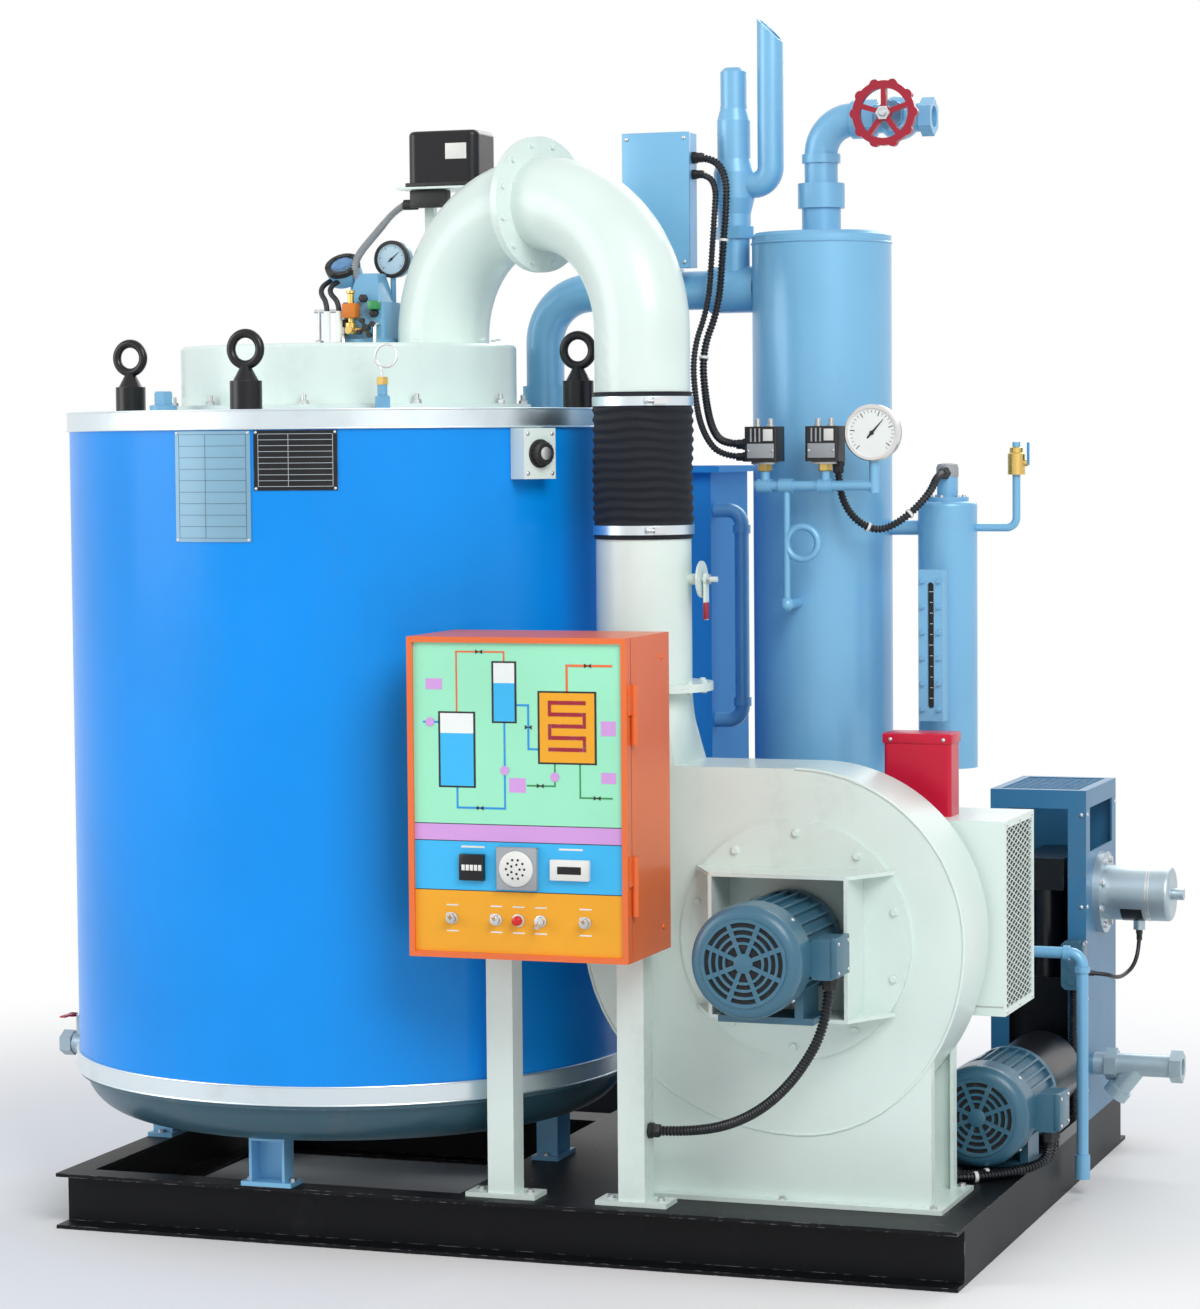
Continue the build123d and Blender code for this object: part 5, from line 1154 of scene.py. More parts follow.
    def thermostat(self) -> None:
        """Put a black dial and corner screws on the thermostat."""
        low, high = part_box("thermostat")
        out = heading(self.dial_angle)
        face = self.spot(self.dial_angle, self.radius + self.dial_reach, (low.z + high.z) / 2)
        grip = self.dial_radius
        profile = [(0.031, 0.0), (0.031, 0.003), (grip, 0.004), (grip, 0.017), (0.022, 0.0205)]
        dial = Shape().lathe(face, out, [*profile, (0.010, 0.0205)], 40)
        for place in ring(face + out * 0.010, out, grip, 18):
            dial.bar(place - out * 0.006, place + out * 0.006, 0.0018, 8)
        dial.piece("thermostat_dial", Finish.PLASTIC)
        cap = Shape().lathe(face, out, self.dial_cap, 32)
        across, rise, size = self.dial_screws
        for side, up in rectangle(-across, -rise, across, rise):
            cap.screw(face + Z.cross(out) * side + Z * up, out, size)
        cap.piece("thermostat_screws", Finish.ZINC)

    def curl(self) -> None:
        """Stand the curled capillary tube on its fitting beside the windbox."""
        base = self.spot(self.capillary_angle, self.capillary_reach, self.top)
        fitting = Shape().lathe(base, Z, self.capillary_socket, 6).lathe(base, Z, self.capillary_stem, 20)
        fitting.piece("capillary_fitting", Finish.PALE_BLUE)
        Shape().lathe(base, Z, self.capillary_nut, 6).piece("capillary_nut", Finish.BRASS)
        route = [base + Z * height for height in self.curl_start]
        middle = base + Vector(self.curl_middle)
        radius, shrink = self.curl_radius
        first, turn = self.curl_turn
        for step in range(self.curl_points):
            out = heading(first - turn * step, X, Z) * (radius - shrink * step)
            route.append(middle + out - Y * self.curl_lean * step)
        Shape().sweep(smooth_line(route), self.capillary, 10).piece("capillary_tube", Finish.TUBE)

    def feet(self) -> None:
        """Bolt the four leg plates to the skid."""
        bolts = Shape()
        for degrees in (0.0, 90.0, 180.0, 270.0):
            place = self.spot(degrees, self.foot_reach, self.foot_height)
            for side in (-self.foot_spread, self.foot_spread):
                bolts.bolt(place + heading(degrees + 90.0) * side, Z, self.foot_bolt)
        bolts.piece("leg_bolts", Finish.ZINC)

    def blowdown(self) -> None:
        """Put the red handle on the blowdown valve."""
        low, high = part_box("blowdown_valve")
        top = Vector((high.x - 0.048, (low.y + high.y) / 2, high.z))
        handle = Shape().lathe(top, Z, [(0.009, -0.004), (0.009, 0.004)], 16)
        handle.box(top - Vector((0.008, 0.052, 0.0)), top + Vector((0.008, 0.012, 0.004)), 0.0015)
        handle.piece("blowdown_handle", Finish.RED)


@dataclass
class Dial:
    """Round dial with ticks, a needle and a rim, and no lettering."""

    radius: float
    face_radius: float
    rim: Finish
    face: Finish
    ticks: int = 27
    sweep: float = 270.0
    first: float = 225.0
    tick_end: float = 0.92
    long_tick: Pair = (0.20, 0.016)
    short_tick: Pair = (0.11, 0.008)
    needle: Profile = ((-0.28, -0.035), (0.0, -0.05), (0.74, -0.008), (0.74, 0.008), (0.0, 0.05),
                       (-0.28, 0.035))

    def build(self, name: str, middle: Vector, pointing: float) -> None:
        """Build the dial on a gauge that faces the front.

        Args:
            name: Start of the pieces' names.
            middle: Middle of the gauge's front face.
            pointing: Angle of the needle in degrees from +X towards +Z.
        """
        outer, size, back, front = self.radius + 0.0008, self.face_radius, -0.010, 0.0045
        rim = [(outer, back), (outer, 0.002), (self.radius - 0.002, front)]
        rim += [(size, front), (size, -0.0005), (size, back)]
        Shape().lathe(middle, FRONT, rim, 64, True).piece(name + "_rim", self.rim, slot="gauge_steel")
        plate = Shape().lathe(middle, FRONT, [(size + 0.0004, -0.004), (size + 0.0004, 0.0008)], 64)
        plate.piece(name + "_face", self.face, slot="gauge_steel")
        marks = Shape()
        for step in range(self.ticks):
            long, wide = self.short_tick if step % 5 else self.long_tick
            outline = rectangle(self.tick_end - long, -wide, self.tick_end, wide)
            turn = self.first - self.sweep * step / (self.ticks - 1)
            self.mark(marks, outline, middle + FRONT * 0.0009, turn, 0.0004)
        self.mark(marks, self.needle, middle + FRONT * 0.0020, pointing, 0.0006)
        marks.lathe(middle, FRONT, [(0.09 * size, 0.0), (0.09 * size, 0.003), (0.06 * size, 0.0036)], 24)
        marks.piece(name + "_marks", Finish.PLASTIC)

    def mark(self, shape: Shape, outline: Profile, at: Vector, turn: float, depth: float) -> None:
        """Lay one mark, drawn in shares of the face's radius, at a turn in degrees."""
        points = [(along * self.face_radius, across * self.face_radius) for along, across in outline]
        shape.plate(points, at, heading(turn, X, Z), heading(turn + 90.0, X, Z), depth)


@dataclass
class BurnerDress:
    """Tubes, hoses, coil and dials round the burner, and the relay box above it."""

    tube: float = 0.0078
    tube_front: float = -0.068
    tube_places: Pairs = ((-0.024, -0.042), (0.006, -0.020))
    hose: float = 0.0062
    rod: Triple = (-0.064, -0.02, 0.0)
    rod_nut: Profile = ((0.012, 0.0), (0.012, 0.014), (0.009, 0.016))
    face: float = -0.052
    coil: float = 0.034
    coil_place: Pair = (0.036, 0.080)
    valve: Profile = ((0.013, -0.052), (0.013, -0.028), (0.007, -0.026), (0.007, 0.038), (0.010, 0.040),
                      (0.010, 0.046))
    valve_height: float = 0.036
    hub: Triple = (0.078, -0.072, 0.040)
    hub_profile: Profile = ((0.008, 0.0), (0.008, 0.016), (0.006, 0.018))
    spoke: float = 0.019
    knob_places: Pairs = ((0.088, 0.074), (0.062, 0.108), (0.016, 0.052))
    knob: Profile = ((0.010, 0.0), (0.010, 0.012), (0.007, 0.014))
    element: Triple = (0.080, -0.078, 0.082)
    element_size: Triple = (0.024, 0.026, 0.020)
    pipe: float = 0.0045
    pipe_places: tuple[Triple, ...] = ((0.018, 0.026, 0.020), (0.098, 0.050, 0.026))
    sight_tilt: float = 50.0
    sight_place: Triple = (-0.008, 0.0, 0.170)
    sight_lift: float = 0.015
    lens: Profile = ((0.0285, 0.0072), (0.027, 0.0092), (0.018, 0.0117), (0.006, 0.0132))
    gauge_radius: float = 0.042
    relay_lead: float = 0.0088
    relay_pitch: float = 0.0040

    def build(self) -> None:
        """Add the burner's small parts."""
        self.base = plan("boiler_jacket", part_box("windbox")[1].z)
        self.pilot_tubes()
        self.coil_block()
        self.knobs()
        self.sight_glass()
        self.gauge()
        self.relay()

    def at(self, right: float, back: float, up: float) -> Vector:
        """Point measured from the boiler's axis on top of the windbox."""
        return self.base + Vector((right, back, up))

    def pilot_tubes(self) -> None:
        """Stand two pale tubes before the burner, with hoses to the sight head, and a rod."""
        tubes, hoses, front = Shape(), Shape(), self.tube_front
        profile = ((0.013, 0.0), (0.013, 0.008), (self.tube, 0.010), (self.tube, 0.080))
        for right, bend in self.tube_places:
            tubes.lathe(self.at(right, front, 0.0), Z, profile, 24)
            route = (
                self.at(right, front, 0.074),
                self.at(right, front, 0.100),
                self.at(bend, -0.064, 0.122),
                self.at(bend, -0.045, 0.142),
                self.at(bend + 0.012, -0.024, 0.152),
            )
            hoses.sweep(smooth_line(route), self.hose)
        tubes.piece("pilot_tubes", Finish.WHITE)
        hoses.piece("pilot_hoses", Finish.RUBBER)
        foot = self.at(*self.rod)
        rod = Shape().bar(foot, foot + Z * 0.086, 0.004, 12).lathe(foot, Z, self.rod_nut, 6)
        rod.bar(foot + Z * 0.082 - X * 0.012, foot + Z * 0.082 + X * 0.042, 0.0045, 12)
        rod.piece("burner_rod", Finish.ZINC)

    def coil_block(self) -> None:
        """Fix the solenoid coil, its valve, a green element and two pipes on the burner block."""
        half, face = self.coil / 2, self.face
        right, up = self.coil_place
        middle = self.at(right, face - half, up)
        corner = Vector((half, half, half))
        coil = Shape().box(middle - corner, middle + corner, 0.004)
        coil.piece("solenoid_coil", Finish.ORANGE_PLASTIC)
        valve = Shape().lathe(middle, Z, self.valve, 20)
        branch = self.at(right, face, self.valve_height)
        valve.bar(branch, branch + FRONT * 0.034, 0.009, 16)
        valve.bar(branch + FRONT * 0.017, branch + FRONT * 0.017 + X * 0.040, 0.006, 14)
        valve.piece("solenoid_valve", Finish.BRASS)
        low = self.at(*self.element)
        Shape().box(low, low + Vector(self.element_size), 0.003).piece("green_element", Finish.LEAF)
        pipes = Shape()
        for right, up, reach in self.pipe_places:
            front = face - reach - 0.008
            route = (
                self.at(right, face, up),
                self.at(right, face - reach, up),
                self.at(right + 0.004, front, up - 0.014),
                self.at(right + 0.004, front, 0.0),
            )
            pipes.sweep(smooth_line(route), self.pipe, 12)
        pipes.piece("burner_pipes", Finish.TUBE)

    def knobs(self) -> None:
        """Put the spoked handle and the small knobs on the burner block."""
        knobs = Shape()
        hub = self.at(*self.hub)
        knobs.lathe(hub, FRONT, self.hub_profile, 20)
        middle = hub + FRONT * 0.012
        for spoke in ring(middle, FRONT, self.spoke, 4, 0.5):
            knobs.bar(middle, spoke, 0.0042, 12)
            knobs.lathe(spoke, FRONT, [(0.006, -0.005), (0.006, 0.005)], 12)
        for right, up in self.knob_places:
            knobs.lathe(self.at(right, self.face, up), FRONT, self.knob, 6)
        knobs.piece("burner_knobs", Finish.PLASTIC)

    def sight_glass(self) -> None:
        """Rim and glass of the tilted sight head."""
        out = heading(self.sight_tilt, FRONT, Z)
        face = self.at(*self.sight_place) + out * self.sight_lift
        front = face + out * 0.010
        rim = Shape().tube(face - out * 0.001, front, 0.041, 0.029, 48)
        for place in ring(front, out, 0.035, 6, 0.3):
            rim.screw(place, out, 0.0042)
        rim.piece("sight_rim", Finish.PLASTIC)
        Shape().lathe(face, out, self.lens, 40).piece("sight_glass", Finish.GLASS_BLUE)

    def gauge(self) -> None:
        """Dial of the burner's draught gauge."""
        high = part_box("burner")[1]
        middle = Vector((high.x - self.gauge_radius, self.base.y + 0.030, high.z - self.gauge_radius))
        dial = Dial(self.gauge_radius, 0.0345, Finish.PLASTIC, Finish.PALE_DIAL)
        dial.build("burner_gauge", middle, 40.0)

    def relay(self) -> None:
        """Give the relay box its bare label, socket and flexible lead to the burner."""
        low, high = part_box("relay_box")
        near = (high.x - 0.076, low.y - 0.0006, low.z + 0.062)
        label = Shape().box(near, (high.x - 0.024, low.y + 0.0004, low.z + 0.098), 0.0004)
        label.piece("relay_label", Finish.PALE_PLASTIC)
        near = (low.x - 0.003, low.y - 0.003, low.z)
        trim = Shape().box(near, (high.x + 0.003, high.y + 0.003, low.z + 0.010), 0.002)
        trim.box(low + Vector((0.004, 0.004, -0.046)), low + Vector((0.094, 0.040, -0.006)), 0.004)
        gland = low + Vector((0.010, 0.024, -0.038))
        trim.bar(gland + X * 0.006, gland - X * 0.026, 0.012)
        trim.piece("relay_socket", Finish.PLASTIC)
        route = (
            gland - X * 0.024,
            gland + Vector((-0.050, 0.0, -0.012)),
            gland + Vector((-0.085, -0.020, -0.060)),
            self.at(0.030, -0.030, 0.200),
            self.at(0.028, -0.022, 0.160),
            self.at(0.036, -0.012, 0.140),
        )
        lead = Shape().corrugated(route, self.relay_lead, self.relay_pitch)
        lead.piece("relay_lead", Finish.GREY_PLASTIC, slot="conduit_black")


@dataclass
class DuctDress:
    """Cloth sleeve, flange bolts and damper parts of the air duct."""

    duct: float = 0.104
    flange_bolts: int = 12
    flange_radius: float = 0.150
    flange: float = 0.009
    bolt: float = 0.0062
    bolt_circle: float = 0.133
    deck_circle: float = 0.126
    deck_screws: int = 10
    folds: int = 15
    fold_depth: float = 0.0019
    slack: float = 0.0012
    held_share: float = 0.11
    step: float = 0.0026
    sides: int = 128
    clamp_angle: float = -52.0
    clamp_screw: Profile = ((0.0068, 0.0), (0.0068, 0.005), (0.005, 0.006))
    grip: Triple = (0.0042, 0.0122, 0.019)

    def build(self) -> None:
        """Add the duct's soft and small parts."""
        self.sleeve()
        self.bolts()
        self.clamps()
        self.damper()

    def fold(self, turn: float, share: float) -> float:
        """Work out how far the cloth stands out.

        Args:
            turn: Angle round the duct in radians.
            share: Place along the sleeve from 0 to 1.

        Returns:
            Distance out from the duct's wall.
        """
        held = min(1.0, min(share, 1.0 - share) / self.held_share)
        drift = 0.9 * math.sin(2.0 * turn + 1.3) + 0.6 * math.sin(5.0 * turn + 7.0 * share)
        fold = math.sin(math.tau * self.folds * share + drift)
        slack = math.sin(3.0 * turn + 9.0 * share) * math.sin(math.pi * share) + 1.0
        return held * (self.fold_depth * fold + self.slack * slack)

    def sleeve(self) -> None:
        """Gather the cloth sleeve between the riser and the elbow."""
        low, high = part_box("duct_sleeve")
        middle = plan("duct_sleeve")
        radius = half_width("duct_sleeve") - 0.0004
        count = round((high.z - low.z) / self.step)
        rows = []
        for share in (index / count for index in range(count + 1)):
            axis = middle + Z * (low.z + (high.z - low.z) * share)
            reaches = [(math.degrees(a), radius + self.fold(a, share)) for a in angles(self.sides)]
            rows.append([axis + heading(degrees) * reach for degrees, reach in reaches])
        cloth = Shape().rings(rows, caps=False)
        made = cloth.piece("duct_sleeve_cloth", Finish.CLOTH, sharp=80.0)
        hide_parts("duct_sleeve")

    def bolts(self) -> None:
        """Bolt the elbows together and the riser to the fan, and screw the elbow to the windbox."""
        bolts = Shape()
        lower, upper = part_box("lower_duct_elbow"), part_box("upper_duct_elbow")
        start = Vector((lower[0].x + self.duct, lower[1].y - self.duct, 0.0))
        end = Vector((upper[1].x - self.duct, upper[0].y + self.duct, 0.0))
        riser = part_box("riser_duct")[0]
        foot = riser + Vector((self.flange_radius, self.flange_radius, 0.0))
        joint = (start + end) / 2 + Z * (upper[1].z - self.flange_radius)
        along = (end - start).normalized()
        faces = [(joint, way, way, 0.26) for way in (-along, along)]
        faces += [(foot, Z, way, 0.1) for way in (-Z, Z)]
        for middle, axis, way, first in faces:
            for place in ring(middle + way * self.flange, axis, self.bolt_circle, self.flange_bolts, first):
                bolts.bolt(place, way, self.bolt)
        deck = start + Z * (lower[0].z + self.flange - 0.0002)
        for place in ring(deck, Z, self.deck_circle, self.deck_screws, 0.2):
            if lower[0].x + 0.02 < place.x:
                bolts.screw(place, Z, self.bolt)
        bolts.piece("duct_bolts", Finish.CREAM)

    def clamps(self) -> None:
        """Add the screw housings of both sleeve clamps."""
        low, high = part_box("sleeve_clamps")
        out = heading(self.clamp_angle)
        across = Z.cross(out)
        housings = Shape()
        for height in (low.z + 0.010, high.z - 0.010):
            spot = plan("sleeve_clamps", height) + out * (half_width("sleeve_clamps") - 0.001)
            housings.plate(rectangle(-0.016, -0.007, 0.016, 0.007), spot, across, Z, 0.011)
            screw = spot + out * 0.006
            housings.bar(screw - across * 0.030, screw + across * 0.016, 0.0042, 14)
            housings.lathe(screw - across * 0.030, -across, self.clamp_screw, 6)
        housings.piece("clamp_screws", Finish.ZINC)

    def damper(self) -> None:
        """Lock nut and grip of the damper lever."""
        low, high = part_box("damper_lever")
        pivot = Vector((high.x, (low.y + high.y) / 2, high.z - 0.0144))
        nut = Shape().tube(pivot, pivot + X * 0.007, 0.0118, 0.0068, 6)
        nut.piece("damper_nut", Finish.ZINC, Body.LEVER)
        end = plan("damper_lever", low.z + 0.020)
        grip = Shape().box(end - Vector(self.grip), end + Vector(self.grip), 0.003)
        grip.piece("damper_grip", Finish.WHEEL, Body.LEVER)


@dataclass
class FanDress:
    """Fasteners, lids and screens of the fan set."""

    plate: float = 0.010
    plate_bolts: int = 10
    plate_start: float = 17.0
    plate_circle: float = 0.229
    plate_bolt: float = 0.0085
    foot_bolt: float = 0.0080
    post_feet: Pair = (0.015, 0.313)
    weld: float = 0.0034
    scroll_rise: Pair = (0.364, 0.420)
    scroll_reach: Pair = (0.366, 0.477)
    boxes: tuple[tuple[Triple, Floats], ...] = (
        ((0.7543, -0.974, 0.651), (-0.928,)),
        ((1.0553, -0.238, 0.220), (-0.214, -0.170)),
    )
    box_size: Triple = (0.056, 0.092, 0.084)
    gland: Profile = ((0.017, 0.0), (0.017, 0.012), (0.0145, 0.013), (0.0145, 0.024), (0.012, 0.026))
    pump_axis: float = 0.262
    cowl: float = 0.026
    cowl_rise: float = 0.0042
    cowl_rings: Pairs = ((0.0, 0.009), (0.017, 0.024), (0.032, 0.039), (0.047, 0.054))
    strand: float = 0.0013
    mesh: Pair = (0.0440, 0.0140)
    screen_margin: float = 0.016
    screen_depth: float = 0.008
    mouth: Pair = (0.692, -0.450)
    plug: Profile = ((0.015, 0.0), (0.015, 0.012), (0.011, 0.014), (0.011, 0.040), (0.007, 0.044))

    def build(self) -> None:
        """Add the fan's small parts."""
        low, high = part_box("fan_motor_bracket")
        self.axis = Vector(((low.x + high.x) / 2, high.y, (low.z + high.z) / 2))
        self.bolts()
        self.bead()
        self.motors()
        self.screen()
        self.ignition()

    def bolts(self) -> None:
        """Bolt the motor plate, the stand's foot and the posts' feet."""
        bolts, feet = Shape(), Shape()
        middle = self.axis + FRONT * self.plate
        start = math.radians(self.plate_start)
        for place in ring(middle, FRONT, self.plate_circle, self.plate_bolts, start):
            bolts.bolt(place, FRONT, self.plate_bolt)
        bolts.piece("motor_plate_bolts", Finish.CREAM)
        low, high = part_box("fan_stand")
        places = [
            (x, y, low.z + 0.010)
            for x in (low.x + 0.022, (low.x + high.x) / 2, high.x - 0.022)
            for y in (low.y + 0.015, high.y - 0.015)
        ]
        places += [(post + side, -0.792, 0.135) for post in self.post_feet for side in (-0.056, 0.056)]
        for place in places:
            feet.bolt(place, Z, self.foot_bolt)
        feet.piece("stand_foot_bolts", Finish.ZINC)

    def bead(self) -> None:
        """Lay a weld bead round the scroll's front edge."""
        rim = []
        for degrees in range(90, -181, -6):
            wide = self.scroll_reach[0 if degrees >= -90 else 1]
            tall = self.scroll_rise[0 if degrees >= 0 else 1]
            rim.append(self.axis + heading(degrees, X * wide, Z * tall))
        Shape().sweep(rim, self.weld, 10).piece("scroll_weld", Finish.CREAM)

    def motors(self) -> None:
        """Terminal lids, cowl grilles, screws, bare plates and glands of both motors."""
        lids, screws, glands, plates, dark = (Shape() for _ in range(5))
        for corner, entries in self.boxes:
            low = Vector(corner)
            high = low + Vector(self.box_size)
            near = (high.x - 0.012, low.y - 0.0025, low.z + 0.004)
            lids.box(near, high + Vector((0.003, 0.0025, 0.0025)), 0.003)
            rows, levels = (low.y + 0.010, high.y - 0.010), (low.z + 0.014, high.z - 0.010)
            screws.screws([high.x + 0.003], rows, levels, X, 0.0042)
            for y in entries:
                glands.lathe(((low.x + high.x) / 2, y, low.z), -Z, self.gland, 6)
        lean = X * -0.45 + Z * 0.893
        out = lean.normalized()
        cowls = (("fan_motor", self.axis.z, 0.118), ("pump_motor", self.pump_axis, 0.113))
        for motor, height, reach in cowls:
            hub = plan(motor, height)
            hub.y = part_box(motor)[0].y
            middle = hub + Y * 0.070
            for place in ring(middle, FRONT, reach, 4, 0.785):
                screws.screw(place, place - middle, 0.0048)
            spot = middle + Y * 0.110 + lean * (reach - 0.004)
            plates.plate(rectangle(-0.034, -0.022, 0.034, 0.022), spot, -Y, out.cross(-Y), 0.0016)
            self.grille(lids, dark, hub, reach - self.cowl)
        lids.piece("motor_lids", Finish.MOTOR)
        # Near-black disc behind the grilles: painted shade in the cowl slots.
        dark.piece("cowl_slots", Finish.SLOT)
        screws.piece("motor_screws", Finish.ZINC)
        glands.piece("motor_glands", Finish.PLASTIC, slot="conduit_black")
        plates.piece("motor_plates", Finish.ALUMINIUM)

    def grille(self, bars: Shape, dark: Shape, hub: Vector, reach: float) -> None:
        """Lay the cowl's rings and ribs over a near-black disc of painted shade in its slots.

        Args:
            bars: Shape that takes the rings and ribs.
            dark: Shape that takes the painted shade behind them.
            hub: Middle of the cowl's front.
            reach: Radius of the flat front.
        """
        rise, foot, bevel = self.cowl_rise, -0.001, 0.001
        # Near-black disc under the rings: painted shade seen through the slots.
        dark.lathe(hub, FRONT, [(reach - 0.003, foot), (reach - 0.003, 0.0006)], 64)
        for outset, inset in self.cowl_rings:
            outer, inner = reach - outset, reach - inset
            profile = [(outer, foot), (outer - bevel, rise), (inner + bevel, rise), (inner, foot)]
            bars.lathe(hub, FRONT, profile, 64, True)
        cap = [(0.020, foot), (0.020, rise), (0.014, rise + 0.002), (0.004, rise + 0.0026)]
        bars.lathe(hub, FRONT, cap, 40)
        end = reach - 0.004
        outline = [(0.016, -0.0042), (end, -0.0052), (end, 0.0052), (0.016, 0.0042)]
        for rib in ring(Vector(), FRONT, 1.0, 8, math.pi / 8):
            bars.plate(outline, hub, rib, FRONT.cross(rib), 0.0037)

    def screen(self) -> None:
        """Stretch expanded metal over the inlet box's mouth, with a dark sheet behind it."""
        low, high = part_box("inlet_box")
        left, back = self.mouth
        margin = self.screen_margin
        near = Vector((high.x - self.screen_depth, back + margin, low.z + margin))
        far = Vector((high.x, high.y - margin, high.z - margin))
        shade = Shape().box(near, (near.x + 0.0006, far.y, far.z))
        shade.piece("inlet_shade", Finish.PLASTIC, slot="cream_paint")
        place = Matrix(((0, 0, 1, high.x - 0.003), (1, 0, 0, 0), (0, 1, 0, 0), (0, 0, 0, 1)))
        sheet = Shape().expanded(near.yz, far.yz, place, self.mesh, self.strand)
        sheet.piece("inlet_screen", Finish.CREAM)
        seams = Shape()
        for y in (back - 0.002, high.y + 0.0006):
            seams.box((left, y, low.z + 0.020), (high.x - 0.004, y + 0.002, low.z + 0.022))
        rows, levels = (back + 0.020, back + 0.140, high.y - 0.020), (high.z - 0.008, low.z + 0.008)
        seams.screws([high.x], rows, levels, X, 0.0042)
        seams.piece("inlet_screws", Finish.ZINC)

    def ignition(self) -> None:
        """Lid, screws and plug of the red ignition box."""
        low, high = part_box("ignition_box")
        near = (low.x - 0.003, low.y - 0.003, high.z - 0.022)
        lid = Shape().box(near, high + Vector((0.003, 0.003, 0.002)), 0.004)
        lid.piece("ignition_lid", Finish.RED)
        columns = (low.x + 0.016, high.x - 0.016)
        small = Shape().screws(columns, [low.y - 0.003], [high.z - 0.012], FRONT, 0.0045)
        small.piece("ignition_screws", Finish.ZINC)
        plug = Shape().lathe(low + Vector((0.050, 0.0, 0.024)), FRONT, self.plug, 20)
        plug.piece("ignition_plug", Finish.PLASTIC)


@dataclass
class CabinetDress:
    """Coloured instrument panel on the cabinet door, with a made-up process mimic."""

    rim: float = 0.012
    face: float = -1.090
    body_width: float = 0.483
    slot: str = "cabinet_orange"
    shares: tuple[tuple[Finish, float], ...] = (
        (Finish.MINT, 0.585),
        (Finish.LAVENDER, 0.055),
        (Finish.SKY, 0.160),
        (Finish.AMBER, 0.200),
    )
    film: float = 0.0005
    ink: float = 0.0004
    areas: tuple[tuple[str, Finish, float, tuple[Area, ...]], ...] = (
        ("mimic_shells", Finish.PLASTIC, 0.0,
         ((0.12, 0.20, 0.30, 0.62), (0.60, 0.34, 0.88, 0.74), (0.38, 0.56, 0.50, 0.90))),
        ("mimic_tanks", Finish.SKY, 0.0004, ((0.13, 0.21, 0.29, 0.50), (0.39, 0.57, 0.49, 0.78))),
        ("mimic_space", Finish.WHITE, 0.0004, ((0.13, 0.50, 0.29, 0.61), (0.39, 0.78, 0.49, 0.89))),
        ("mimic_chamber", Finish.AMBER, 0.0004, ((0.61, 0.35, 0.87, 0.73),)),
        ("mimic_blocks", Finish.LAVENDER, 0.0,
         ((0.06, 0.74, 0.14, 0.80), (0.90, 0.50, 0.97, 0.58), (0.90, 0.24, 0.97, 0.30),
          (0.46, 0.18, 0.54, 0.26))),
    )
    runs: tuple[tuple[str, Finish, tuple[tuple[float, Profile], ...]], ...] = (
        ("mimic_water", Finish.CASING,
         ((0.0042, ((0.21, 0.20), (0.21, 0.09), (0.44, 0.09), (0.44, 0.56))),
          (0.0042, ((0.50, 0.66), (0.555, 0.66), (0.555, 0.42), (0.60, 0.42))),
          (0.0042, ((0.05, 0.56), (0.12, 0.56))))),
        ("mimic_steam", Finish.ORANGE,
         ((0.0050, ((0.74, 0.74), (0.74, 0.88), (0.95, 0.88))),
          (0.0036, ((0.44, 0.90), (0.44, 0.95), (0.21, 0.95), (0.21, 0.62))))),
        ("mimic_drain", Finish.LEAF,
         ((0.0034, ((0.80, 0.34), (0.80, 0.16), (0.95, 0.16))),
          (0.0034, ((0.68, 0.34), (0.68, 0.22), (0.55, 0.22))))),
    )
    valves: Pairs = ((0.32, 0.09), (0.555, 0.54), (0.84, 0.88), (0.32, 0.95), (0.88, 0.16), (0.61, 0.22))
    valve: Pair = (0.0075, 0.0045)
    pumps: Pairs = ((0.44, 0.30), (0.08, 0.56), (0.68, 0.27))
    pump: Profile = ((0.0095, 0.0003), (0.0095, 0.0008))
    coil_rows: int = 5
    coil_span: Pair = (0.65, 0.83)
    row: float = 0.875
    keys: float = 0.767
    key_pitch: float = 0.098
    meter: float = 0.116
    counter: float = -0.100
    buzzer: Profile = ((0.037, 0.0), (0.037, 0.003), (0.034, 0.0055), (0.006, 0.0062))
    hole: Profile = ((0.0026, 0.0), (0.0026, 0.0004))
    collar: Profile = ((0.0125, 0.0), (0.0125, 0.003), (0.0098, 0.004), (0.0098, 0.0142), (0.006, 0.0152))
    lamp_collar: Profile = ((0.0135, 0.0), (0.0135, 0.004), (0.0110, 0.005))
    lamp: Profile = ((0.0102, 0.0), (0.0102, 0.014), (0.0095, 0.017), (0.006, 0.0195), (0.002, 0.0203))

    def build(self) -> None:
        """Lay the panel's strips, the mimic and the instruments' fronts."""
        low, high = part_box("cabinet_door")
        self.left = low.x + self.rim
        self.right = low.x + self.body_width - self.rim
        self.middle = (self.left + self.right) / 2
        self.low, self.high = low.z + self.rim, high.z - self.rim
        self.mint_low = self.high - self.shares[0][1] * (self.high - self.low)
        self.strips()
        self.mimic()
        self.instruments()
        self.switches()
        self.hinges()

    def on_face(self, x: float, z: float, lift: float = 0.0) -> Vector:
        """Point at a height above the door's face."""
        return Vector((x, self.face - lift, z))

    def block(self, shape: Shape, right: float, half: Pair, lift: Pair, bevel: float) -> None:
        """Put a box into the row of instruments.

        Args:
            shape: Shape that takes it.
            right: Its middle, from the middle of the panel.
            half: Half of its width and height.
            lift: Heights of its back and front above the door's face.
            bevel: Rounding of its edges.
        """
        x = self.middle + right
        low = self.on_face(x - half[0], self.row - half[1], lift[1])
        shape.box(low, self.on_face(x + half[0], self.row + half[1], lift[0]), bevel)

    def patch(self, shape: Shape, low: Pair, high: Pair, lift: float = 0.0) -> None:
        """Lay a thin rectangle on the panel, in metres along X and Z."""
        back = self.film + lift
        shape.box(self.on_face(*low, back + self.ink), self.on_face(*high, back))

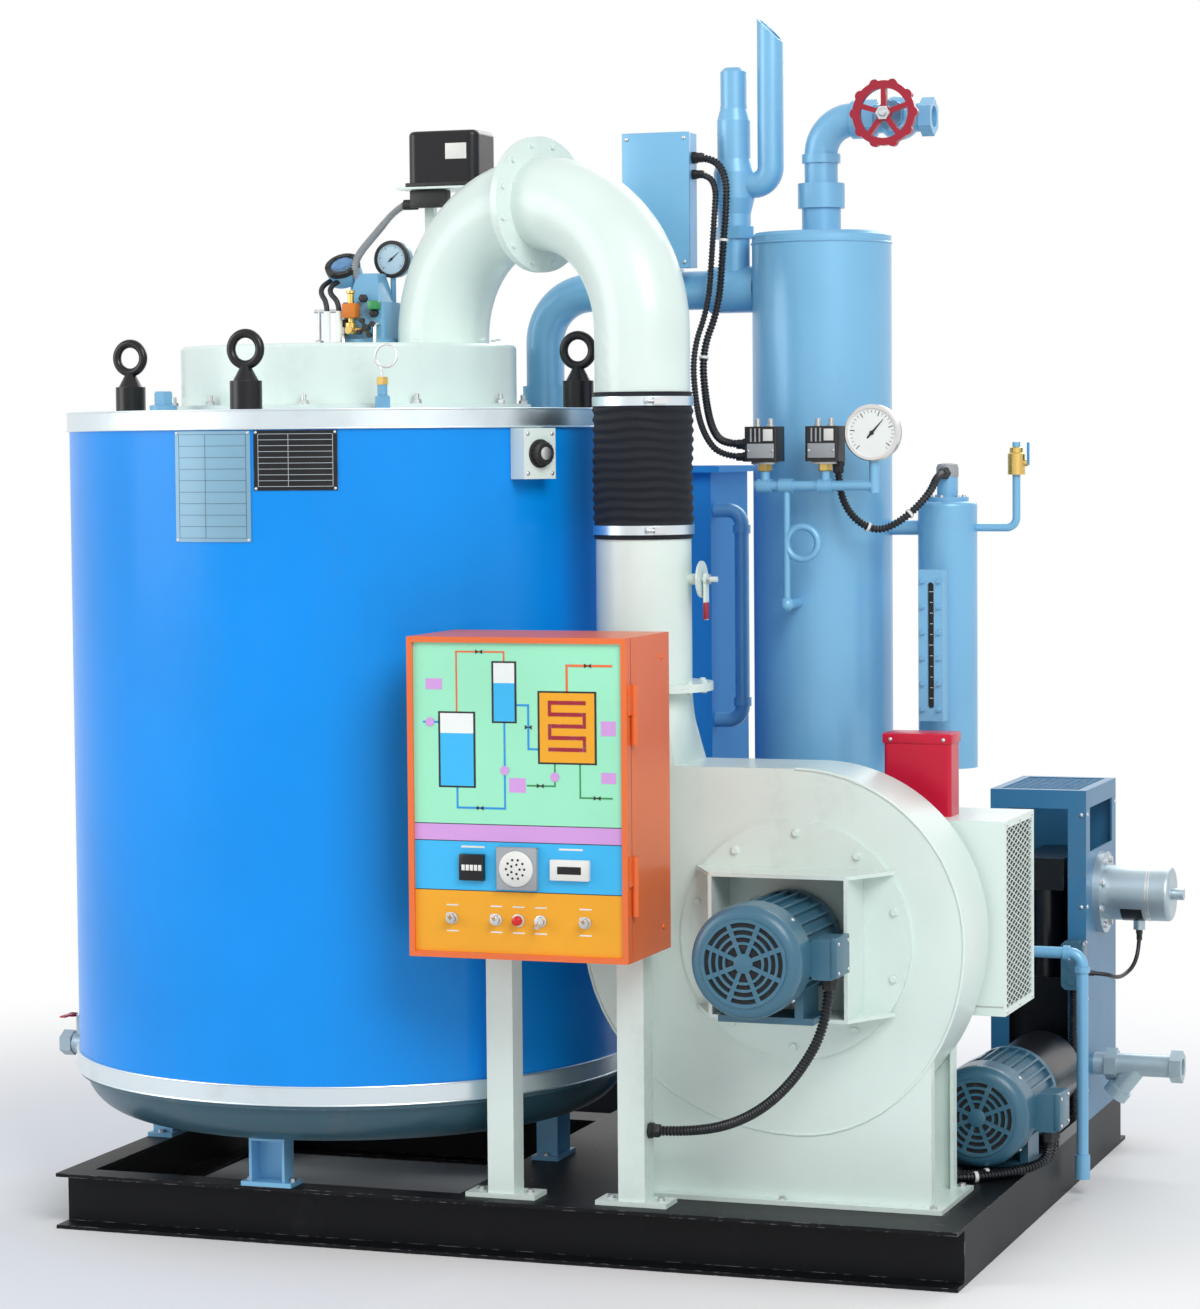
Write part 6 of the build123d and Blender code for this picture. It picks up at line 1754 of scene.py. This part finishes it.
    def strips(self) -> None:
        """Four coloured fields from top to bottom, with dark lines between them."""
        level, lines = self.high, Shape()
        for finish, share in self.shares:
            base = level - share * (self.high - self.low)
            low = self.on_face(self.left, base, self.film)
            strip = Shape().box(low, self.on_face(self.right, level, -0.0002))
            strip.piece(finish.value.name + "_field", finish, Body.DOOR, self.slot)
            if base > self.low + 0.01:
                self.patch(lines, (self.left, base - 0.0008), (self.right, base + 0.0008))
            level = base
        lines.piece("panel_lines", Finish.PLASTIC, Body.DOOR, self.slot)

    def spot(self, right: float, up: float) -> Pair:
        """Point of the mint field, from 0 to 1 along its width and height."""
        x = self.left + right * (self.right - self.left)
        return x, self.mint_low + up * (self.high - self.mint_low)

    def run(self, shape: Shape, points: Profile, wide: float) -> None:
        """Draw one line of level and upright stretches.

        Args:
            shape: Shape that takes the line.
            points: Its ends and corners, in shares of the mint field.
            wide: Width of the line in metres.
        """
        half = wide / 2
        for index, (first, second) in enumerate(zip(points, points[1:])):
            a, b = self.spot(*first), self.spot(*second)
            low = (min(a[0], b[0]) - half, min(a[1], b[1]) - half)
            high = (max(a[0], b[0]) + half, max(a[1], b[1]) + half)
            self.patch(shape, low, high, 0.0002 * (index % 2))

    def mimic(self) -> None:
        """Draw a generic flow scheme: two tanks, a coil, pumps, valves and lines."""
        for name, finish, lift, areas in self.areas:
            shape = Shape()
            for left, low, right, high in areas:
                self.patch(shape, self.spot(left, low), self.spot(right, high), lift)
            shape.piece(name, finish, Body.DOOR, self.slot)
        for name, finish, lines in self.runs:
            shape = Shape()
            for wide, points in lines:
                self.run(shape, points, wide)
            shape.piece(name, finish, Body.DOOR, self.slot)
        self.coil()
        marks, pumps = Shape(), Shape()
        wide, tall = self.valve
        for place in self.valves:
            at = self.on_face(*self.spot(*place), self.film + 0.0006)
            for side in (-wide, wide):
                marks.plate([(0.0, 0.0), (side, tall), (side, -tall)], at, X, Z, 0.0006)
        marks.piece("mimic_valves", Finish.PLASTIC, Body.DOOR, self.slot)
        for place in self.pumps:
            pumps.lathe(self.on_face(*self.spot(*place), 0.0010), FRONT, self.pump, 28)
        pumps.piece("mimic_pumps", Finish.LAVENDER, Body.DOOR, self.slot)

    def coil(self) -> None:
        """Draw the heated coil as rows joined at their ends."""
        coil = Shape()
        left, right = self.coil_span
        wide, tall, pitch = 0.015, 0.022, 0.064
        for row in range(self.coil_rows):
            up = 0.41 + pitch * row
            self.patch(coil, self.spot(left, up), self.spot(right, up + tall), 0.0008)
            if row < self.coil_rows - 1:
                side = left if row % 2 else right - wide
                self.patch(coil, self.spot(side, up), self.spot(side + wide, up + pitch + tall), 0.0011)
        coil.piece("mimic_coil", Finish.WHEEL, Body.DOOR, self.slot)

    def instruments(self) -> None:
        """Fronts of the counter, the buzzer and the meter."""
        grey, pale, dark, digits = (Shape() for _ in range(4))
        self.block(grey, 0.0, (0.0444, 0.0444), (-0.0002, 0.0128), 0.002)
        grey.piece("buzzer_plate", Finish.GREY_PLASTIC, Body.DOOR)
        pale.lathe(self.on_face(self.middle, self.row, 0.0128), FRONT, self.buzzer, 48)
        self.block(pale, self.meter, (0.0428, 0.0214), (-0.0002, 0.0130), 0.002)
        pale.piece("buzzer_and_meter", Finish.PALE_PLASTIC, Body.DOOR)
        # The buzzer's holes are gloss-black discs: painted shade in the holes.
        for lift, reach, count in ((0.0188, 0.020, 10), (0.0190, 0.010, 5)):
            for hole in ring(self.on_face(self.middle, self.row, lift), FRONT, reach, count):
                dark.lathe(hole, FRONT, self.hole, 12)
        self.block(dark, self.meter, (0.026, 0.008), (0.0126, 0.0136), 0.0005)
        self.block(dark, self.counter, (0.0275, 0.0275), (-0.0002, 0.0140), 0.003)
        dark.piece("instrument_windows", Finish.GLOSS_BLACK, Body.DOOR, "instrument_plastic")
        for step in range(5):
            self.block(digits, -0.1169 + 0.0092 * step, (0.0036, 0.006), (0.0138, 0.0146), 0.0003)
        digits.piece("counter_wheels", Finish.PALE_PLASTIC, Body.DOOR)

    def switches(self) -> None:
        """Toggle switches, the red lamp among them and bare strips above and below."""
        levers, collars, strips = (Shape() for _ in range(3))
        for place in (-1.5, -0.5, 0.5, 1.5):
            spot = self.on_face(self.middle + place * self.key_pitch, self.keys, 0.0006)
            collars.lathe(spot, FRONT, self.collar, 24)
            start = spot + FRONT * 0.012
            end = spot + FRONT * 0.026 + Z * (-0.011 if place == 0.5 else 0.011)
            levers.sweep([start, (start + end) / 2, end], [0.0034, 0.0040, 0.0050])
        levers.piece("toggle_levers", Finish.TUBE, Body.DOOR)
        spot = self.on_face(self.middle, self.keys, 0.0006)
        collars.lathe(spot, FRONT, self.lamp_collar, 28).piece("toggle_collars", Finish.ZINC, Body.DOOR)
        Shape().lathe(spot, FRONT, self.lamp, 32).piece("red_lamp", Finish.RED_LAMP, Body.DOOR)
        marks = [
            (self.middle + place * self.key_pitch, self.keys + up, 0.013, 0.003)
            for place in (-1.5, -0.5, 0.0, 0.5, 1.5)
            for up in (0.026, -0.028)
        ]
        for right in (self.counter, self.meter):
            marks.append((self.middle + right, self.row + 0.040, 0.026, 0.004))
        for x, z, half, tall in marks:
            self.patch(strips, (x - half, z), (x + half, z + tall))
        strips.piece("panel_bare_marks", Finish.PALE_PLASTIC, Body.DOOR, self.slot)

    def hinges(self) -> None:
        """Screws of the hinges, and screws on the cabinet's sides."""
        low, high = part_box("control_cabinet")
        levels = [base + rise for base in (0.781, 1.133) for rise in (0.012, 0.050)]
        Shape().screws([0.4095], [-1.0635], levels, X, 0.0036).piece("hinge_screws", Finish.WHITE)
        levels = (low.z + 0.050, high.z - 0.050)
        plugs = Shape().screws([high.x - 0.015], [high.y - 0.050], levels, X, 0.0060)
        plugs.screws([low.x], [high.y - 0.050], levels, -X, 0.0060)
        plugs.piece("cabinet_screws", Finish.ORANGE)


@dataclass
class SteamDress:
    """Dials, screws and seams on the steam side."""

    weld: float = 0.0042
    gauge_radius: float = 0.062
    switch_width: float = 0.076
    switch_middle: float = -0.300
    adjuster: Profile = ((0.009, 0.0), (0.009, 0.004), (0.006, 0.005), (0.006, 0.016), (0.004, 0.018))
    switch_nut: Profile = ((0.0165, 0.0), (0.0165, 0.014), (0.0145, 0.016))
    stem: Profile = ((0.0085, 0.0), (0.0085, 0.015), (0.006, 0.0172))
    seam_angle: float = 100.0
    outlet_weld: Pair = (0.050, 0.005)
    safety_axis: float = 0.047
    safety_rings: Pairs = ((2.452, 0.0385), (2.512, 0.031), (2.585, 0.026))

    def build(self) -> None:
        """Add the steam side's small parts."""
        low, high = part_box("pressure_gauge")
        middle = (low + high) / 2
        middle.y = low.y - 0.0005
        dial = Dial(self.gauge_radius, 0.0545, Finish.TUBE, Finish.WHITE)
        dial.build("pressure_gauge", middle, 48.0)
        self.switches()
        self.junction()
        self.separator()
        self.handwheel()
        self.rings()

    def switches(self) -> None:
        """Window, scale, adjusting screws, foot and nut of both pressure switches."""
        plates, screws, scales, feet, nuts = (Shape() for _ in range(5))
        low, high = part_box("pressure_switches")
        front, foot = low.y, low.z
        middle = self.switch_middle
        for left in (low.x, high.x - self.switch_width):
            near = (left + 0.007, front - 0.0022, foot + 0.008)
            plates.box(near, (left + 0.069, front + 0.001, foot + 0.040), 0.001)
            for x in (left + 0.016, left + 0.026, left + 0.036):
                plates.bar((x, front - 0.0016, foot + 0.044), (x, front - 0.0016, foot + 0.074), 0.0022, 10)
            near = (left + 0.044, front - 0.0008, foot + 0.046)
            scales.box(near, (left + 0.066, front + 0.0004, foot + 0.072), 0.0004)
            for x in (left + 0.022, left + 0.052):
                screws.lathe((x, middle, high.z), Z, self.adjuster, 18)
            columns = (left + 0.010, left + 0.066)
            screws.screws(columns, [front - 0.0022], [foot + 0.024], FRONT, 0.0032)
            near = (left + 0.012, middle - 0.018, foot - 0.006)
            feet.box(near, (left + 0.064, middle + 0.018, foot), 0.001)
            nuts.lathe((left + self.switch_width / 2, middle, foot - 0.006), -Z, self.switch_nut, 6)
        plates.piece("switch_plates", Finish.GREY_PLASTIC)
        scales.piece("switch_scales", Finish.PALE_PLASTIC)
        screws.piece("switch_screws", Finish.ZINC)
        feet.piece("switch_feet", Finish.ZINC)
        nuts.piece("switch_nuts", Finish.BRASS)

    def junction(self) -> None:
        """Lid and screws of the tall junction box."""
        low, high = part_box("junction_box")
        front = low.y - 0.004
        near = (low.x - 0.002, front, low.z - 0.002)
        lid = Shape().box(near, (high.x + 0.002, low.y + 0.010, high.z + 0.002), 0.002)
        lid.piece("junction_lid", Finish.GREY_BLUE)
        columns, levels = (low.x + 0.010, high.x - 0.010), (low.z + 0.012, high.z - 0.012)
        Shape().screws(columns, [front], levels, FRONT, 0.0048).piece("junction_screws", Finish.ZINC)

    def separator(self) -> None:
        """Weld beads round the separator and its outlet, and a seam down its back."""
        low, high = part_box("separator_shell")
        radius = half_width("separator_shell")
        welds = Shape()
        for height in (low.z, high.z):
            profile = bead(radius - 0.0012, self.weld, 0.7)
            welds.lathe(plan("separator_shell", height), Z, profile, 96, True)
        top = max(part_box("separator_heads")[1].z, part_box("outlet_pipe")[0].z)
        welds.lathe(plan("separator_shell", top), Z, bead(*self.outlet_weld), 48, True)
        start = plan("separator_shell", low.z) + heading(self.seam_angle) * radius
        welds.bar(start, start + Z * (high.z - low.z), self.weld, 8)
        welds.piece("separator_welds", Finish.GREY_BLUE)

    def handwheel(self) -> None:
        """Hub nut of the handwheel and the bright stem end."""
        low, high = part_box("handwheel")
        hub = Vector(((low.x + high.x) / 2, low.y, (low.z + high.z) / 2))
        nut = Shape().tube(hub, hub + FRONT * 0.008, 0.0165, 0.0096, 6)
        nut.piece("wheel_nut", Finish.ZINC, Body.WHEEL)
        Shape().lathe(hub + FRONT * 0.0002, FRONT, self.stem, 24).piece("stem_end", Finish.ZINC)

    def rings(self) -> None:
        """Rings of the safety valve."""
        low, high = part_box("safety_valve")
        rings = Shape()
        for height, reach in self.safety_rings:
            spot = (low.x + self.safety_axis, (low.y + high.y) / 2, height)
            rings.lathe(spot, Z, [(reach, 0.0), (reach, 0.006), (reach - 0.006, 0.008)])
        rings.piece("safety_rings", Finish.GREY_BLUE)


@dataclass
class LevelDress:
    """Gauge glass, bolts and cocks on the water level column."""

    bolt_rows: int = 6
    bolt: float = 0.0062
    bolt_side: float = 0.0185
    bolt_margin: float = 0.026
    stud: float = 0.011
    line_pitch: float = 0.0238
    lines: int = 11
    cock: Triple = (0.974, -0.049, 1.672)
    cock_body: Profile = ((0.0195, 0.0), (0.0195, 0.046), (0.0150, 0.050), (0.0150, 0.060), (0.0110, 0.062))
    electrode: Triple = (0.815, -0.049, 1.622)
    cap: Profile = ((0.0252, 0.046), (0.0252, 0.066), (0.022, 0.074), (0.008, 0.077))

    def build(self) -> None:
        """Add the level gear's small parts."""
        self.gauge()
        self.vent()
        self.electrode_head()

    def gauge(self) -> None:
        """Bolts, glass and scale of the level gauge."""
        low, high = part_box("level_gauge")
        middle, front = (low.x + high.x) / 2, low.y
        pitch = (high.z - low.z - 2 * self.bolt_margin) / (self.bolt_rows - 1)
        bolts, lines = Shape(), Shape()
        for row in range(self.bolt_rows):
            for side in (-self.bolt_side, self.bolt_side):
                place = Vector((middle + side, front, low.z + self.bolt_margin + row * pitch))
                bolts.bolt(place, FRONT, self.bolt).bar(place, place + FRONT * self.stud, 0.0034, 10)
        bolts.piece("gauge_bolts", Finish.GREY_BLUE)
        near = (middle - 0.0068, front + 0.0078, low.z + 0.030)
        glass = Shape().box(near, (middle + 0.0068, front + 0.0098, high.z - 0.030))
        glass.piece("gauge_water", Finish.GLOSS_BLACK)
        for step in range(self.lines):
            z = low.z + 0.050 + step * self.line_pitch
            wide = 0.0032 if step % 5 else 0.005
            lines.box((middle - wide, front + 0.0070, z), (middle + wide, front + 0.0079, z + 0.0014))
        lines.piece("gauge_lines", Finish.PALE_PLASTIC)

    def vent(self) -> None:
        """Brass vent cock with its blue lever."""
        base = Vector(self.cock)
        stem = base + Z * 0.026
        tip = stem + X * 0.026
        body = Shape().lathe(base, Z, self.cock_body, 28).bar(stem, tip, 0.0075, 16)
        body.piece("vent_cock", Finish.BRASS)
        far = tip + Vector((0.003, 0.006, 0.046))
        lever = Shape().box(tip - Vector((0.001, 0.006, 0.005)), far, 0.0012)
        lever.piece("vent_cock_lever", Finish.CASING)

    def electrode_head(self) -> None:
        """Bolts and cap of the electrode plate."""
        bolts = Shape()
        for place in ring(self.electrode, Z, 0.038, 6, 0.4):
            bolts.bolt(place, Z, 0.0055)
        bolts.piece("electrode_bolts", Finish.ZINC)
        Shape().lathe(self.electrode, Z, self.cap).piece("electrode_cap", Finish.GREY_PLASTIC)


@dataclass
class PumpDress:
    """Screen, bolts, knockouts and leads of the pump set."""

    strand: float = 0.0013
    cell: Pair = (0.040, 0.016)
    screen_margin: float = 0.020
    screw: float = 0.0052
    screw_inset: float = 0.012
    screw_levels: tuple[float, ...] = (0.200, 0.420, 0.640, 0.860)
    sensor_plate: Area = (-150.0, -96.0, -0.026, 0.026)
    knockouts: tuple[float, ...] = (0.470, 0.507, 0.544)
    knockout_place: Pair = (1.0125, 0.3502)
    lid: tuple[Triple, Triple] = ((1.0370, 0.3505, 0.4495), (1.0398, 0.3995, 0.5645))
    lead: float = 0.0105
    pitch: float = 0.0080
    tie_place: float = 0.36
    tie: Area = (0.0100, -0.004, 0.0124, 0.004)
    deck: float = 0.125
    gland: Profile = ((0.0165, 0.0), (0.0165, 0.010), (0.0140, 0.012), (0.0140, 0.022), (0.0115, 0.024))
    drop: Route = (
        (1.0125, 0.375, 0.449), (1.0125, 0.375, 0.400), (1.0110, 0.374, 0.330), (1.0135, 0.374, 0.250),
        (1.0120, 0.375, 0.180), (1.0125, 0.375, 0.126),
    )
    outer_lead: Route = (
        (1.0833, -0.214, 0.200), (1.0833, -0.214, 0.176), (1.074, -0.246, 0.150), (1.015, -0.308, 0.138),
        (0.930, -0.384, 0.1365), (0.800, -0.404, 0.1365), (0.716, -0.404, 0.140), (0.690, -0.404, 0.165),
        (0.664, -0.404, 0.170), (0.655, -0.404, 0.150), (0.655, -0.404, 0.126),
    )
    inner_lead: Route = (
        (1.0833, -0.170, 0.200), (1.0833, -0.170, 0.174), (1.079, -0.196, 0.150), (1.030, -0.262, 0.138),
        (0.944, -0.344, 0.1365), (0.830, -0.374, 0.1365), (0.770, -0.374, 0.140), (0.740, -0.373, 0.165),
        (0.712, -0.372, 0.170), (0.702, -0.372, 0.150), (0.702, -0.372, 0.126),
    )

    def build(self) -> None:
        """Add the pump set's small parts."""
        self.guard()
        self.sensor()
        self.box()
        self.leads()

    def guard(self) -> None:
        """Screen and screws of the pump guard."""
        low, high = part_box("pump_guard")
        margin, inset = self.screen_margin, self.screw_inset
        corner = Vector((margin, margin))
        place = Matrix.Translation((0.0, 0.0, high.z - 0.003))
        screen = Shape().expanded(low.xy + corner, high.xy - corner, place, self.cell, self.strand)
        screen.piece("guard_screen", Finish.GUARD)
        rows, columns = (low.y + inset, high.y - inset), (low.x + inset, high.x - inset)
        screws = Shape().screws([high.x], rows, self.screw_levels, X, self.screw)
        screws.screws(columns, [low.y], self.screw_levels, FRONT, self.screw)
        screws.piece("guard_screws", Finish.ZINC)

    def sensor(self) -> None:
        """Flange bolts, seam and bare plate of the flow sensor."""
        low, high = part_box("flow_sensor")
        axis = Vector((low.x, (low.y + high.y) / 2, (low.z + high.z) / 2))
        bolts, seam = Shape(), Shape()
        for place in ring(axis + X * 0.018, X, 0.082, 8, 0.39):
            bolts.bolt(place, X, 0.0078)
        bolts.piece("sensor_bolts", Finish.ZINC)
        for reach in (0.120, 0.126):
            seam.tube(axis + X * reach, axis + X * (reach + 0.003), 0.0672, 0.0650, 64)
        seam.piece("sensor_seam", Finish.TUBE)
        plate = Shape().bent(axis + X * 0.086, 0.0661, 0.0010, self.sensor_plate, 12, (Y, Z, X))
        plate.piece("sensor_plate", Finish.GLOSS_BLACK)

    def box(self) -> None:
        """Knockouts, lid, screws and lead of the sensor's terminal box."""
        knock = Shape()
        for z in self.knockouts:
            place = Vector((*self.knockout_place, z))
            knock.tube(place, place + FRONT * 0.0020, 0.0125, 0.0105, 24)
            knock.lathe(place, FRONT, [(0.0100, 0.0), (0.0100, 0.0009)], 24)
        knock.box(*self.lid, 0.001).piece("terminal_lid", Finish.MOTOR)
        face = self.lid[1][0]
        screws = Shape().screws([face], (0.359, 0.391), (0.456, 0.558), X, 0.0038)
        screws.piece("terminal_screws", Finish.ZINC)
        drop = Shape().corrugated(self.drop, self.lead, self.pitch)
        drop.piece("terminal_drop", Finish.RUBBER)

    def leads(self) -> None:
        """Run two corrugated leads from the pump motor's box over the deck and down into it."""
        ties, glands = Shape(), Shape()
        for name, route in (("outer", self.outer_lead), ("inner", self.inner_lead)):
            lead = Shape().corrugated(route, self.lead, self.pitch)
            lead.piece("pump_lead_" + name, Finish.RUBBER)
            line = smooth_line(route)
            index = int(self.tie_place * len(line))
            ties.lathe(line[index], line[index + 1] - line[index - 1], rectangle(*self.tie), 24, True)
        for route in (self.outer_lead, self.inner_lead, self.drop):
            glands.lathe((*route[-1][:2], self.deck), Z, self.gland, 6)
        ties.piece("lead_ties", Finish.PALE_PLASTIC, slot="conduit_black")
        glands.piece("deck_glands", Finish.PLASTIC, slot="conduit_black")


@dataclass
class Conduits:
    """Conduits along the routes of their plain solids, with glands and ties."""

    routes: dict[str, tuple[float, Route]] = field(
        default_factory=lambda: {
            "motor_conduit": (11.0, (
                (782.3, -928, 651), (782.3, -928, 561), (704.3, -908, 431), (593, -854, 337),
                (453, -792, 285), (343, -792, 285),
            )),
            "box_conduit": (9.0, (
                (234, -110, 2400), (284, -110, 2400), (318, -124, 2356), (322, -134, 2290),
                (314, -140, 2180), (304, -140, 2055), (272, -170, 1955), (294, -208, 1835),
                (330, -266, 1769), (372, -300, 1745), (422, -300, 1745),
            )),
            "second_conduit": (7.5, (
                (234, -110, 2362), (270, -112, 2362), (298, -134, 2330), (301, -158, 2270),
                (296, -163, 2180), (287, -163, 2060), (256, -190, 1955), (276, -228, 1835),
                (312, -280, 1765), (360, -302, 1717), (422, -302, 1717),
            )),
            "electrode_conduit": (9.0, (
                (624, -279, 1706), (624, -279, 1644), (648, -263, 1582), (698, -229, 1546),
                (755, -209, 1574), (805, -173, 1630), (815, -133, 1676), (815, -73, 1676),
            )),
            "sensor_conduit": (5.0, (
                (1133.5, 560, 571), (1133.5, 560, 531), (1127.5, 530, 487), (1109.5, 487, 467.7),
                (1103.5, 427, 471.7), (1089.5, 375, 487.7), (1037.5, 375, 487.7),
            )),
        }
    )
    millimetre: float = 0.001
    pitch: float = 0.0080
    smooth: tuple[str, ...] = ("sensor_conduit",)
    added: tuple[str, ...] = ("second_conduit",)
    tied: tuple[str, ...] = ("box_conduit", "electrode_conduit")
    tie_places: Pair = (0.36, 0.62)
    tie: Profile = ((1.22, -0.003), (1.22, 0.003), (0.95, 0.003), (0.95, -0.003))
    gland: Profile = ((1.65, 0.0005), (1.65, 0.010), (1.38, 0.012), (1.38, 0.024), (1.12, 0.027))

    def build(self) -> None:
        """Build every conduit with the glands at its ends."""
        glands, ties = Shape(), Shape()
        for node, (radius, route) in self.routes.items():
            points = [Vector(point) * self.millimetre for point in route]
            size = radius * self.millimetre
            line = smooth_line(points)
            tube = Shape()
            if node in self.smooth:
                tube.sweep(line, size, 16)
            else:
                tube.corrugated(points, size, self.pitch)
            made = tube.piece(node + "_hose", Finish.RUBBER)
            if node not in self.added:
                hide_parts(node)
            gland = [(share * size, height) for share, height in self.gland]
            for end, inner in ((points[0], points[1]), (points[-1], points[-2])):
                glands.lathe(end, inner - end, gland, 6)
            if node in self.tied:
                tie = [(share * size, height) for share, height in self.tie]
                for index in (int(place * len(line)) for place in self.tie_places):
                    ties.lathe(line[index], line[index + 1] - line[index - 1], tie, 24, True)
        glands.piece("conduit_glands", Finish.PLASTIC, slot="conduit_black")
        ties.piece("conduit_ties", Finish.PALE_PLASTIC, slot="conduit_black")


def main() -> None:
    """Build the whole scene."""
    logging.basicConfig(level=logging.INFO, format="%(name)s %(message)s")
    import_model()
    bpy.context.scene.view_settings.view_transform = "Standard"
    Studio().build()
    Plant().dress()
    assemblies = (BoilerDress, BurnerDress, DuctDress, FanDress, CabinetDress, SteamDress, LevelDress)
    for assembly in (*assemblies, PumpDress, Conduits):
        log.info("building %s", assembly.__name__)
        assembly().build()


if __name__ == "__main__":
    main()
